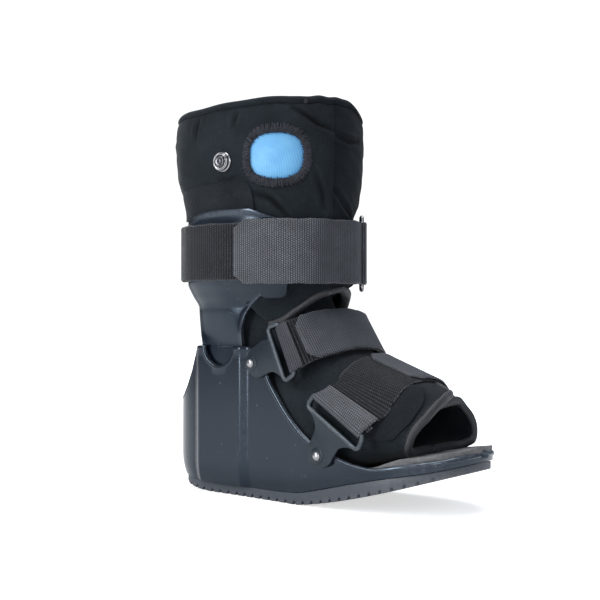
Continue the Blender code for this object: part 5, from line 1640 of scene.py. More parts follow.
@dataclass
class Bracket:
    """Plate with a lobe for its rivet and a slotted frame for a strap.

    Local x runs along the slot, y from the lobe to the bar, and z out of the boot.
    """

    name: str
    rivet_share: float
    rivet_height: float
    tilt: float
    strap_width: float
    lobe_x: float
    rivet_offset: tuple[float, float]
    plate: float = 0.0034
    lobe_radius: float = 0.0122
    lobe_reach: float = 0.0230
    slot_width: float = 0.0085
    slot_spare: float = 0.0013
    rim: float = 0.0036
    bar_width: float = 0.0032
    rivet_radius: float = 0.0034
    rivet_head: float = 0.0019
    recess: float = 0.0006
    frame_radius: float = 0.0021

    def __post_init__(self) -> None:
        """Works out the place of the bracket on the shell."""
        self.slot_half = self.strap_width / 2.0 + self.slot_spare
        self.half = self.slot_half + self.rim
        self.seat = self.plate - self.recess
        self.rivet_local = Vector((self.lobe_x + self.rivet_offset[0],
                                   self.rivet_offset[1] - self.lobe_reach, 0.0))
        x = FORM.along(self.rivet_share)
        ahead, behind = self.lobe_radius * 1.64, self.lobe_radius * 0.82
        slope = (FORM.half_width(x + ahead) - FORM.half_width(x - behind)) / (ahead + behind)
        wall = FORM.half_width(x) + FORM.pocket_bulge(x) + FORM.gap * 2.0
        turn = math.radians(self.tilt)
        first = Vector((math.cos(turn), 0.0, math.sin(turn)))
        second = Vector((-math.sin(turn), 0.0, math.cos(turn)))
        axes = Matrix((first, second, Vector((0.0, -1.0, 0.0)))).transposed().to_4x4()
        lean = Matrix.Rotation(-math.atan(slope), 4, "Z")
        place = Matrix.Translation((x, -wall, self.rivet_height))
        self.matrix = place @ lean @ axes @ Matrix.Translation(-self.rivet_local)

    @staticmethod
    def arc(centre: tuple[float, float], radius: float, start: float, end: float,
            steps: int) -> list[tuple[float, float]]:
        """Points of an arc, angles in degrees."""
        return [(centre[0] + radius * math.cos(math.radians(start + (end - start) * i / steps)),
                 centre[1] + radius * math.sin(math.radians(start + (end - start) * i / steps)))
                for i in range(steps + 1)]

    def outline(self) -> list[tuple[float, float]]:
        """Outer outline of the plate."""
        rim, radius, half = self.rim, self.rim * 1.5, self.half
        top = self.slot_width + self.bar_width
        shift, reach, lobe = self.lobe_x, self.lobe_reach, self.lobe_radius
        found = self.arc((half - radius, top - radius * 0.6), radius * 0.6, 90.0, 0.0, 6)
        found += self.arc((half - radius, -rim + radius), radius, 0.0, -90.0, 8)[1:]
        right = [(half * 0.62, -rim * 1.7), (shift + lobe * 1.08, -reach * 0.50)]
        left = [(shift - lobe * 1.08, -reach * 0.50), (-half * 0.62, -rim * 1.7)]
        found += self.eased([(half - radius, -rim), *right, (shift + lobe, -reach + lobe * 0.2)])
        found += self.arc((shift, -reach), lobe, 12.0, -192.0, 30)
        found += self.eased([(shift - lobe, -reach + lobe * 0.2), *left, (radius - half, -rim)])
        found += self.arc((radius - half, -rim + radius), radius, -90.0, -180.0, 8)
        found += self.arc((radius - half, top - radius * 0.6), radius * 0.6, 180.0, 90.0, 6)
        return found

    @staticmethod
    def eased(corners: Sequence[tuple[float, float]], steps: int = 7) -> list[tuple[float, float]]:
        """Smooth curve through the inner corners of a run, its two ends left out."""
        points = [Vector(c) for c in corners]
        found = []
        for i in range(len(points) - 1):
            before = points[max(0, i - 1)]
            after = points[min(len(points) - 1, i + 2)]
            low, high = points[i], points[i + 1]
            for s in range(1, steps):
                t = s / steps
                p = 0.5 * ((2.0 * low) + (high - before) * t
                           + (2.0 * before - 5.0 * low + 4.0 * high - after) * t * t
                           + (3.0 * low - before - 3.0 * high + after) * t ** 3)
                found.append((p.x, p.y))
        return found

    def slot(self) -> list[tuple[float, float]]:
        """Outline of the slot."""
        r, half, wide = self.slot_width * 0.24, self.slot_half, self.slot_width
        found = self.arc((half - r, wide - r), r, 90.0, 0.0, 6)
        found += self.arc((half - r, r), r, 0.0, -90.0, 6)
        found += self.arc((r - half, r), r, -90.0, -180.0, 6)
        return found + self.arc((r - half, wide - r), r, 180.0, 90.0, 6)

    def frame_path(self) -> list[Vector]:
        """Middle of the raised rim round the slot."""
        out, half, wide = self.rim * 0.46, self.slot_half, self.slot_width
        r = self.slot_width * 0.24 + out
        low, high, side = -out, wide + self.bar_width * 0.5, half + out
        corners = self.arc((side - r, high - r * 0.8), r * 0.8, 90.0, 0.0, 6)
        corners += self.arc((side - r, low + r), r, 0.0, -90.0, 8)
        corners += self.arc((r - side, low + r), r, -90.0, -180.0, 8)
        corners += self.arc((r - side, high - r * 0.8), r * 0.8, 180.0, 90.0, 6)
        found = [Vector((x, y, self.frame_radius)) for x, y in corners]
        for left, right, level in ((side - r, r - side, low), (r - side, side - r, high)):
            for s in range(1, 12):
                x = left + (right - left) * s / 12.0
                found.append(Vector((x, level, self.frame_radius)))
        middle = Vector((0.0, (low + high) / 2.0, 0.0))
        found.sort(key=lambda p: -math.atan2((p - middle).y * side / (high - low) * 2.0,
                                             (p - middle).x))
        return found

    def plate_mesh(self) -> bpy.types.Object:
        """Flat curve of the outline and slot with rounded edges, made a mesh."""
        edge = 0.0006
        Bench.take()
        bpy.ops.object.add(type="CURVE")
        piece = Bench.label(self.name + "_plate")
        curve = piece.data
        curve.dimensions = "2D"
        curve.fill_mode = "BOTH"
        curve.extrude = self.seat / 2.0 - edge
        curve.bevel_depth = edge
        curve.bevel_resolution = 2
        curve.offset = -edge
        for outline in (self.outline(), self.slot()):
            spline = curve.splines.new("POLY")
            spline.points.add(len(outline) - 1)
            for point, (x, y) in zip(spline.points, outline):
                point.co = (x, y, 0.0, 1.0)
            spline.use_cyclic_u = True
        Bench.take(piece)
        bpy.ops.object.convert(target="MESH")
        piece = bpy.context.object
        piece.data.transform(Matrix.Translation((0.0, 0.0, self.seat / 2.0)))
        return Bench.weld(piece)

    def build_plate(self) -> bpy.types.Object:
        """Builds the near plate with its raised frame and the boss under its rivet."""
        plate = self.plate_mesh()
        frame = Bench.rod("frame_bead", self.frame_path(), self.frame_radius, sides=14, loop=True)
        profile = ((0.0, 0.0007), (0.0054, 0.0007), (0.0060, 0.0005), (0.0064, -0.0002),
                   (0.0, -0.0002))
        boss = Bench.spun("boss", [(radius, self.seat + rise) for radius, rise in profile],
                          Matrix.Translation(self.rivet_local), 36)
        piece = Bench.join(self.name + "_plate_near", (plate, frame, boss))
        piece.data.transform(self.matrix)
        Bench.settle(piece, 40.0)
        inverse = self.matrix.inverted()

        def rubbed(p: Vector) -> float:
            """How worn a point is: the top of the raised frame."""
            local = inverse @ p
            return 0.35 * smooth(0.0030, 0.0039, local.z) * smooth(-0.008, -0.002, local.y)

        return Bench.paint(piece, "wear", rubbed)

    def build_rivet(self) -> bpy.types.Object:
        """Builds the near rivet's domed head with its thin flange."""
        radius, head = self.rivet_radius, self.rivet_head
        profile = [(0.0, head)]
        for i in range(1, 8):
            turn = math.radians(11.5 * i)
            profile.append((radius * 0.92 * math.sin(turn),
                            head * 0.16 + head * 0.84 * math.cos(turn)))
        profile += [(radius, head * 0.16), (radius, 0.0), (0.0, 0.0)]
        seat = self.rivet_local + Vector((0.0, 0.0, self.plate + FORM.gap))
        piece = Bench.spun(self.name + "_rivet_head_near", profile,
                           self.matrix @ Matrix.Translation(seat), 32)
        return Bench.settle(piece, 45.0)

    def build(self, wardrobe: Wardrobe) -> None:
        """Builds and dresses the plates and the rivets of both sides."""
        plate, rivet = self.build_plate(), self.build_rivet()
        for side in Side:
            word = side.name.lower()
            for near, finish, node in ((plate, "bracket_plastic", "_bracket_"),
                                       (rivet, "bright_metal", "_rivet_")):
                piece = near
                if side is Side.FAR:
                    piece = Bench.mirror(near, near.name.replace("near", "far"))
                wardrobe.dress(piece, finish, self.name + node + word)

    def bar(self) -> Vector:
        """Middle of the bar that the strap goes round."""
        return self.matrix @ Vector((0.0, self.slot_width + self.bar_width / 2.0, self.plate / 2.0))

    def along_slot(self) -> Vector:
        """Direction along the slot."""
        return (self.matrix.to_3x3() @ Vector((1.0, 0.0, 0.0))).normalized()


ANKLE_BRACKET = Bracket("ankle", 0.3734, 0.1066, -65.2, 0.038, -0.0028, (-0.0018, -0.0068))
FOREFOOT_BRACKET = Bracket("forefoot", 0.6195, 0.0404, -31.5, 0.050, 0.0, (-0.0009, -0.0048))


@dataclass
class Station:
    """A place along a strap: its middle, its direction across, its outward side, and half width."""

    middle: Vector
    across: Vector
    outward: Vector
    half: float

    def lifted(self, rise: float) -> "Station":
        """The station moved outward."""
        return Station(self.middle + self.outward * rise, self.across, self.outward, self.half)

    def narrowed(self, by: float) -> "Station":
        """The station with less width."""
        return Station(self.middle, self.across, self.outward, self.half - by)


@dataclass
class Weaver:
    """Makes woven straps from the stations that they pass through."""

    webbing: float = 0.0018
    spacing: float = 0.0016
    across: int = 18

    def eased(self, stations: Sequence[Station]) -> list[Station]:
        """Stations set close together on a smooth curve through the given ones."""
        found = []
        count = len(stations)
        for i in range(count - 1):
            four = [stations[max(0, min(count - 1, i + k))] for k in (-1, 0, 1, 2)]
            run = (four[2].middle - four[1].middle).length
            steps = max(1, round(run / self.spacing))
            knots = [0.0]
            for low, high in zip(four, four[1:]):
                knots.append(knots[-1] + max(1e-6, math.sqrt((high.middle - low.middle).length)))
            for s in range(steps):
                t = s / steps
                at = knots[1] + (knots[2] - knots[1]) * t
                if i == 0 or i == count - 2:
                    middle = self.quadratic([f.middle for f in four], i == 0, t)
                else:
                    middle = self.barry([f.middle for f in four], knots, at)
                across = four[1].across.lerp(four[2].across, smooth(0.0, 1.0, t) * 0.5 + t * 0.5)
                outward = four[1].outward.lerp(four[2].outward, t)
                half = four[1].half + (four[2].half - four[1].half) * t
                found.append(Station(middle, across.normalized(), outward.normalized(), half))
        found.append(stations[-1])
        return found

    @staticmethod
    def quadratic(p: Sequence[Vector], first: bool, t: float) -> Vector:
        """Point between the middle two of four points where the run starts or ends."""
        straight = p[1].lerp(p[2], t)
        bend = (p[3] - p[2] * 2.0 + p[1]) if first else (p[2] - p[1] * 2.0 + p[0])
        return straight - bend * (0.5 * t * (1.0 - t)) * 0.5

    @staticmethod
    def barry(p: Sequence[Vector], k: Sequence[float], at: float) -> Vector:
        """Point on the centripetal curve through four points with these knots."""
        a = [p[i].lerp(p[i + 1], (at - k[i]) / (k[i + 1] - k[i])) for i in range(3)]
        b = [a[i].lerp(a[i + 1], (at - k[i]) / (k[i + 2] - k[i])) for i in range(2)]
        return b[0].lerp(b[1], (at - k[1]) / (k[2] - k[1]))

    def weave(self, name: str, stations: Sequence[Station], seed: int,
              frayed: float = 0.0) -> bpy.types.Object:
        """Strap through the stations, with selvedges, rounded ends and a slight waviness.

        Args:
            name: Name of the piece.
            stations: Places along it.
            seed: Seed of its unevenness.
            frayed: How uneven its last end is, in metres.

        Returns:
            The piece, with U along it and V across it, in metres.
        """
        line = self.eased(stations)
        dice = random.Random(seed)
        shifts = [dice.uniform(0.0, 6.28) for _ in range(4)]
        shares = [math.sin(math.radians(90.0 * s)) for s in spread(-1.0, 1.0, self.across)]
        run, runs = 0.0, []
        for i, station in enumerate(line):
            run += (station.middle - line[i - 1].middle).length if i else 0.0
            runs.append(run)
        rows = []
        for i, station in enumerate(line):
            thick = self.webbing / 2.0
            wave = (0.00022 * math.sin(runs[i] * 190.0 + shifts[0])
                    + 0.00016 * math.sin(runs[i] * 410.0 + shifts[1]))
            top, under = [], []
            for share in shares:
                edge = 1.0 - smooth(0.955, 1.0, abs(share)) * 0.75
                selvedge = 1.0 + 0.16 * hump(0.93, 0.07, abs(share))
                side = station.across * (share * (station.half + wave * abs(share) ** 3))
                point = station.middle + side
                if frayed and i > len(line) - 5:
                    fray = 0.5 * math.sin(share * 17.0 + shifts[2])
                    fray += 0.5 * math.sin(share * 41.0 + shifts[3])
                    ahead = (line[i].middle - line[i - 1].middle).normalized()
                    point = point + ahead * (frayed * fray * (i - len(line) + 5) / 5.0)
                top.append(point + station.outward * (thick * edge * selvedge))
                under.append(point - station.outward * (thick * edge))
            rows.append(top + under[::-1])
        first = [station_mid(rows[0], c) for c in range(len(rows[0]))]
        last = [station_mid(rows[-1], c) for c in range(len(rows[-1]))]
        rows = [first] + rows + [last]
        runs = [runs[0]] + runs + [runs[-1]]
        wide = line[0].half

        def chart(row: int, column: int) -> tuple[float, float]:
            """UV of a point: the way along the strap and the way across it."""
            column = column % (2 * len(shares))
            share = shares[column] if column < len(shares) else shares[2 * len(shares) - 1 - column]
            return runs[row], share * wide

        piece = Bench.sheet(name, rows, closed=True, chart=chart)
        return Bench.settle(piece, 60.0)


def station_mid(row: Sequence[Vector], column: int) -> Vector:
    """Middle between a point of a strap's section and the one across its thickness."""
    return (row[column] + row[len(row) - 1 - column]) / 2.0


def flip_y(vector: Vector) -> Vector:
    """The vector mirrored to the other side of the boot."""
    return Vector((vector.x, -vector.y, vector.z))


@dataclass
class OverStrap:
    """Strap over the foot between the near and far copies of one bracket."""

    name: str
    bracket: Bracket
    width: float
    tab_reach: float
    seed: int
    anchor_return: float = 0.014
    layer_gap: float = 0.0005
    anchor_lap: float = 0.0012
    fold_finish: str = "grey_webbing"
    webbing_end: float = 0.012
    chamfer: float = 0.007

    def __post_init__(self) -> None:
        """Lays out the strap's way from the near bar to the far one."""
        arch = self.ankle_arch if self.name == "ankle_strap" else self.forefoot_arch
        near = [(self.bracket.bar(), self.bracket.along_slot())] + arch()
        path = near + [(flip_y(m), flip_y(a)) for m, a in reversed(near[:-1])]
        self.stations, self.lengths = [], [0.0]
        for i, (middle, across) in enumerate(path):
            before, after = path[max(0, i - 1)][0], path[min(len(path) - 1, i + 1)][0]
            outward = (after - before).cross(across).normalized()
            if outward.dot(Vector((0.0, middle.y, 0.045))) < 0.0:
                outward.negate()
            self.stations.append(Station(middle, across, outward, self.width / 2.0))
            if i:
                self.lengths.append(self.lengths[-1] + (middle - before).length)

    def ankle_arch(self) -> list[tuple[Vector, Vector]]:
        """Middles and cross directions from the near bar up to the ridge, on an oval arc."""
        start, across = self.bracket.bar(), self.bracket.along_slot()
        slope = math.radians(-53.0)
        ridge = Vector((math.cos(slope), 0.0, math.sin(slope)))
        found = []
        for i in range(1, 8):
            turn = math.radians(90.0 * i / 7)
            share = math.sin(turn)
            x = start.x + (0.0225 - start.x) * share
            z = start.z + (0.1328 - start.z) * share
            y = start.y * math.cos(turn) ** 1.05 if i < 7 else 0.0
            found.append((Vector((x, y, z)), across.lerp(ridge, share).normalized()))
        return found

    def forefoot_arch(self) -> list[tuple[Vector, Vector]]:
        """Middles and cross directions that follow the foot from the near bar to the ridge."""
        start, rise = self.bracket.along_slot(), 0.0025
        index, reach = 1.72, 0.62
        found = []
        for angle in (-58.0, -46.0, -34.0, -23.0, -11.0, 0.0):
            low = FORM.foot_point(index + reach, angle, rise)
            high = FORM.foot_point(index - reach, angle, rise)
            on = FORM.foot_point(index, angle, rise)
            middle = (low + high) / 2.0
            out = (FORM.foot_point(index, angle, rise + 0.01) - on).normalized()
            middle += out * max(0.0, (on - middle).dot(out))
            share = smooth(-75.0, -35.0, angle)
            across = start.lerp((high - low).normalized(), share).normalized()
            if angle == 0.0:
                middle.y = across.y = 0.0
            found.append((middle, across.normalized()))
        return found

    def at(self, reach: float) -> Station:
        """Station at a reach along the strap from the near bar."""
        for i in range(1, len(self.lengths)):
            if reach <= self.lengths[i] or i == len(self.lengths) - 1:
                part = (reach - self.lengths[i - 1]) / (self.lengths[i] - self.lengths[i - 1])
                low, high = self.stations[i - 1], self.stations[i]
                return Station(low.middle.lerp(high.middle, part),
                               low.across.lerp(high.across, part).normalized(),
                               low.outward.lerp(high.outward, part).normalized(), low.half)
        return self.stations[-1]

    def between(self, start: float, end: float, rise: float) -> list[Station]:
        """Stations from one reach to another, all lifted by rise."""
        inner = [s for s, reach in zip(self.stations, self.lengths)
                 if start + 0.0018 < reach < end - 0.0018]
        return [s.lifted(rise) for s in [self.at(start)] + inner + [self.at(end)]]

    @staticmethod
    def round_bar(station: Station, ahead: Vector, radius: float) -> list[Station]:
        """Stations round a bar, from under it to over it, open toward ahead."""
        found = []
        for angle in (-80.0, -115.0, -150.0, 180.0, 150.0, 115.0, 80.0):
            turn = math.radians(angle)
            middle = station.middle + ahead * (radius * math.cos(turn))
            middle += station.outward * (radius * math.sin(turn))
            outward = (middle - station.middle).normalized()
            found.append(Station(middle, station.across, outward, station.half))
        return found

    def build(self, wardrobe: Wardrobe, weaver: Weaver) -> None:
        """Builds and dresses the webbing, its folded near end, and the far bracket's tab.

        Args:
            wardrobe: The finishes.
            weaver: Makes the straps.
        """
        total = self.lengths[-1]
        layer = weaver.webbing + self.layer_gap
        bar = math.hypot(self.bracket.bar_width, self.bracket.plate) / 2.0 - 0.0006
        radius = bar + FORM.gap + weaver.webbing / 2.0
        clear = radius * 1.7
        under = clear + weaver.webbing * 2.0
        main = self.between(self.anchor_return - self.anchor_lap, total - self.webbing_end, 0.0)
        piece = weaver.weave(self.name + "_webbing", main, self.seed)
        wardrobe.dress(self.worn(piece, main, 0.5), "black_webbing", self.name)
        ahead = (self.stations[1].middle - self.stations[0].middle).normalized()
        fold = self.round_bar(self.stations[0], ahead, radius)
        anchor = [self.at(under).lifted(-layer), self.at(clear).lifted(-layer)] + fold
        anchor += self.between(clear, self.anchor_return, layer)
        piece = weaver.weave(self.name + "_fold", anchor, self.seed + 1)
        wardrobe.dress(self.worn(piece, anchor, 0.15), self.fold_finish, self.name + "_anchor",
                       slot="grey_webbing")
        ahead = (self.stations[-2].middle - self.stations[-1].middle).normalized()
        fold = self.round_bar(self.stations[-1], ahead, radius)
        tab = [self.at(total - under).lifted(-layer), self.at(total - clear).lifted(-layer)] + fold
        tab += reversed(self.between(self.tab_reach + self.chamfer, total - clear, layer))
        tab.append(self.at(self.tab_reach).lifted(layer).narrowed(self.chamfer))
        piece = weaver.weave(self.name + "_free_end", tab, self.seed + 2, frayed=0.0003)
        wardrobe.dress(self.worn(piece, tab, 0.3), "grey_webbing", self.name + "_tab")

    @staticmethod
    def worn(piece: bpy.types.Object, stations: Sequence[Station],
             amount: float) -> bpy.types.Object:
        """Marks the selvedges pale, a painted highlight along the strap's edges with some rubbed
        wear, and the last end as rubbed pale.
        """
        end, half = stations[-1], stations[0].half
        onward = (end.middle - stations[-2].middle).normalized()

        def rubbed(p: Vector) -> float:
            """How pale a point is drawn: a painted highlight with some wear along the selvedges,
            and wear at the last end.
            """
            nearest = min(stations, key=lambda s: (s.middle - p).length_squared)
            edge = smooth(half - 0.0016, half, abs((p - nearest.middle).dot(nearest.across)))
            last = 1.0 - smooth(0.001, 0.004, abs((p - end.middle).dot(onward)))
            near = 1.0 - smooth(0.02, 0.03, (p - end.middle).length)
            return amount * max(edge, last * near)

        return Bench.paint(piece, "wear", rubbed)


@dataclass
class CalfStrap:
    """Webbing round the calf and the struts, the wire ring, and the free end back over it."""

    width: float = 0.050
    webbing_width: float = 0.045
    tab_end: float = -79.0
    ring_wire: float = 0.0034
    ring_overhang: float = 0.0045
    layer_gap: float = 0.0005
    chamfer: float = 0.007

    def station(self, angle: float, rise: float, half: float, weaver: Weaver) -> Station:
        """Station at an angle round the calf, its middle set a rise above what it lies on."""
        under = FORM.strut_wall + FORM.strut_clearance
        angle = (angle + 180.0) % 360.0 - 180.0
        size = abs(angle)
        cover = smooth(16.0, 34.0, size) * (1.0 - smooth(134.0, 150.0, size))
        offset = FORM.gap * 1.5 + weaver.webbing / 2.0 + under * cover + rise
        offset -= FORM.dent(angle, FORM.strap_height)
        middle = FORM.calf_point(angle, FORM.strap_height, offset)
        out = (FORM.calf_point(angle, FORM.strap_height, offset + 0.01) - middle).normalized()
        return Station(middle, -UP, out, half)

    def ring_fold(self, bar: Vector, out: Vector, side: Vector, half: float, sign: float,
                  weaver: Weaver) -> list[Station]:
        """Stations round one upright of the ring; sign says which way the strap leaves."""
        reach = self.ring_wire / 2.0 + FORM.gap + weaver.webbing / 2.0
        layer = (weaver.webbing + self.layer_gap) / 2.0
        route = [(2.6, -layer / reach), (1.0, -0.95), (0.0, -1.0), (-0.7, -0.7), (-1.0, 0.0),
                 (-0.7, 0.7), (0.0, 1.0), (1.0, 0.95), (2.6, layer / reach)]
        found = []
        for run, rise in route:
            middle = bar + side * (run * reach * sign) + out * (rise * reach)
            away = (middle - bar - side * (max(0.0, run) * reach * sign)).normalized()
            found.append(Station(middle, -UP, away, half))
        return found

    def build(self, wardrobe: Wardrobe, weaver: Weaver) -> None:
        """Builds and dresses the webbing, the free end and the ring.

        Args:
            wardrobe: The finishes.
            weaver: Makes the straps.
        """
        layer = weaver.webbing + self.layer_gap
        narrow, half = self.webbing_width / 2.0, self.width / 2.0
        centre = self.station(FORM.ring_angle, layer / 2.0, narrow, weaver)
        out = centre.outward
        side = out.cross(UP).normalized()
        half_gap = self.ring_wire / 2.0 + FORM.gap + weaver.webbing + 0.0004
        spread_angle = math.degrees(half_gap / (FORM.calf_depth / 2.0))
        leg = math.degrees(2.9 * (self.ring_wire / 2.0 + weaver.webbing) / (FORM.calf_depth / 2.0))
        leg += spread_angle
        run = []
        angle = FORM.ring_angle - leg - 7.5
        while angle > FORM.ring_angle - 360.0 + leg + 3.0:
            run.append(self.station(angle, 0.0, narrow, weaver))
            angle -= 7.5
        far = self.ring_fold(centre.middle - side * half_gap, out, side, narrow, -1.0, weaver)
        for item in far[:5]:
            item.outward.negate()
        run += self.continuous(far)
        for turn in (6.0, 13.0):
            run.append(self.station(FORM.ring_angle + leg + turn, layer, narrow, weaver))
        piece = weaver.weave("calf_strap_webbing", self.continuous(run), 31)
        wardrobe.dress(OverStrap.worn(piece, run, 0.5), "black_webbing", "calf_strap")

        tab = self.ring_fold(centre.middle + side * half_gap, out, side, half, 1.0, weaver)
        angle = FORM.ring_angle - leg
        while angle > self.tab_end + 9.0:
            tab.append(self.station(angle, layer, half, weaver))
            angle -= 7.5
        chamfer = math.degrees(self.chamfer / (FORM.calf_width / 2.0))
        tab.append(self.station(self.tab_end + chamfer, layer, half, weaver))
        tab.append(self.station(self.tab_end, layer, half - self.chamfer, weaver))
        piece = weaver.weave("calf_strap_free_end", self.continuous(tab), 37, frayed=0.0003)
        wardrobe.dress(OverStrap.worn(piece, tab, 0.25), "grey_webbing", "calf_strap_tab")
        self.build_ring(wardrobe, centre.middle, side, half_gap)

    @staticmethod
    def continuous(stations: list[Station]) -> list[Station]:
        """Stations whose outward side never jumps to the other face of the strap."""
        for before, item in zip(stations, stations[1:]):
            index = stations.index(item)
            ahead = stations[min(len(stations) - 1, index + 1)].middle - before.middle
            square = ahead.cross(item.across).normalized()
            if square.dot(item.outward) < 0.0:
                square.negate()
            item.outward = square if square.dot(before.outward) >= -0.2 else -square
        return stations

    def build_ring(self, wardrobe: Wardrobe, middle: Vector, side: Vector, half_gap: float) -> None:
        """Builds the bent wire ring round the fold.

        Args:
            wardrobe: The finishes.
            middle: Middle of the ring.
            side: Direction across the ring.
            half_gap: Half of the way between its uprights.
        """
        tall, bend = self.width / 2.0 + self.ring_overhang, self.ring_wire * 0.9
        path = []
        for sign, level, first in ((1, 1, 0.0), (-1, 1, 90.0), (-1, -1, 180.0), (1, -1, 270.0)):
            for step in range(0, 91, 10):
                turn = math.radians(first + step)
                move = sign * (half_gap - bend) + bend * math.cos(turn)
                rise = level * (tall - bend) + bend * math.sin(turn)
                path.append(middle + side * move + UP * rise)
        piece = Bench.rod("wire_ring", path, self.ring_wire / 2.0, sides=16, loop=True,
                          lean=side.cross(UP))
        Bench.settle(piece, 60.0)
        wardrobe.dress(piece, "bright_metal", "calf_strap_ring")


class Seat(Enum):
    """Places on the calf that several pieces share: angle from the front, height."""

    BULB = (-54.0, 0.2672)
    VALVE = (-87.0, 0.263988)

    def matrix(self, rise: float = 0.0) -> Matrix:
        """Matrix of the place: local x runs round the calf, y up, and z out of it."""
        return FORM.calf_frame(self.value[0], self.value[1], rise)


@dataclass
class Padding:
    """Puffs a padded wall with a cloth simulation, held where other pieces press on it."""

    pressure: float = 4.0
    frames: int = 20
    cap: float = 0.0022

    def puff(self, piece: bpy.types.Object, held: Callable[[Vector], float]) -> bpy.types.Object:
        """Simulates the wall and keeps each point within reach of where it was.

        Args:
            piece: Closed wall, both of its faces in one mesh.
            held: Gives 1 where the wall can't move and 0 where it is free.

        Returns:
            The same piece.
        """
        before = np.empty(len(piece.data.vertices) * 3)
        piece.data.vertices.foreach_get("co", before)
        pin = piece.vertex_groups.new(name="held")
        for vertex in piece.data.vertices:
            pin.add([vertex.index], held(vertex.co), "REPLACE")
        Bench.take(piece)
        cloth = piece.modifiers.new("padding", "CLOTH")
        settings = cloth.settings
        settings.quality = 5
        settings.mass = 0.2
        settings.tension_stiffness = settings.compression_stiffness = 12.0
        settings.shear_stiffness = 4.0
        settings.bending_stiffness = 1.5
        settings.use_pressure = True
        settings.uniform_pressure_force = self.pressure
        settings.vertex_group_mass = pin.name
        settings.effector_weights.gravity = 0.0
        cloth.collision_settings.use_collision = False
        cloth.point_cache.frame_start, cloth.point_cache.frame_end = 1, self.frames
        for frame in range(1, self.frames + 1):
            bpy.context.scene.frame_set(frame)
        bpy.ops.object.modifier_apply(modifier=cloth.name)
        bpy.context.scene.frame_set(1)
        piece.vertex_groups.clear()
        after = np.empty(len(before))
        piece.data.vertices.foreach_get("co", after)
        moved = (after - before).reshape(-1, 3)
        reach = np.linalg.norm(moved, axis=1, keepdims=True)
        limit = self.cap * np.tanh(reach / self.cap) / np.maximum(reach, 1e-9)
        piece.data.vertices.foreach_set("co", (before.reshape(-1, 3) + moved * limit).ravel())
        piece.data.update()
        return Bench.subdivide(piece)


@dataclass
class Crease:
    """Crease in a padded wall: points (angle, height), depth and half width."""

    points: Sequence[tuple[float, float]]
    depth: float = 0.0012
    half: float = 0.0022
    ridge: float = 0.45

    def sink(self, angle: float, z: float, scale: float) -> float:
        """How far the crease moves a point of the wall outward.

        Args:
            angle: Angle of the point round the calf.
            z: Its height.
            scale: Metres for each degree.

        Returns:
            The move, negative inside the crease.
        """
        best, along = 1.0, 0.0
        steps = len(self.points) - 1
        for i, (low, high) in enumerate(zip(self.points, self.points[1:])):
            ax, ay = low[0] * scale, low[1]
            bx, by = high[0] * scale - ax, high[1] - ay
            px, py = angle * scale - ax, z - ay
            t = min(1.0, max(0.0, (px * bx + py * by) / (bx * bx + by * by)))
            away = math.hypot(px - bx * t, py - by * t)
            if away < best:
                best, along = away, (i + t) / steps
        if best > self.half * 4.0:
            return 0.0
        fade = math.sin(math.pi * (0.06 + 0.88 * along)) ** 0.6
        part = best / self.half
        raised = self.ridge * math.exp(-(part - 1.9) ** 2)
        return self.depth * fade * (raised - math.exp(-part * part))


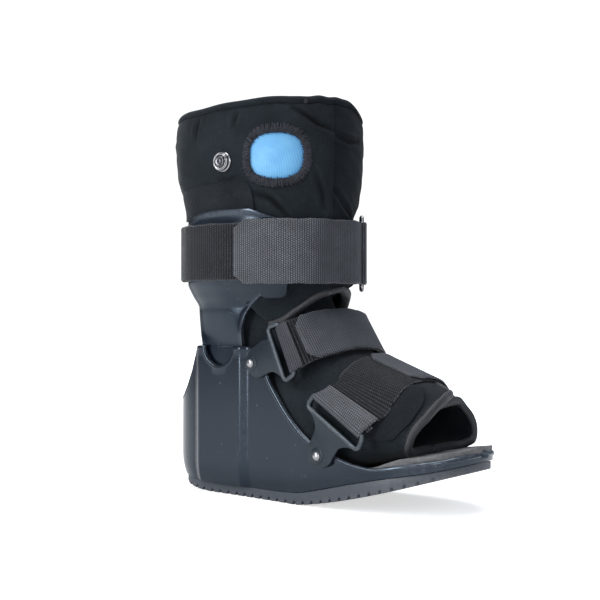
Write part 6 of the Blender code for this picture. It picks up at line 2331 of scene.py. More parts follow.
@dataclass
class CalfLiner:
    """Padded tube round the calf, lapped at the front, with a rolled collar and a bound edge."""

    collar: float = 0.0060
    front_drop: float = 0.0100
    column_step: float = 2.4
    outer_rows: int = 58

    def creases(self) -> tuple[Crease, ...]:
        """Creases of the wall above the strap."""
        return (
            Crease(((-105.9, 0.3000), (-107.8, 0.2950), (-108.6, 0.2900), (-108.0, 0.2850)),
                   0.0011, 0.0020),
            Crease(((-76.8, 0.3010), (-78.5, 0.2958), (-79.8, 0.2904)), 0.0010, 0.0018),
            Crease(((-43.5, 0.3040), (-34.4, 0.2973), (-26.7, 0.2915), (-17.2, 0.2876)),
                   0.0015, 0.0024),
            Crease(((-13.8, 0.2841), (-1.4, 0.2806), (12.0, 0.2812)), 0.0012, 0.0022),
            Crease(((-66.1, 0.2379), (-60.8, 0.2361), (-57.1, 0.2337), (-52.1, 0.2268),
                    (-47.0, 0.2195)), 0.0016, 0.0024),
            Crease(((-14.6, 0.2422), (-4.1, 0.2319), (8.9, 0.2203)), 0.0014, 0.0024),
            Crease(((-30.0, 0.2560), (-24.0, 0.2400), (-22.0, 0.2260)), 0.0008, 0.0026),
            Crease(((-92.0, 0.2520), (-84.0, 0.2500), (-76.0, 0.2530)), 0.0007, 0.0022),
            Crease(((-140.0, 0.2900), (-150.0, 0.2840), (-162.0, 0.2850)), 0.0011, 0.0024),
            Crease(((172.0, 0.2700), (160.0, 0.2620), (146.0, 0.2640)), 0.0012, 0.0024),
            Crease(((-176.0, 0.2420), (-164.0, 0.2360), (-150.0, 0.2370)), 0.0010, 0.0024),
            Crease(((100.0, 0.3000), (88.0, 0.2900), (80.0, 0.2740)), 0.0012, 0.0024),
            Crease(((60.0, 0.2880), (48.0, 0.2800), (34.0, 0.2790)), 0.0012, 0.0024),
            Crease(((70.0, 0.2480), (58.0, 0.2400), (50.0, 0.2260)), 0.0013, 0.0024),
        )

    def columns(self) -> list[tuple[float, float]]:
        """Angle and offset of each column; those at the lap fold back under its edge."""
        lap = [(-17.2, 0.0), (-16.5, 0.00005), (-16.0, -0.0001), (-15.75, -0.0005),
               (-15.65, -0.0012), (-15.75, -0.0022), (-16.0, -0.0031), (-15.3, -0.0027),
               (-14.4, -0.0022)]
        found = []
        count = round(360.0 / self.column_step)
        for i in range(count):
            angle = -180.0 + 360.0 * i / count
            if -18.2 < angle < -13.4:
                continue
            if angle > -13.4 and len(found) and found[-1][0] < -18.0:
                found += lap
            step = -FORM.lap_step if angle > -15.0 else 0.0
            found.append((angle, step * (1.0 - smooth(-5.6, 75.0, angle)) if step else 0.0))
        return found

    @staticmethod
    def fullness(angle: float, z: float) -> float:
        """How far the padded wall stands out above the strap, most at the back."""
        high = smooth(0.234, 0.256, z) * (1.0 - 0.35 * smooth(0.285, 0.312, z))
        back = smooth(95.0, 140.0, abs(angle))
        front = hump(30.0, 40.0, angle)
        return high * (0.0038 * back + 0.0012 * front)

    @staticmethod
    def window(angle: float, z: float) -> float:
        """1 well inside the bulb's window and 0 outside it."""
        mid_angle, mid_z = Seat.BULB.value
        x = math.radians(angle - mid_angle) * FORM.calf_depth * 0.42
        share = (abs(x) / 0.0212) ** 2.4 + (abs(z - mid_z) / 0.0178) ** 2.4
        return 1.0 - smooth(0.80, 1.08, share)

    def rim(self, angle: float) -> float:
        """Height of the top edge, with the soft unevenness of a sewn collar."""
        wave = 0.0004 * math.sin(math.radians(angle * 5.0 + 40.0))
        wave += 0.0003 * math.sin(math.radians(angle * 11.0))
        front = hump(-18.0, 30.0, angle)
        wave += 0.0006 * front * math.sin(math.radians(angle * 24.0))
        drop = self.front_drop * smooth(-8.0, 30.0, angle) * (1.0 - smooth(60.0, 115.0, angle))
        return FORM.collar_level(angle) + wave - drop

    def rows(self) -> list[list[Vector]]:
        """Rows of points up the outside, over the collar, down the inside and closed below."""
        wall, columns = FORM.calf_wall, self.columns()
        grid = []
        for angle, lap in columns:
            low, top = FORM.flap_level(angle), self.rim(angle)
            line = []

            def put(z: float, offset: float, share: float) -> None:
                """Adds a point with its share of the lap's offset."""
                flare = FORM.flap_flare(angle, z)
                sink = 0.0
                if share == 1.0:
                    sink = -0.0042 * self.window(angle, z) - FORM.dent(angle, z)
                line.append(FORM.calf_point(angle, z, offset + flare + lap * share + sink
                                            + self.fullness(angle, z)))

            for z, offset in ((0.0004, -0.0009), (0.0014, 0.0)):
                put(low + z, offset, 1.0)
            for z in spread(low + 0.0034, top - self.collar - 0.0022, self.outer_rows):
                put(z, 0.0, 1.0)
            for z, offset in ((0.0012, -0.0002), (0.0004, -0.0010), (-0.0003, -0.0013),
                              (-0.0009, -0.0008)):
                put(top - self.collar - z, offset, 1.0)
            for turn in spread(-30.0, 210.0, 14):
                a = math.radians(turn)
                share = 0.5 + 0.5 * math.cos(a)
                put(top - 0.0033 + 0.0033 * math.sin(a), -wall / 2.0 + 0.0039 * math.cos(a), share)
            put(top - self.collar - 0.0002, -wall + 0.0008, 0.0)
            for z in spread(top - self.collar - 0.0022, low + 0.0034, 26):
                put(z, -wall, 0.0)
            for z, offset in ((0.0014, -wall), (0.0004, -wall + 0.0009), (0.0, -wall / 2.0)):
                put(low + z, offset, 0.0)
            grid.append(line)
        return [[grid[c][r] for c in range(len(grid))] for r in range(len(grid[0]))]

    @staticmethod
    def place(p: Vector) -> tuple[float, float]:
        """Angle of a point round the calf, and how far it stands off the calf's outside."""
        centre, depth, width = FORM.calf_ring(p.z)
        angle = math.degrees(math.atan2(p.y / width, (p.x - centre) / depth))
        ring = Vector((p.x - centre, p.y, 0.0)).length
        surface = FORM.calf_point(angle, p.z)
        return angle, ring - Vector((surface.x - centre, surface.y, 0.0)).length

    def held(self, p: Vector) -> float:
        """How firmly the wall is held at a point."""
        angle, off = self.place(p)
        size = abs(angle)
        strap = 1.0 - smooth(0.0225, 0.030, abs(p.z - FORM.strap_height))
        wings = smooth(18.0, 30.0, size) * (1.0 - smooth(132.0, 146.0, size))
        wings *= 1.0 - smooth(FORM.strut_top - 0.004, FORM.strut_top + 0.010, p.z)
        collar = smooth(self.rim(angle) - 0.0085, self.rim(angle) - 0.0062, p.z)
        low = 1.0 - smooth(0.002, 0.007, p.z - FORM.flap_level(angle))
        bulb = Seat.BULB.matrix().inverted() @ p
        share = (abs(bulb.x) / 0.030) ** 2.4 + (abs(bulb.y) / 0.0268) ** 2.4
        window = 1.0 - smooth(0.95, 1.5, share)
        valve = 1.0 - smooth(0.009, 0.014, (Seat.VALVE.matrix().inverted() @ p).length)
        patch = 0.6 * (1.0 - smooth(0.248, 0.254, p.z)) * (1.0 - smooth(-70.0, -64.0, angle))
        inner = 0.35 if off < -FORM.calf_wall * 0.6 else 0.0
        return min(1.0, max(strap, wings, collar, low, window, valve, patch, inner, 0.05))

    def build_wall(self) -> bpy.types.Object:
        """Builds the padded wall, puffed and creased."""
        piece = Bench.sheet("calf_liner", self.rows(), closed=True, around=True)
        Padding().puff(piece, self.held)
        creases = self.creases()
        scale = math.radians(1.0) * FORM.calf_depth * 0.45

        def creased(p: Vector) -> Vector:
            """The point moved by the creases and by the cloth's slight unevenness."""
            angle, off = self.place(p)
            if off < -FORM.calf_wall * 0.5 or p.z > self.rim(angle) - self.collar:
                return p
            free = 1.0 - smooth(0.6, 1.0, self.held(p))
            move = 1.7 * sum(c.sink(angle, p.z, scale) for c in creases) * (0.35 + 0.65 * free)
            move += 0.00025 * free * math.sin(angle * 0.31 + p.z * 170.0) * math.sin(p.z * 260.0)
            out = Vector((p.x - FORM.calf_ring(p.z)[0], p.y, 0.0)).normalized()
            return p + out * move

        Bench.reshape(piece, creased)

        def rubbed(p: Vector) -> float:
            """How worn a point is: the collar's roll."""
            return 0.35 * smooth(-0.0025, 0.0, p.z - self.rim(self.place(p)[0]))

        def folded(p: Vector) -> float:
            """How much painted shade a point gets: how deep it lies in a crease, the collar's seam
            or the lap's corner.
            """
            angle, off = self.place(p)
            if off < -FORM.calf_wall * 0.5:
                return 0.0
            sink = -sum(min(0.0, c.sink(angle, p.z, scale)) for c in creases) / 0.0012
            seam = hump(self.rim(angle) - self.collar - 0.0003, 0.0011, p.z)
            corner = hump(-15.2, 1.0, angle) * (0.6 + 0.4 * smooth(0.20, 0.24, p.z))
            return min(0.9, 0.75 * sink + 0.6 * seam + 0.9 * corner)

        Bench.paint(piece, "wear", rubbed)
        # The fold attribute is painted shade, drawn by the cloth's finish.
        Bench.paint(piece, "fold", folded)
        return Bench.settle(piece, 75.0)

    def edge(self, angle: float, drop: float = 0.0) -> Vector:
        """Middle of the free lower edge."""
        low = FORM.flap_level(angle)
        point = FORM.calf_point(angle, low, FORM.flap_flare(angle, low) - FORM.calf_wall / 2.0
                                - FORM.lap_step * smooth(-16.0, -15.0, angle)
                                * (1.0 - smooth(-5.6, 75.0, angle)))
        point.z = low - drop
        return point

    def build_binding(self) -> bpy.types.Object:
        """Builds the tape bound over the free lower edge."""
        path = [self.edge(a, 0.0016) for a in spread(-62.0, 62.0, 110)]
        tape = Bench.rod("flap_tape", path, 0.0044, sides=18, flat=0.78)
        return Bench.settle(tape, 60.0)

    def build_knot(self) -> bpy.types.Object:
        """Builds the small tied-off thread end on the collar."""
        pieces = []
        for turn, lift in ((0.3, 0.0), (-0.8, 0.0004), (1.3, 0.0002)):
            frame = FORM.calf_frame(-35.7, 0.3085, 0.0006 + lift)
            path = [frame @ Vector((0.0016 * s * math.cos(turn), 0.0016 * s * math.sin(turn),
                                    0.0005 * (1.0 - s * s))) for s in spread(-1.0, 1.0, 6)]
            pieces.append(Bench.rod("thread_end", path, 0.00042, sides=8))
        return Bench.settle(Bench.join("collar_knot", pieces), 60.0)

    def build(self, wardrobe: Wardrobe) -> None:
        """Builds and dresses the wall, the binding and the thread end."""
        wall = wardrobe.dress(self.build_wall(), "liner_fabric", "calf_wrap")
        wardrobe.dress(self.build_binding(), "binding_tape", "flap_binding")
        wardrobe.dress(self.build_knot(), "seam_thread", slot="liner_fabric")


@dataclass
class Stitcher:
    """Lays rows of short stitches, all copies of one."""

    length: float = 0.0022
    pitch: float = 0.0034
    radius: float = 0.00034

    def row(self, name: str, path: Sequence[Vector], outward: Callable[[Vector], Vector],
            ) -> bpy.types.Object:
        """Row of stitches along a path.

        Args:
            name: Name of the piece.
            path: Points that the row follows.
            outward: Gives the outward direction at a point.

        Returns:
            The stitches, joined.
        """
        half = self.length / 2.0
        bow = [Vector((half * s, 0.0, self.radius * (0.9 - 1.3 * s * s)))
               for s in spread(-1.0, 1.0, 4)]
        first = Bench.rod("stitch", bow, self.radius, sides=6)
        pieces, run, due = [], 0.0, self.pitch / 2.0
        for low, high in zip(path, path[1:]):
            step = (high - low).length
            while due <= run + step and step > 0.0:
                point = low.lerp(high, (due - run) / step)
                ahead, out = (high - low).normalized(), outward(point)
                side = out.cross(ahead).normalized()
                turn = Matrix((ahead, side, ahead.cross(side))).transposed().to_4x4()
                pieces.append(Bench.copy(first, Matrix.Translation(point) @ turn))
                due += self.pitch
            run += step
        bpy.data.objects.remove(first)
        return Bench.settle(Bench.join(name, pieces), 60.0)


@dataclass
class FootLiner:
    """Padded bootee: its wall, the far flap under the near one, and the bound front edges."""

    columns: int = 132
    tuck: float = 0.0035
    tongue: float = 0.022

    def front(self, index: float, angle: float, offset: float = 0.0) -> Vector:
        """Point on the foot, the toe end carried on in front of the first section."""
        lift = 0.0030 * smooth(126.0, 168.0, abs(angle)) * (1.0 - smooth(0.1, 1.4, index))
        if index >= 0.0:
            return FORM.foot_point(index, angle, offset) + UP * lift
        start = FORM.foot_point(0.0, angle, offset)
        behind = FORM.foot_point(0.3, angle, offset)
        return start + (start - behind).normalized() * (-index * 0.0228) + UP * lift

    @staticmethod
    def edge_index(angle: float) -> float:
        """Place in the table of sections where the front edge lies, by angle."""
        return curve_through((
            (-180.0, 0.25), (-153.5, 0.25), (-126.6, 0.19), (-91.0, 0.05), (-77.4, -0.03),
            (-64.1, -0.13), (-49.5, -0.25), (-33.6, -0.29), (-15.6, -0.25), (4.8, -0.01),
            (22.2, 0.23), (30.0, 0.24), (40.8, 0.15), (61.8, -0.11), (84.6, -0.22), (110.8, -0.26),
            (129.9, -0.04), (150.0, 0.15), (180.0, 0.25)), angle)

    def rows(self) -> list[list[Vector]]:
        """Rows of the outside, from the front edge back to where it is tucked into the calf."""
        angles = [360.0 * c / self.columns - 180.0 for c in range(self.columns)]
        rows = []
        for share in spread(0.0, 1.0, 26):
            line = []
            for angle in angles:
                start = self.edge_index(angle)
                index = start + (2.0 - start) * share
                line.append(self.front(index, angle, self.lap(angle, share)))
            rows.append(line)
        for index in spread(2.1, 9.0, 56):
            rows.append([FORM.foot_point(index, angle) for angle in angles])
        for share in (0.25, 0.55, 0.8, 1.0):
            line = []
            for angle in angles:
                start = FORM.foot_point(9.0, angle)
                front = 1.0 - smooth(30.0, 75.0, abs(angle))
                level = FORM.flap_level(180.0) + self.tuck + self.tongue * front
                inside = FORM.calf_point(angle, level, -FORM.calf_wall - self.tuck * 0.8)
                line.append(start.lerp(inside, share))
            rows.append(line)
        return rows

    @staticmethod
    def lap(angle: float, share: float) -> float:
        """Offset of the near flap, which lies a little proud over the far one."""
        near = smooth(-70.0, -20.0, angle) * (1.0 - smooth(14.0, 26.0, angle))
        return 0.0016 * near * (1.0 - smooth(0.55, 0.95, share))

    def held(self, p: Vector) -> float:
        """How firmly the wall is held at a point."""
        rim = 1.0 - smooth(0.0, 0.008, p.z - FORM.rim_level(p.x))
        front = smooth(0.060, 0.072, p.x)
        back = 1.0 - smooth(-0.030, -0.012, p.x)
        high = smooth(0.115, 0.135, p.z)
        return min(1.0, max(rim, front, back, high, 0.05))

    def build_wall(self) -> bpy.types.Object:
        """Builds the bootee's wall."""
        piece = Bench.sheet("foot_liner", self.rows(), closed=True)
        Bench.face(piece, lambda p: p - Vector((p.x, 0.0, 0.055)))
        Bench.apply(piece, "SOLIDIFY", thickness=FORM.foot_wall, offset=-1.0, use_even_offset=False)
        Padding(pressure=3.0, cap=0.0016).puff(piece, self.held)

        def uneven(p: Vector) -> Vector:
            """The point moved by the cloth's slight unevenness."""
            free = 1.0 - self.held(p)
            move = 0.0006 * math.sin(p.x * 130.0 + p.z * 60.0) * math.sin(p.z * 190.0 + p.y * 40.0)
            return p + Vector((0.0, math.copysign(free * move, p.y), 0.0))

        Bench.reshape(piece, uneven)
        return Bench.settle(piece, 75.0)

    def flap_path(self) -> list[Vector]:
        """Free edge of the far flap, from under the near one round to the far front edge."""
        known = [Vector(p) for p in ((0.0995, -0.0330, 0.0640), (0.1030, -0.0240, 0.0708),
                                     (0.1050, -0.0150, 0.0755), (0.1055, -0.0040, 0.0780),
                                     (0.1055, 0.0060, 0.0791), (0.1052, 0.0170, 0.0798),
                                     (0.1050, 0.0260, 0.0792))]
        known += [self.front(self.edge_index(a) - 0.03, a, -FORM.foot_wall * 0.4)
                  for a in (46.0, 54.0)]
        found = []
        for i in range(len(known) - 2):
            p = [known[max(0, i - 1)], known[i], known[i + 1], known[i + 2]]
            for s in range(8):
                t = s / 8.0
                found.append((p[1] * 2.0 + (p[2] - p[0]) * t
                              + (p[0] * 2.0 - p[1] * 5.0 + p[2] * 4.0 - p[3]) * (t * t)
                              + (p[1] * 3.0 - p[0] - p[2] * 3.0 + p[3]) * (t ** 3)) * 0.5)
        return found

    def build_flap(self) -> bpy.types.Object:
        """Builds the far flap's end under the near flap."""
        edge = self.flap_path()
        rows = []
        for share in spread(0.0, 1.0, 10):
            line = []
            for start in edge:
                angle = math.degrees(math.atan2(start.y, (start.z - 0.055) * 1.15))
                deep = 1.0 - smooth(10.0, 44.0, angle)
                goal = FORM.foot_point(1.5, angle, -0.0030 - 0.0040 * deep)
                line.append(start.lerp(goal, share))
            rows.append(line)
        piece = Bench.sheet("far_flap_end", rows)
        Bench.face(piece, lambda p: p - Vector((p.x, 0.0, 0.055)))
        Bench.apply(piece, "SOLIDIFY", thickness=0.0036, offset=0.0, use_even_offset=False)
        Bench.subdivide(piece)
        return Bench.settle(piece, 60.0)

    def build_bindings(self) -> list[bpy.types.Object]:
        """Builds the tape over the near front edge and over the far one."""
        half = FORM.foot_wall / 2.0
        near = [self.front(self.edge_index(a) - 0.02, a, self.lap(a, 0.0) - half)
                for a in spread(-186.0, 17.0, 150) if a > -179.0]
        lap_line = [self.front(i, 17.0 + 3.0 * (i - 0.3), 0.0010 - half * 0.4)
                    for i in spread(0.42, 1.3, 10)]
        far = self.flap_path()
        far += [self.front(self.edge_index(a) - 0.03, a, -half) for a in spread(50.0, 179.0, 90)]
        lean = Vector((1.0, 0.0, 0.0))
        tapes = []
        for name, path, radius in (("near_toe_tape", near + lap_line, 0.0037),
                                   ("far_toe_tape", far, 0.0034)):
            tape = Bench.rod(name, path, radius, sides=16, flat=0.80, lean=lean)
            tapes.append(Bench.settle(tape, 60.0))
        return tapes

    def build_stitches(self) -> bpy.types.Object:
        """Builds the row of stitches along the near tape's rear half."""
        rise = 0.0034 - FORM.foot_wall / 2.0
        path = [self.front(self.edge_index(a) + 0.055, a, self.lap(a, 0.0) + rise)
                for a in spread(-160.0, -12.0, 120)]
        return Stitcher().row("toe_tape_stitches", path,
                              lambda p: Vector((0.0, p.y, p.z - 0.035)).normalized())

    def build(self, wardrobe: Wardrobe) -> None:
        """Builds and dresses the wall, the flap's end and the bindings."""
        wall = wardrobe.dress(self.build_wall(), "liner_fabric", "foot_wrap")
        flap = wardrobe.dress(self.build_flap(), "liner_fabric")
        near, far = self.build_bindings()
        wardrobe.dress(near, "binding_tape", "toe_binding")
        wardrobe.dress(far, "binding_tape")
        wardrobe.dress(self.build_stitches(), "seam_thread", slot="binding_tape")


@dataclass
class AirCell:
    """Bulb under its mesh, the embroidered ring round it, and the release valve."""

    half_wide: float = 0.0205
    half_tall: float = 0.0172
    power: float = 0.80
    crown: float = 0.0034
    sink: float = 0.0018
    hem: float = 0.0016
    ring_out: float = 0.0036
    ring_stitches: int = 132

    def oval(self, turn: float, extra: float) -> tuple[float, float]:
        """Local point on the rounded outline, pushed out by extra."""
        c, s = math.cos(turn), math.sin(turn)
        return (math.copysign(abs(c) ** self.power, c) * (self.half_wide + extra),
                math.copysign(abs(s) ** self.power, s) * (self.half_tall + extra))

    @staticmethod
    def bend(x: float) -> float:
        """How far the calf's round side falls away at a local x."""
        return -0.5 * x * x / (FORM.calf_depth * 0.42)

    def build_bulb(self) -> bpy.types.Object:
        """Builds the pillow, fuller at the top and flat toward its hem."""
        frame = Seat.BULB.matrix()
        shares = [math.sin(math.radians(90.0 * i / 30)) for i in range(1, 31)] + [1.02]
        rows = []
        for share in [0.004] + shares:
            line = []
            for i in range(96):
                x, y = self.oval(math.tau * i / 96, self.hem)
                x, y = x * share, y * share
                edge = min(1.0, share)
                height = self.crown * (1.0 - edge ** 3.2) ** 0.9 - self.sink
                height += 0.00035 * math.sin(x * 210.0 + 1.0) * math.sin(y * 170.0) * (1.0 - edge)
                if share > 1.0:
                    height -= 0.003
                line.append(Vector((x, y, height + self.bend(x))))
            rows.append(line)
        local = [[(p.x, p.y) for p in line] for line in rows]
        placed = [[frame @ p for p in line] for line in rows]
        piece = Bench.sheet("bulb_pillow", placed, closed=True, chart=lambda r, c: local[r][c % 96])
        Bench.face(piece, lambda p: frame.col[2].to_3d())
        inverse = frame.inverted()

        def deep(p: Vector) -> float:
            """How much painted shade a point gets: 1 at the pillow's edge and 0 in its middle."""
            q = inverse @ p
            share = (abs(q.x) / (self.half_wide + self.hem)) ** 2.5
            share += (abs(q.y) / (self.half_tall + self.hem)) ** 2.5
            return 0.05 + 0.90 * smooth(0.62, 0.98, share)

        # The rim attribute is painted shade round the pillow's edge.
        Bench.paint(piece, "rim", deep)
        return Bench.settle(piece, 60.0)

    def build_ring(self) -> bpy.types.Object:
        """Builds the ring of radial stitches over its dark base."""
        frame = Seat.BULB.matrix()
        dice = random.Random(7)
        path = []
        for i in range(120):
            x, y = self.oval(math.tau * i / 120, self.ring_out)
            path.append(frame @ Vector((x, y, self.bend(x) - 0.0004)))
        base = Bench.rod("ring_base", path, 0.0029, sides=12, loop=True, flat=0.25,
                         lean=frame.col[2].to_3d())
        bow = [Vector((0.0031 * s, 0.0, 0.0012 * (1.0 - abs(s) ** 2.6) - 0.0002))
               for s in spread(-1.0, 1.0, 6)]
        first = Bench.rod("radial_stitch", bow, 0.00050, sides=6, flat=0.9)
        pieces, count = [base], self.ring_stitches
        place = [self.oval(math.tau * i / 720, self.ring_out) for i in range(721)]
        runs = [0.0]
        for low, high in zip(place, place[1:]):
            runs.append(runs[-1] + math.dist(low, high))
        for k in range(count):
            due = runs[-1] * (k + dice.uniform(-0.22, 0.22)) / count % runs[-1]
            i = min(719, next(n for n in range(720) if runs[n + 1] >= due))
            x, y = place[i]
            ahead = Vector((place[i + 1][0] - place[i][0], place[i + 1][1] - place[i][1], 0.0))
            ahead.normalize()
            out = Vector((ahead.y, -ahead.x, 0.0))
            out = (out + ahead * dice.uniform(-0.26, 0.26)).normalized()
            lean = UP * (2.0 * self.bend(1.0) * x * out.x)
            out = (out + lean).normalized()
            side = UP.cross(out).normalized()
            shift = dice.uniform(-0.0004, 0.0009)
            turn = Matrix((out, side, out.cross(side))).transposed().to_4x4()
            size = Matrix.Diagonal((dice.uniform(0.86, 1.14), dice.uniform(0.8, 1.15),
                                    dice.uniform(0.8, 1.2), 1.0))
            spot = Matrix.Translation(Vector((x, y, self.bend(x) + 0.0006)) + out * shift)
            pieces.append(Bench.copy(first, frame @ spot @ turn @ size))
        bpy.data.objects.remove(first)
        return Bench.settle(Bench.join("stitched_ring", pieces), 60.0)

    def build_valve(self, wardrobe: Wardrobe) -> None:
        """Builds and dresses the valve's cup and its button."""
        seat = Seat.VALVE.matrix(0.0006)
        cup = ((0.0, 0.0012), (0.0046, 0.0012), (0.0049, 0.0016), (0.0049, 0.0034),
               (0.0051, 0.0039), (0.0055, 0.0041), (0.0059, 0.0038), (0.0061, 0.0033),
               (0.0064, 0.0034), (0.0067, 0.0036), (0.0070, 0.0034), (0.00715, 0.0029),
               (0.0071, 0.0010), (0.0075, 0.0005), (0.0078, 0.0002), (0.0076, -0.0004),
               (0.0, -0.0004))
        piece = Bench.spun("valve_cup", cup, seat, 64)
        wardrobe.dress(Bench.settle(piece, 40.0), "bright_metal", "valve_body")
        button = ((0.0, 0.0049), (0.0010, 0.0049), (0.0017, 0.0047), (0.0020, 0.0044),
                  (0.0026, 0.0044), (0.0032, 0.0048), (0.0038, 0.0048), (0.0043, 0.0045),
                  (0.0046, 0.0040), (0.0046, 0.0028), (0.0, 0.0028))
        piece = Bench.spun("valve_cap", button, seat, 48)
        wardrobe.dress(Bench.settle(piece, 40.0), "dark_nickel", "valve_button",
                       slot="bright_metal", body=BUTTON_BODY)

    def build(self, wardrobe: Wardrobe) -> None:
        """Builds and dresses the bulb, the ring and the valve."""
        bulb = wardrobe.dress(self.build_bulb(), "bulb_blue", "air_bulb")
        wardrobe.dress(self.build_ring(), "seam_thread", slot="liner_fabric")
        self.build_valve(wardrobe)


@dataclass
class Patches:
    """Loop patches on the calf and near the toe, and the keeper under the calf strap."""

    thick: float = 0.0012
    keeper_low: float = 0.1578
    keeper_top: float = 0.180
    keeper_angle: float = -56.2
    keeper_half: float = 8.8

    def slab(self, name: str, rows: Sequence[Sequence[Vector]],
             outward: Callable[[Vector], Vector]) -> bpy.types.Object:
        """Thin patch over rows of points, its rim softened."""
        piece = Bench.sheet(name, rows)
        Bench.face(piece, outward)
        Bench.apply(piece, "SOLIDIFY", thickness=self.thick, offset=1.0, use_even_offset=False)
        Bench.apply(piece, "BEVEL", width=0.0004, segments=2, limit_method="ANGLE",
                    angle_limit=math.radians(50.0))
        return Bench.settle(piece, 60.0)

    def build_calf(self) -> bpy.types.Object:
        """Builds the patch over the near wing's top."""
        scale = math.radians(1.0) * FORM.calf_depth * 0.44
        first, last, corner = -140.0, -68.6, 0.010
        low = FORM.strut_top - 0.006
        rows = []
        for share in spread(0.0, 1.0, 14):
            line = []
            for angle in spread(first, last, 70):
                top = curve_through(((-140.0, 0.2425), (-128.7, 0.2447), (-100.0, 0.2468),
                                     (-76.4, 0.2484)), angle)
                for away in ((last - angle) * scale, (angle - first) * scale):
                    if away < corner:
                        rest = 1.0 - away / corner
                        top -= corner * (1.0 - math.sqrt(max(0.0, 1.0 - rest ** 2)))
                wave = 0.00015 * math.sin(angle * 0.9)
                line.append(FORM.calf_point(angle, low + share * (top + wave - low), 0.0006))
            rows.append(line)
        return self.slab("calf_loop_patch", rows, lambda p: Vector((p.x + 0.057, p.y, 0.0)))

    def build_toe(self) -> bpy.types.Object:
        """Builds the patch between the forefoot strap and the near front edge."""
        outline = ((-94.0, 0.85), (-91.7, 0.54), (-82.0, 0.30), (-63.3, 0.03), (-41.6, -0.03),
                   (-27.3, 0.14), (-20.5, 0.36), (-17.0, 0.75))
        liner = FootLiner()
        rows = []
        for share in spread(0.0, 1.0, 22):
            line = []
            for angle in spread(-94.0, -17.0, 60):
                start = curve_through(outline, angle)
                index = start + (1.35 - start) * share
                line.append(liner.front(index, angle, 0.0005 + liner.lap(angle, 0.0)
                                        * (1.0 - smooth(0.2, 0.75, share))))
            rows.append(line)
        return self.slab("toe_loop_patch", rows, lambda p: Vector((0.0, p.y, p.z - 0.055)))

    def build_keeper(self) -> bpy.types.Object:
        """Builds the small rounded tab that hangs below the calf strap."""
        rows = []
        for share in spread(0.0, 1.0, 16):
            line = []
            for s in spread(-1.0, 1.0, 24):
                past = max(0.0, abs(s) - 0.45)
                drop = 0.0045 * (1.0 - math.sqrt(max(0.0, 1.0 - past ** 2 / 0.3025)))
                low = self.keeper_low + drop
                z = low + share * (self.keeper_top - low)
                angle = self.keeper_angle + self.keeper_half * s
                line.append(FORM.calf_point(angle, z, 0.0052 + 0.0006 * (1.0 - share)))
            rows.append(line)
        return self.slab("strap_keeper", rows, lambda p: Vector((p.x + 0.057, p.y, 0.0)))

    def build(self, wardrobe: Wardrobe) -> None:
        """Builds and dresses the patches and the keeper."""
        wardrobe.dress(self.build_calf(), "loop_fabric", "calf_patch")
        wardrobe.dress(self.build_toe(), "loop_fabric", "toe_patch")
        wardrobe.dress(self.build_keeper(), "keeper_plastic", slot="black_webbing")


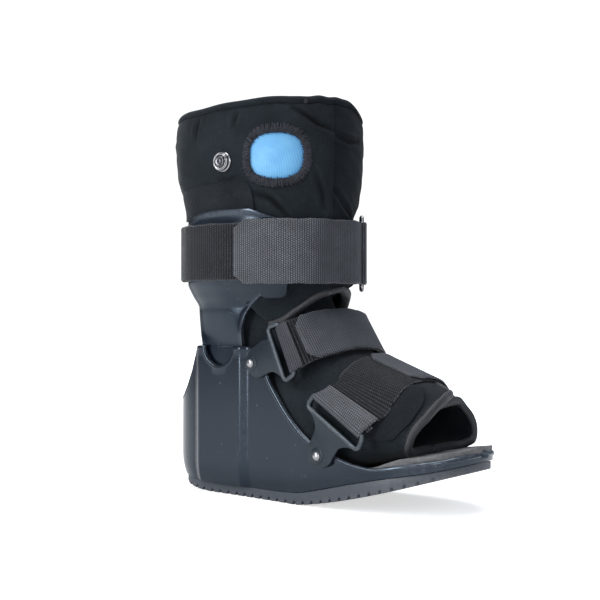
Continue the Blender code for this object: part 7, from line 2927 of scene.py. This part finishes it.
@dataclass
class Studio:
    """Pale floor, soft lights, and the camera at the photograph's view."""

    floor_radius: float = 4.0
    room_tint: tuple[float, float, float] = (0.82, 0.94, 1.12)
    room_strength: float = 0.26
    backdrop_strength: float = 1.1
    aim: tuple[float, float, float] = (0.0, 0.0, 0.12)
    camera_place: tuple[float, float, float] = (0.56055, -0.75249, 0.156)
    camera_turn: float = 38.0
    lens: float = 70.62
    sensor: float = 36.0
    lights: tuple = (
        ("key_softbox", (-0.75, -1.5, 1.35), 0.9, 0.9, 15.0),
        ("strip_softbox", (-0.25, -1.55, 0.55), 0.26, 1.1, 17.0),
        ("front_softbox", (1.30, -1.05, 0.65), 0.30, 1.0, 7.0),
        ("top_softbox", (0.1, 0.1, 1.9), 1.1, 1.1, 26.0),
        ("back_softbox", (-1.45, 0.65, 0.70), 0.35, 1.2, 12.0),
    )

    def build(self, wardrobe: Wardrobe) -> None:
        """Builds the floor, the lights and the camera."""
        Bench.take()
        bpy.ops.mesh.primitive_circle_add(vertices=64, radius=self.floor_radius, fill_type="NGON",
                                          location=(0.0, 0.0, -0.0002))
        floor = Bench.label("studio_floor")
        Bench.take(floor)
        bpy.ops.object.transform_apply(location=True, rotation=True, scale=True)
        floor.data.materials.append(wardrobe.materials["pale_floor"])
        bpy.context.scene.view_settings.view_transform = "Standard"
        world = bpy.data.worlds.new("white_room")
        bpy.context.scene.world = world
        world.use_nodes = True
        desk = NodeDesk(world.node_tree)
        back = world.node_tree.nodes["Background"]
        seen = desk.add("LightPath").outputs["Is Camera Ray"]
        desk.put(back.inputs["Color"], desk.blend(seen, self.room_tint, (1.0, 1.0, 1.0)))
        desk.put(back.inputs["Strength"],
                 desk.ramp(seen, 0.0, 1.0, self.room_strength, self.backdrop_strength))
        for name, place, wide, tall, power in self.lights:
            Bench.take()
            bpy.ops.object.light_add(type="AREA", location=place)
            light = bpy.context.object
            light.name = name
            light.data.shape = "RECTANGLE"
            light.data.size, light.data.size_y = wide, tall
            light.data.energy = power
            aim = Vector(self.aim) - Vector(place)
            light.rotation_euler = aim.to_track_quat("-Z", "Y").to_euler()
        turn = (math.radians(90.0), 0.0, math.radians(self.camera_turn))
        bpy.ops.object.camera_add(location=self.camera_place, rotation=turn)
        camera = bpy.context.object
        camera.name = "photo_view"
        camera.data.lens = self.lens
        camera.data.sensor_width = self.sensor
        bpy.context.scene.camera = camera


def main() -> None:
    """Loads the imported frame, builds every sub-assembly round it, and sets the studio."""
    logging.basicConfig(level=logging.INFO, format="%(name)s %(message)s")
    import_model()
    wardrobe = Wardrobe()
    Sole().build(wardrobe)
    Shell().build(wardrobe)
    Struts().build(wardrobe)
    ANKLE_BRACKET.build(wardrobe)
    FOREFOOT_BRACKET.build(wardrobe)
    CalfLiner().build(wardrobe)
    FootLiner().build(wardrobe)
    AirCell().build(wardrobe)
    Patches().build(wardrobe)
    weaver = Weaver()
    CalfStrap().build(wardrobe, weaver)
    OverStrap("ankle_strap", ANKLE_BRACKET, 0.038, 0.0125, 41, 0.0070,
              fold_finish="fold_webbing").build(wardrobe, weaver)
    OverStrap("forefoot_strap", FOREFOOT_BRACKET, 0.050, 0.062, 53).build(wardrobe, weaver)
    Studio().build(wardrobe)
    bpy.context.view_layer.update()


if __name__ == "__main__":
    main()
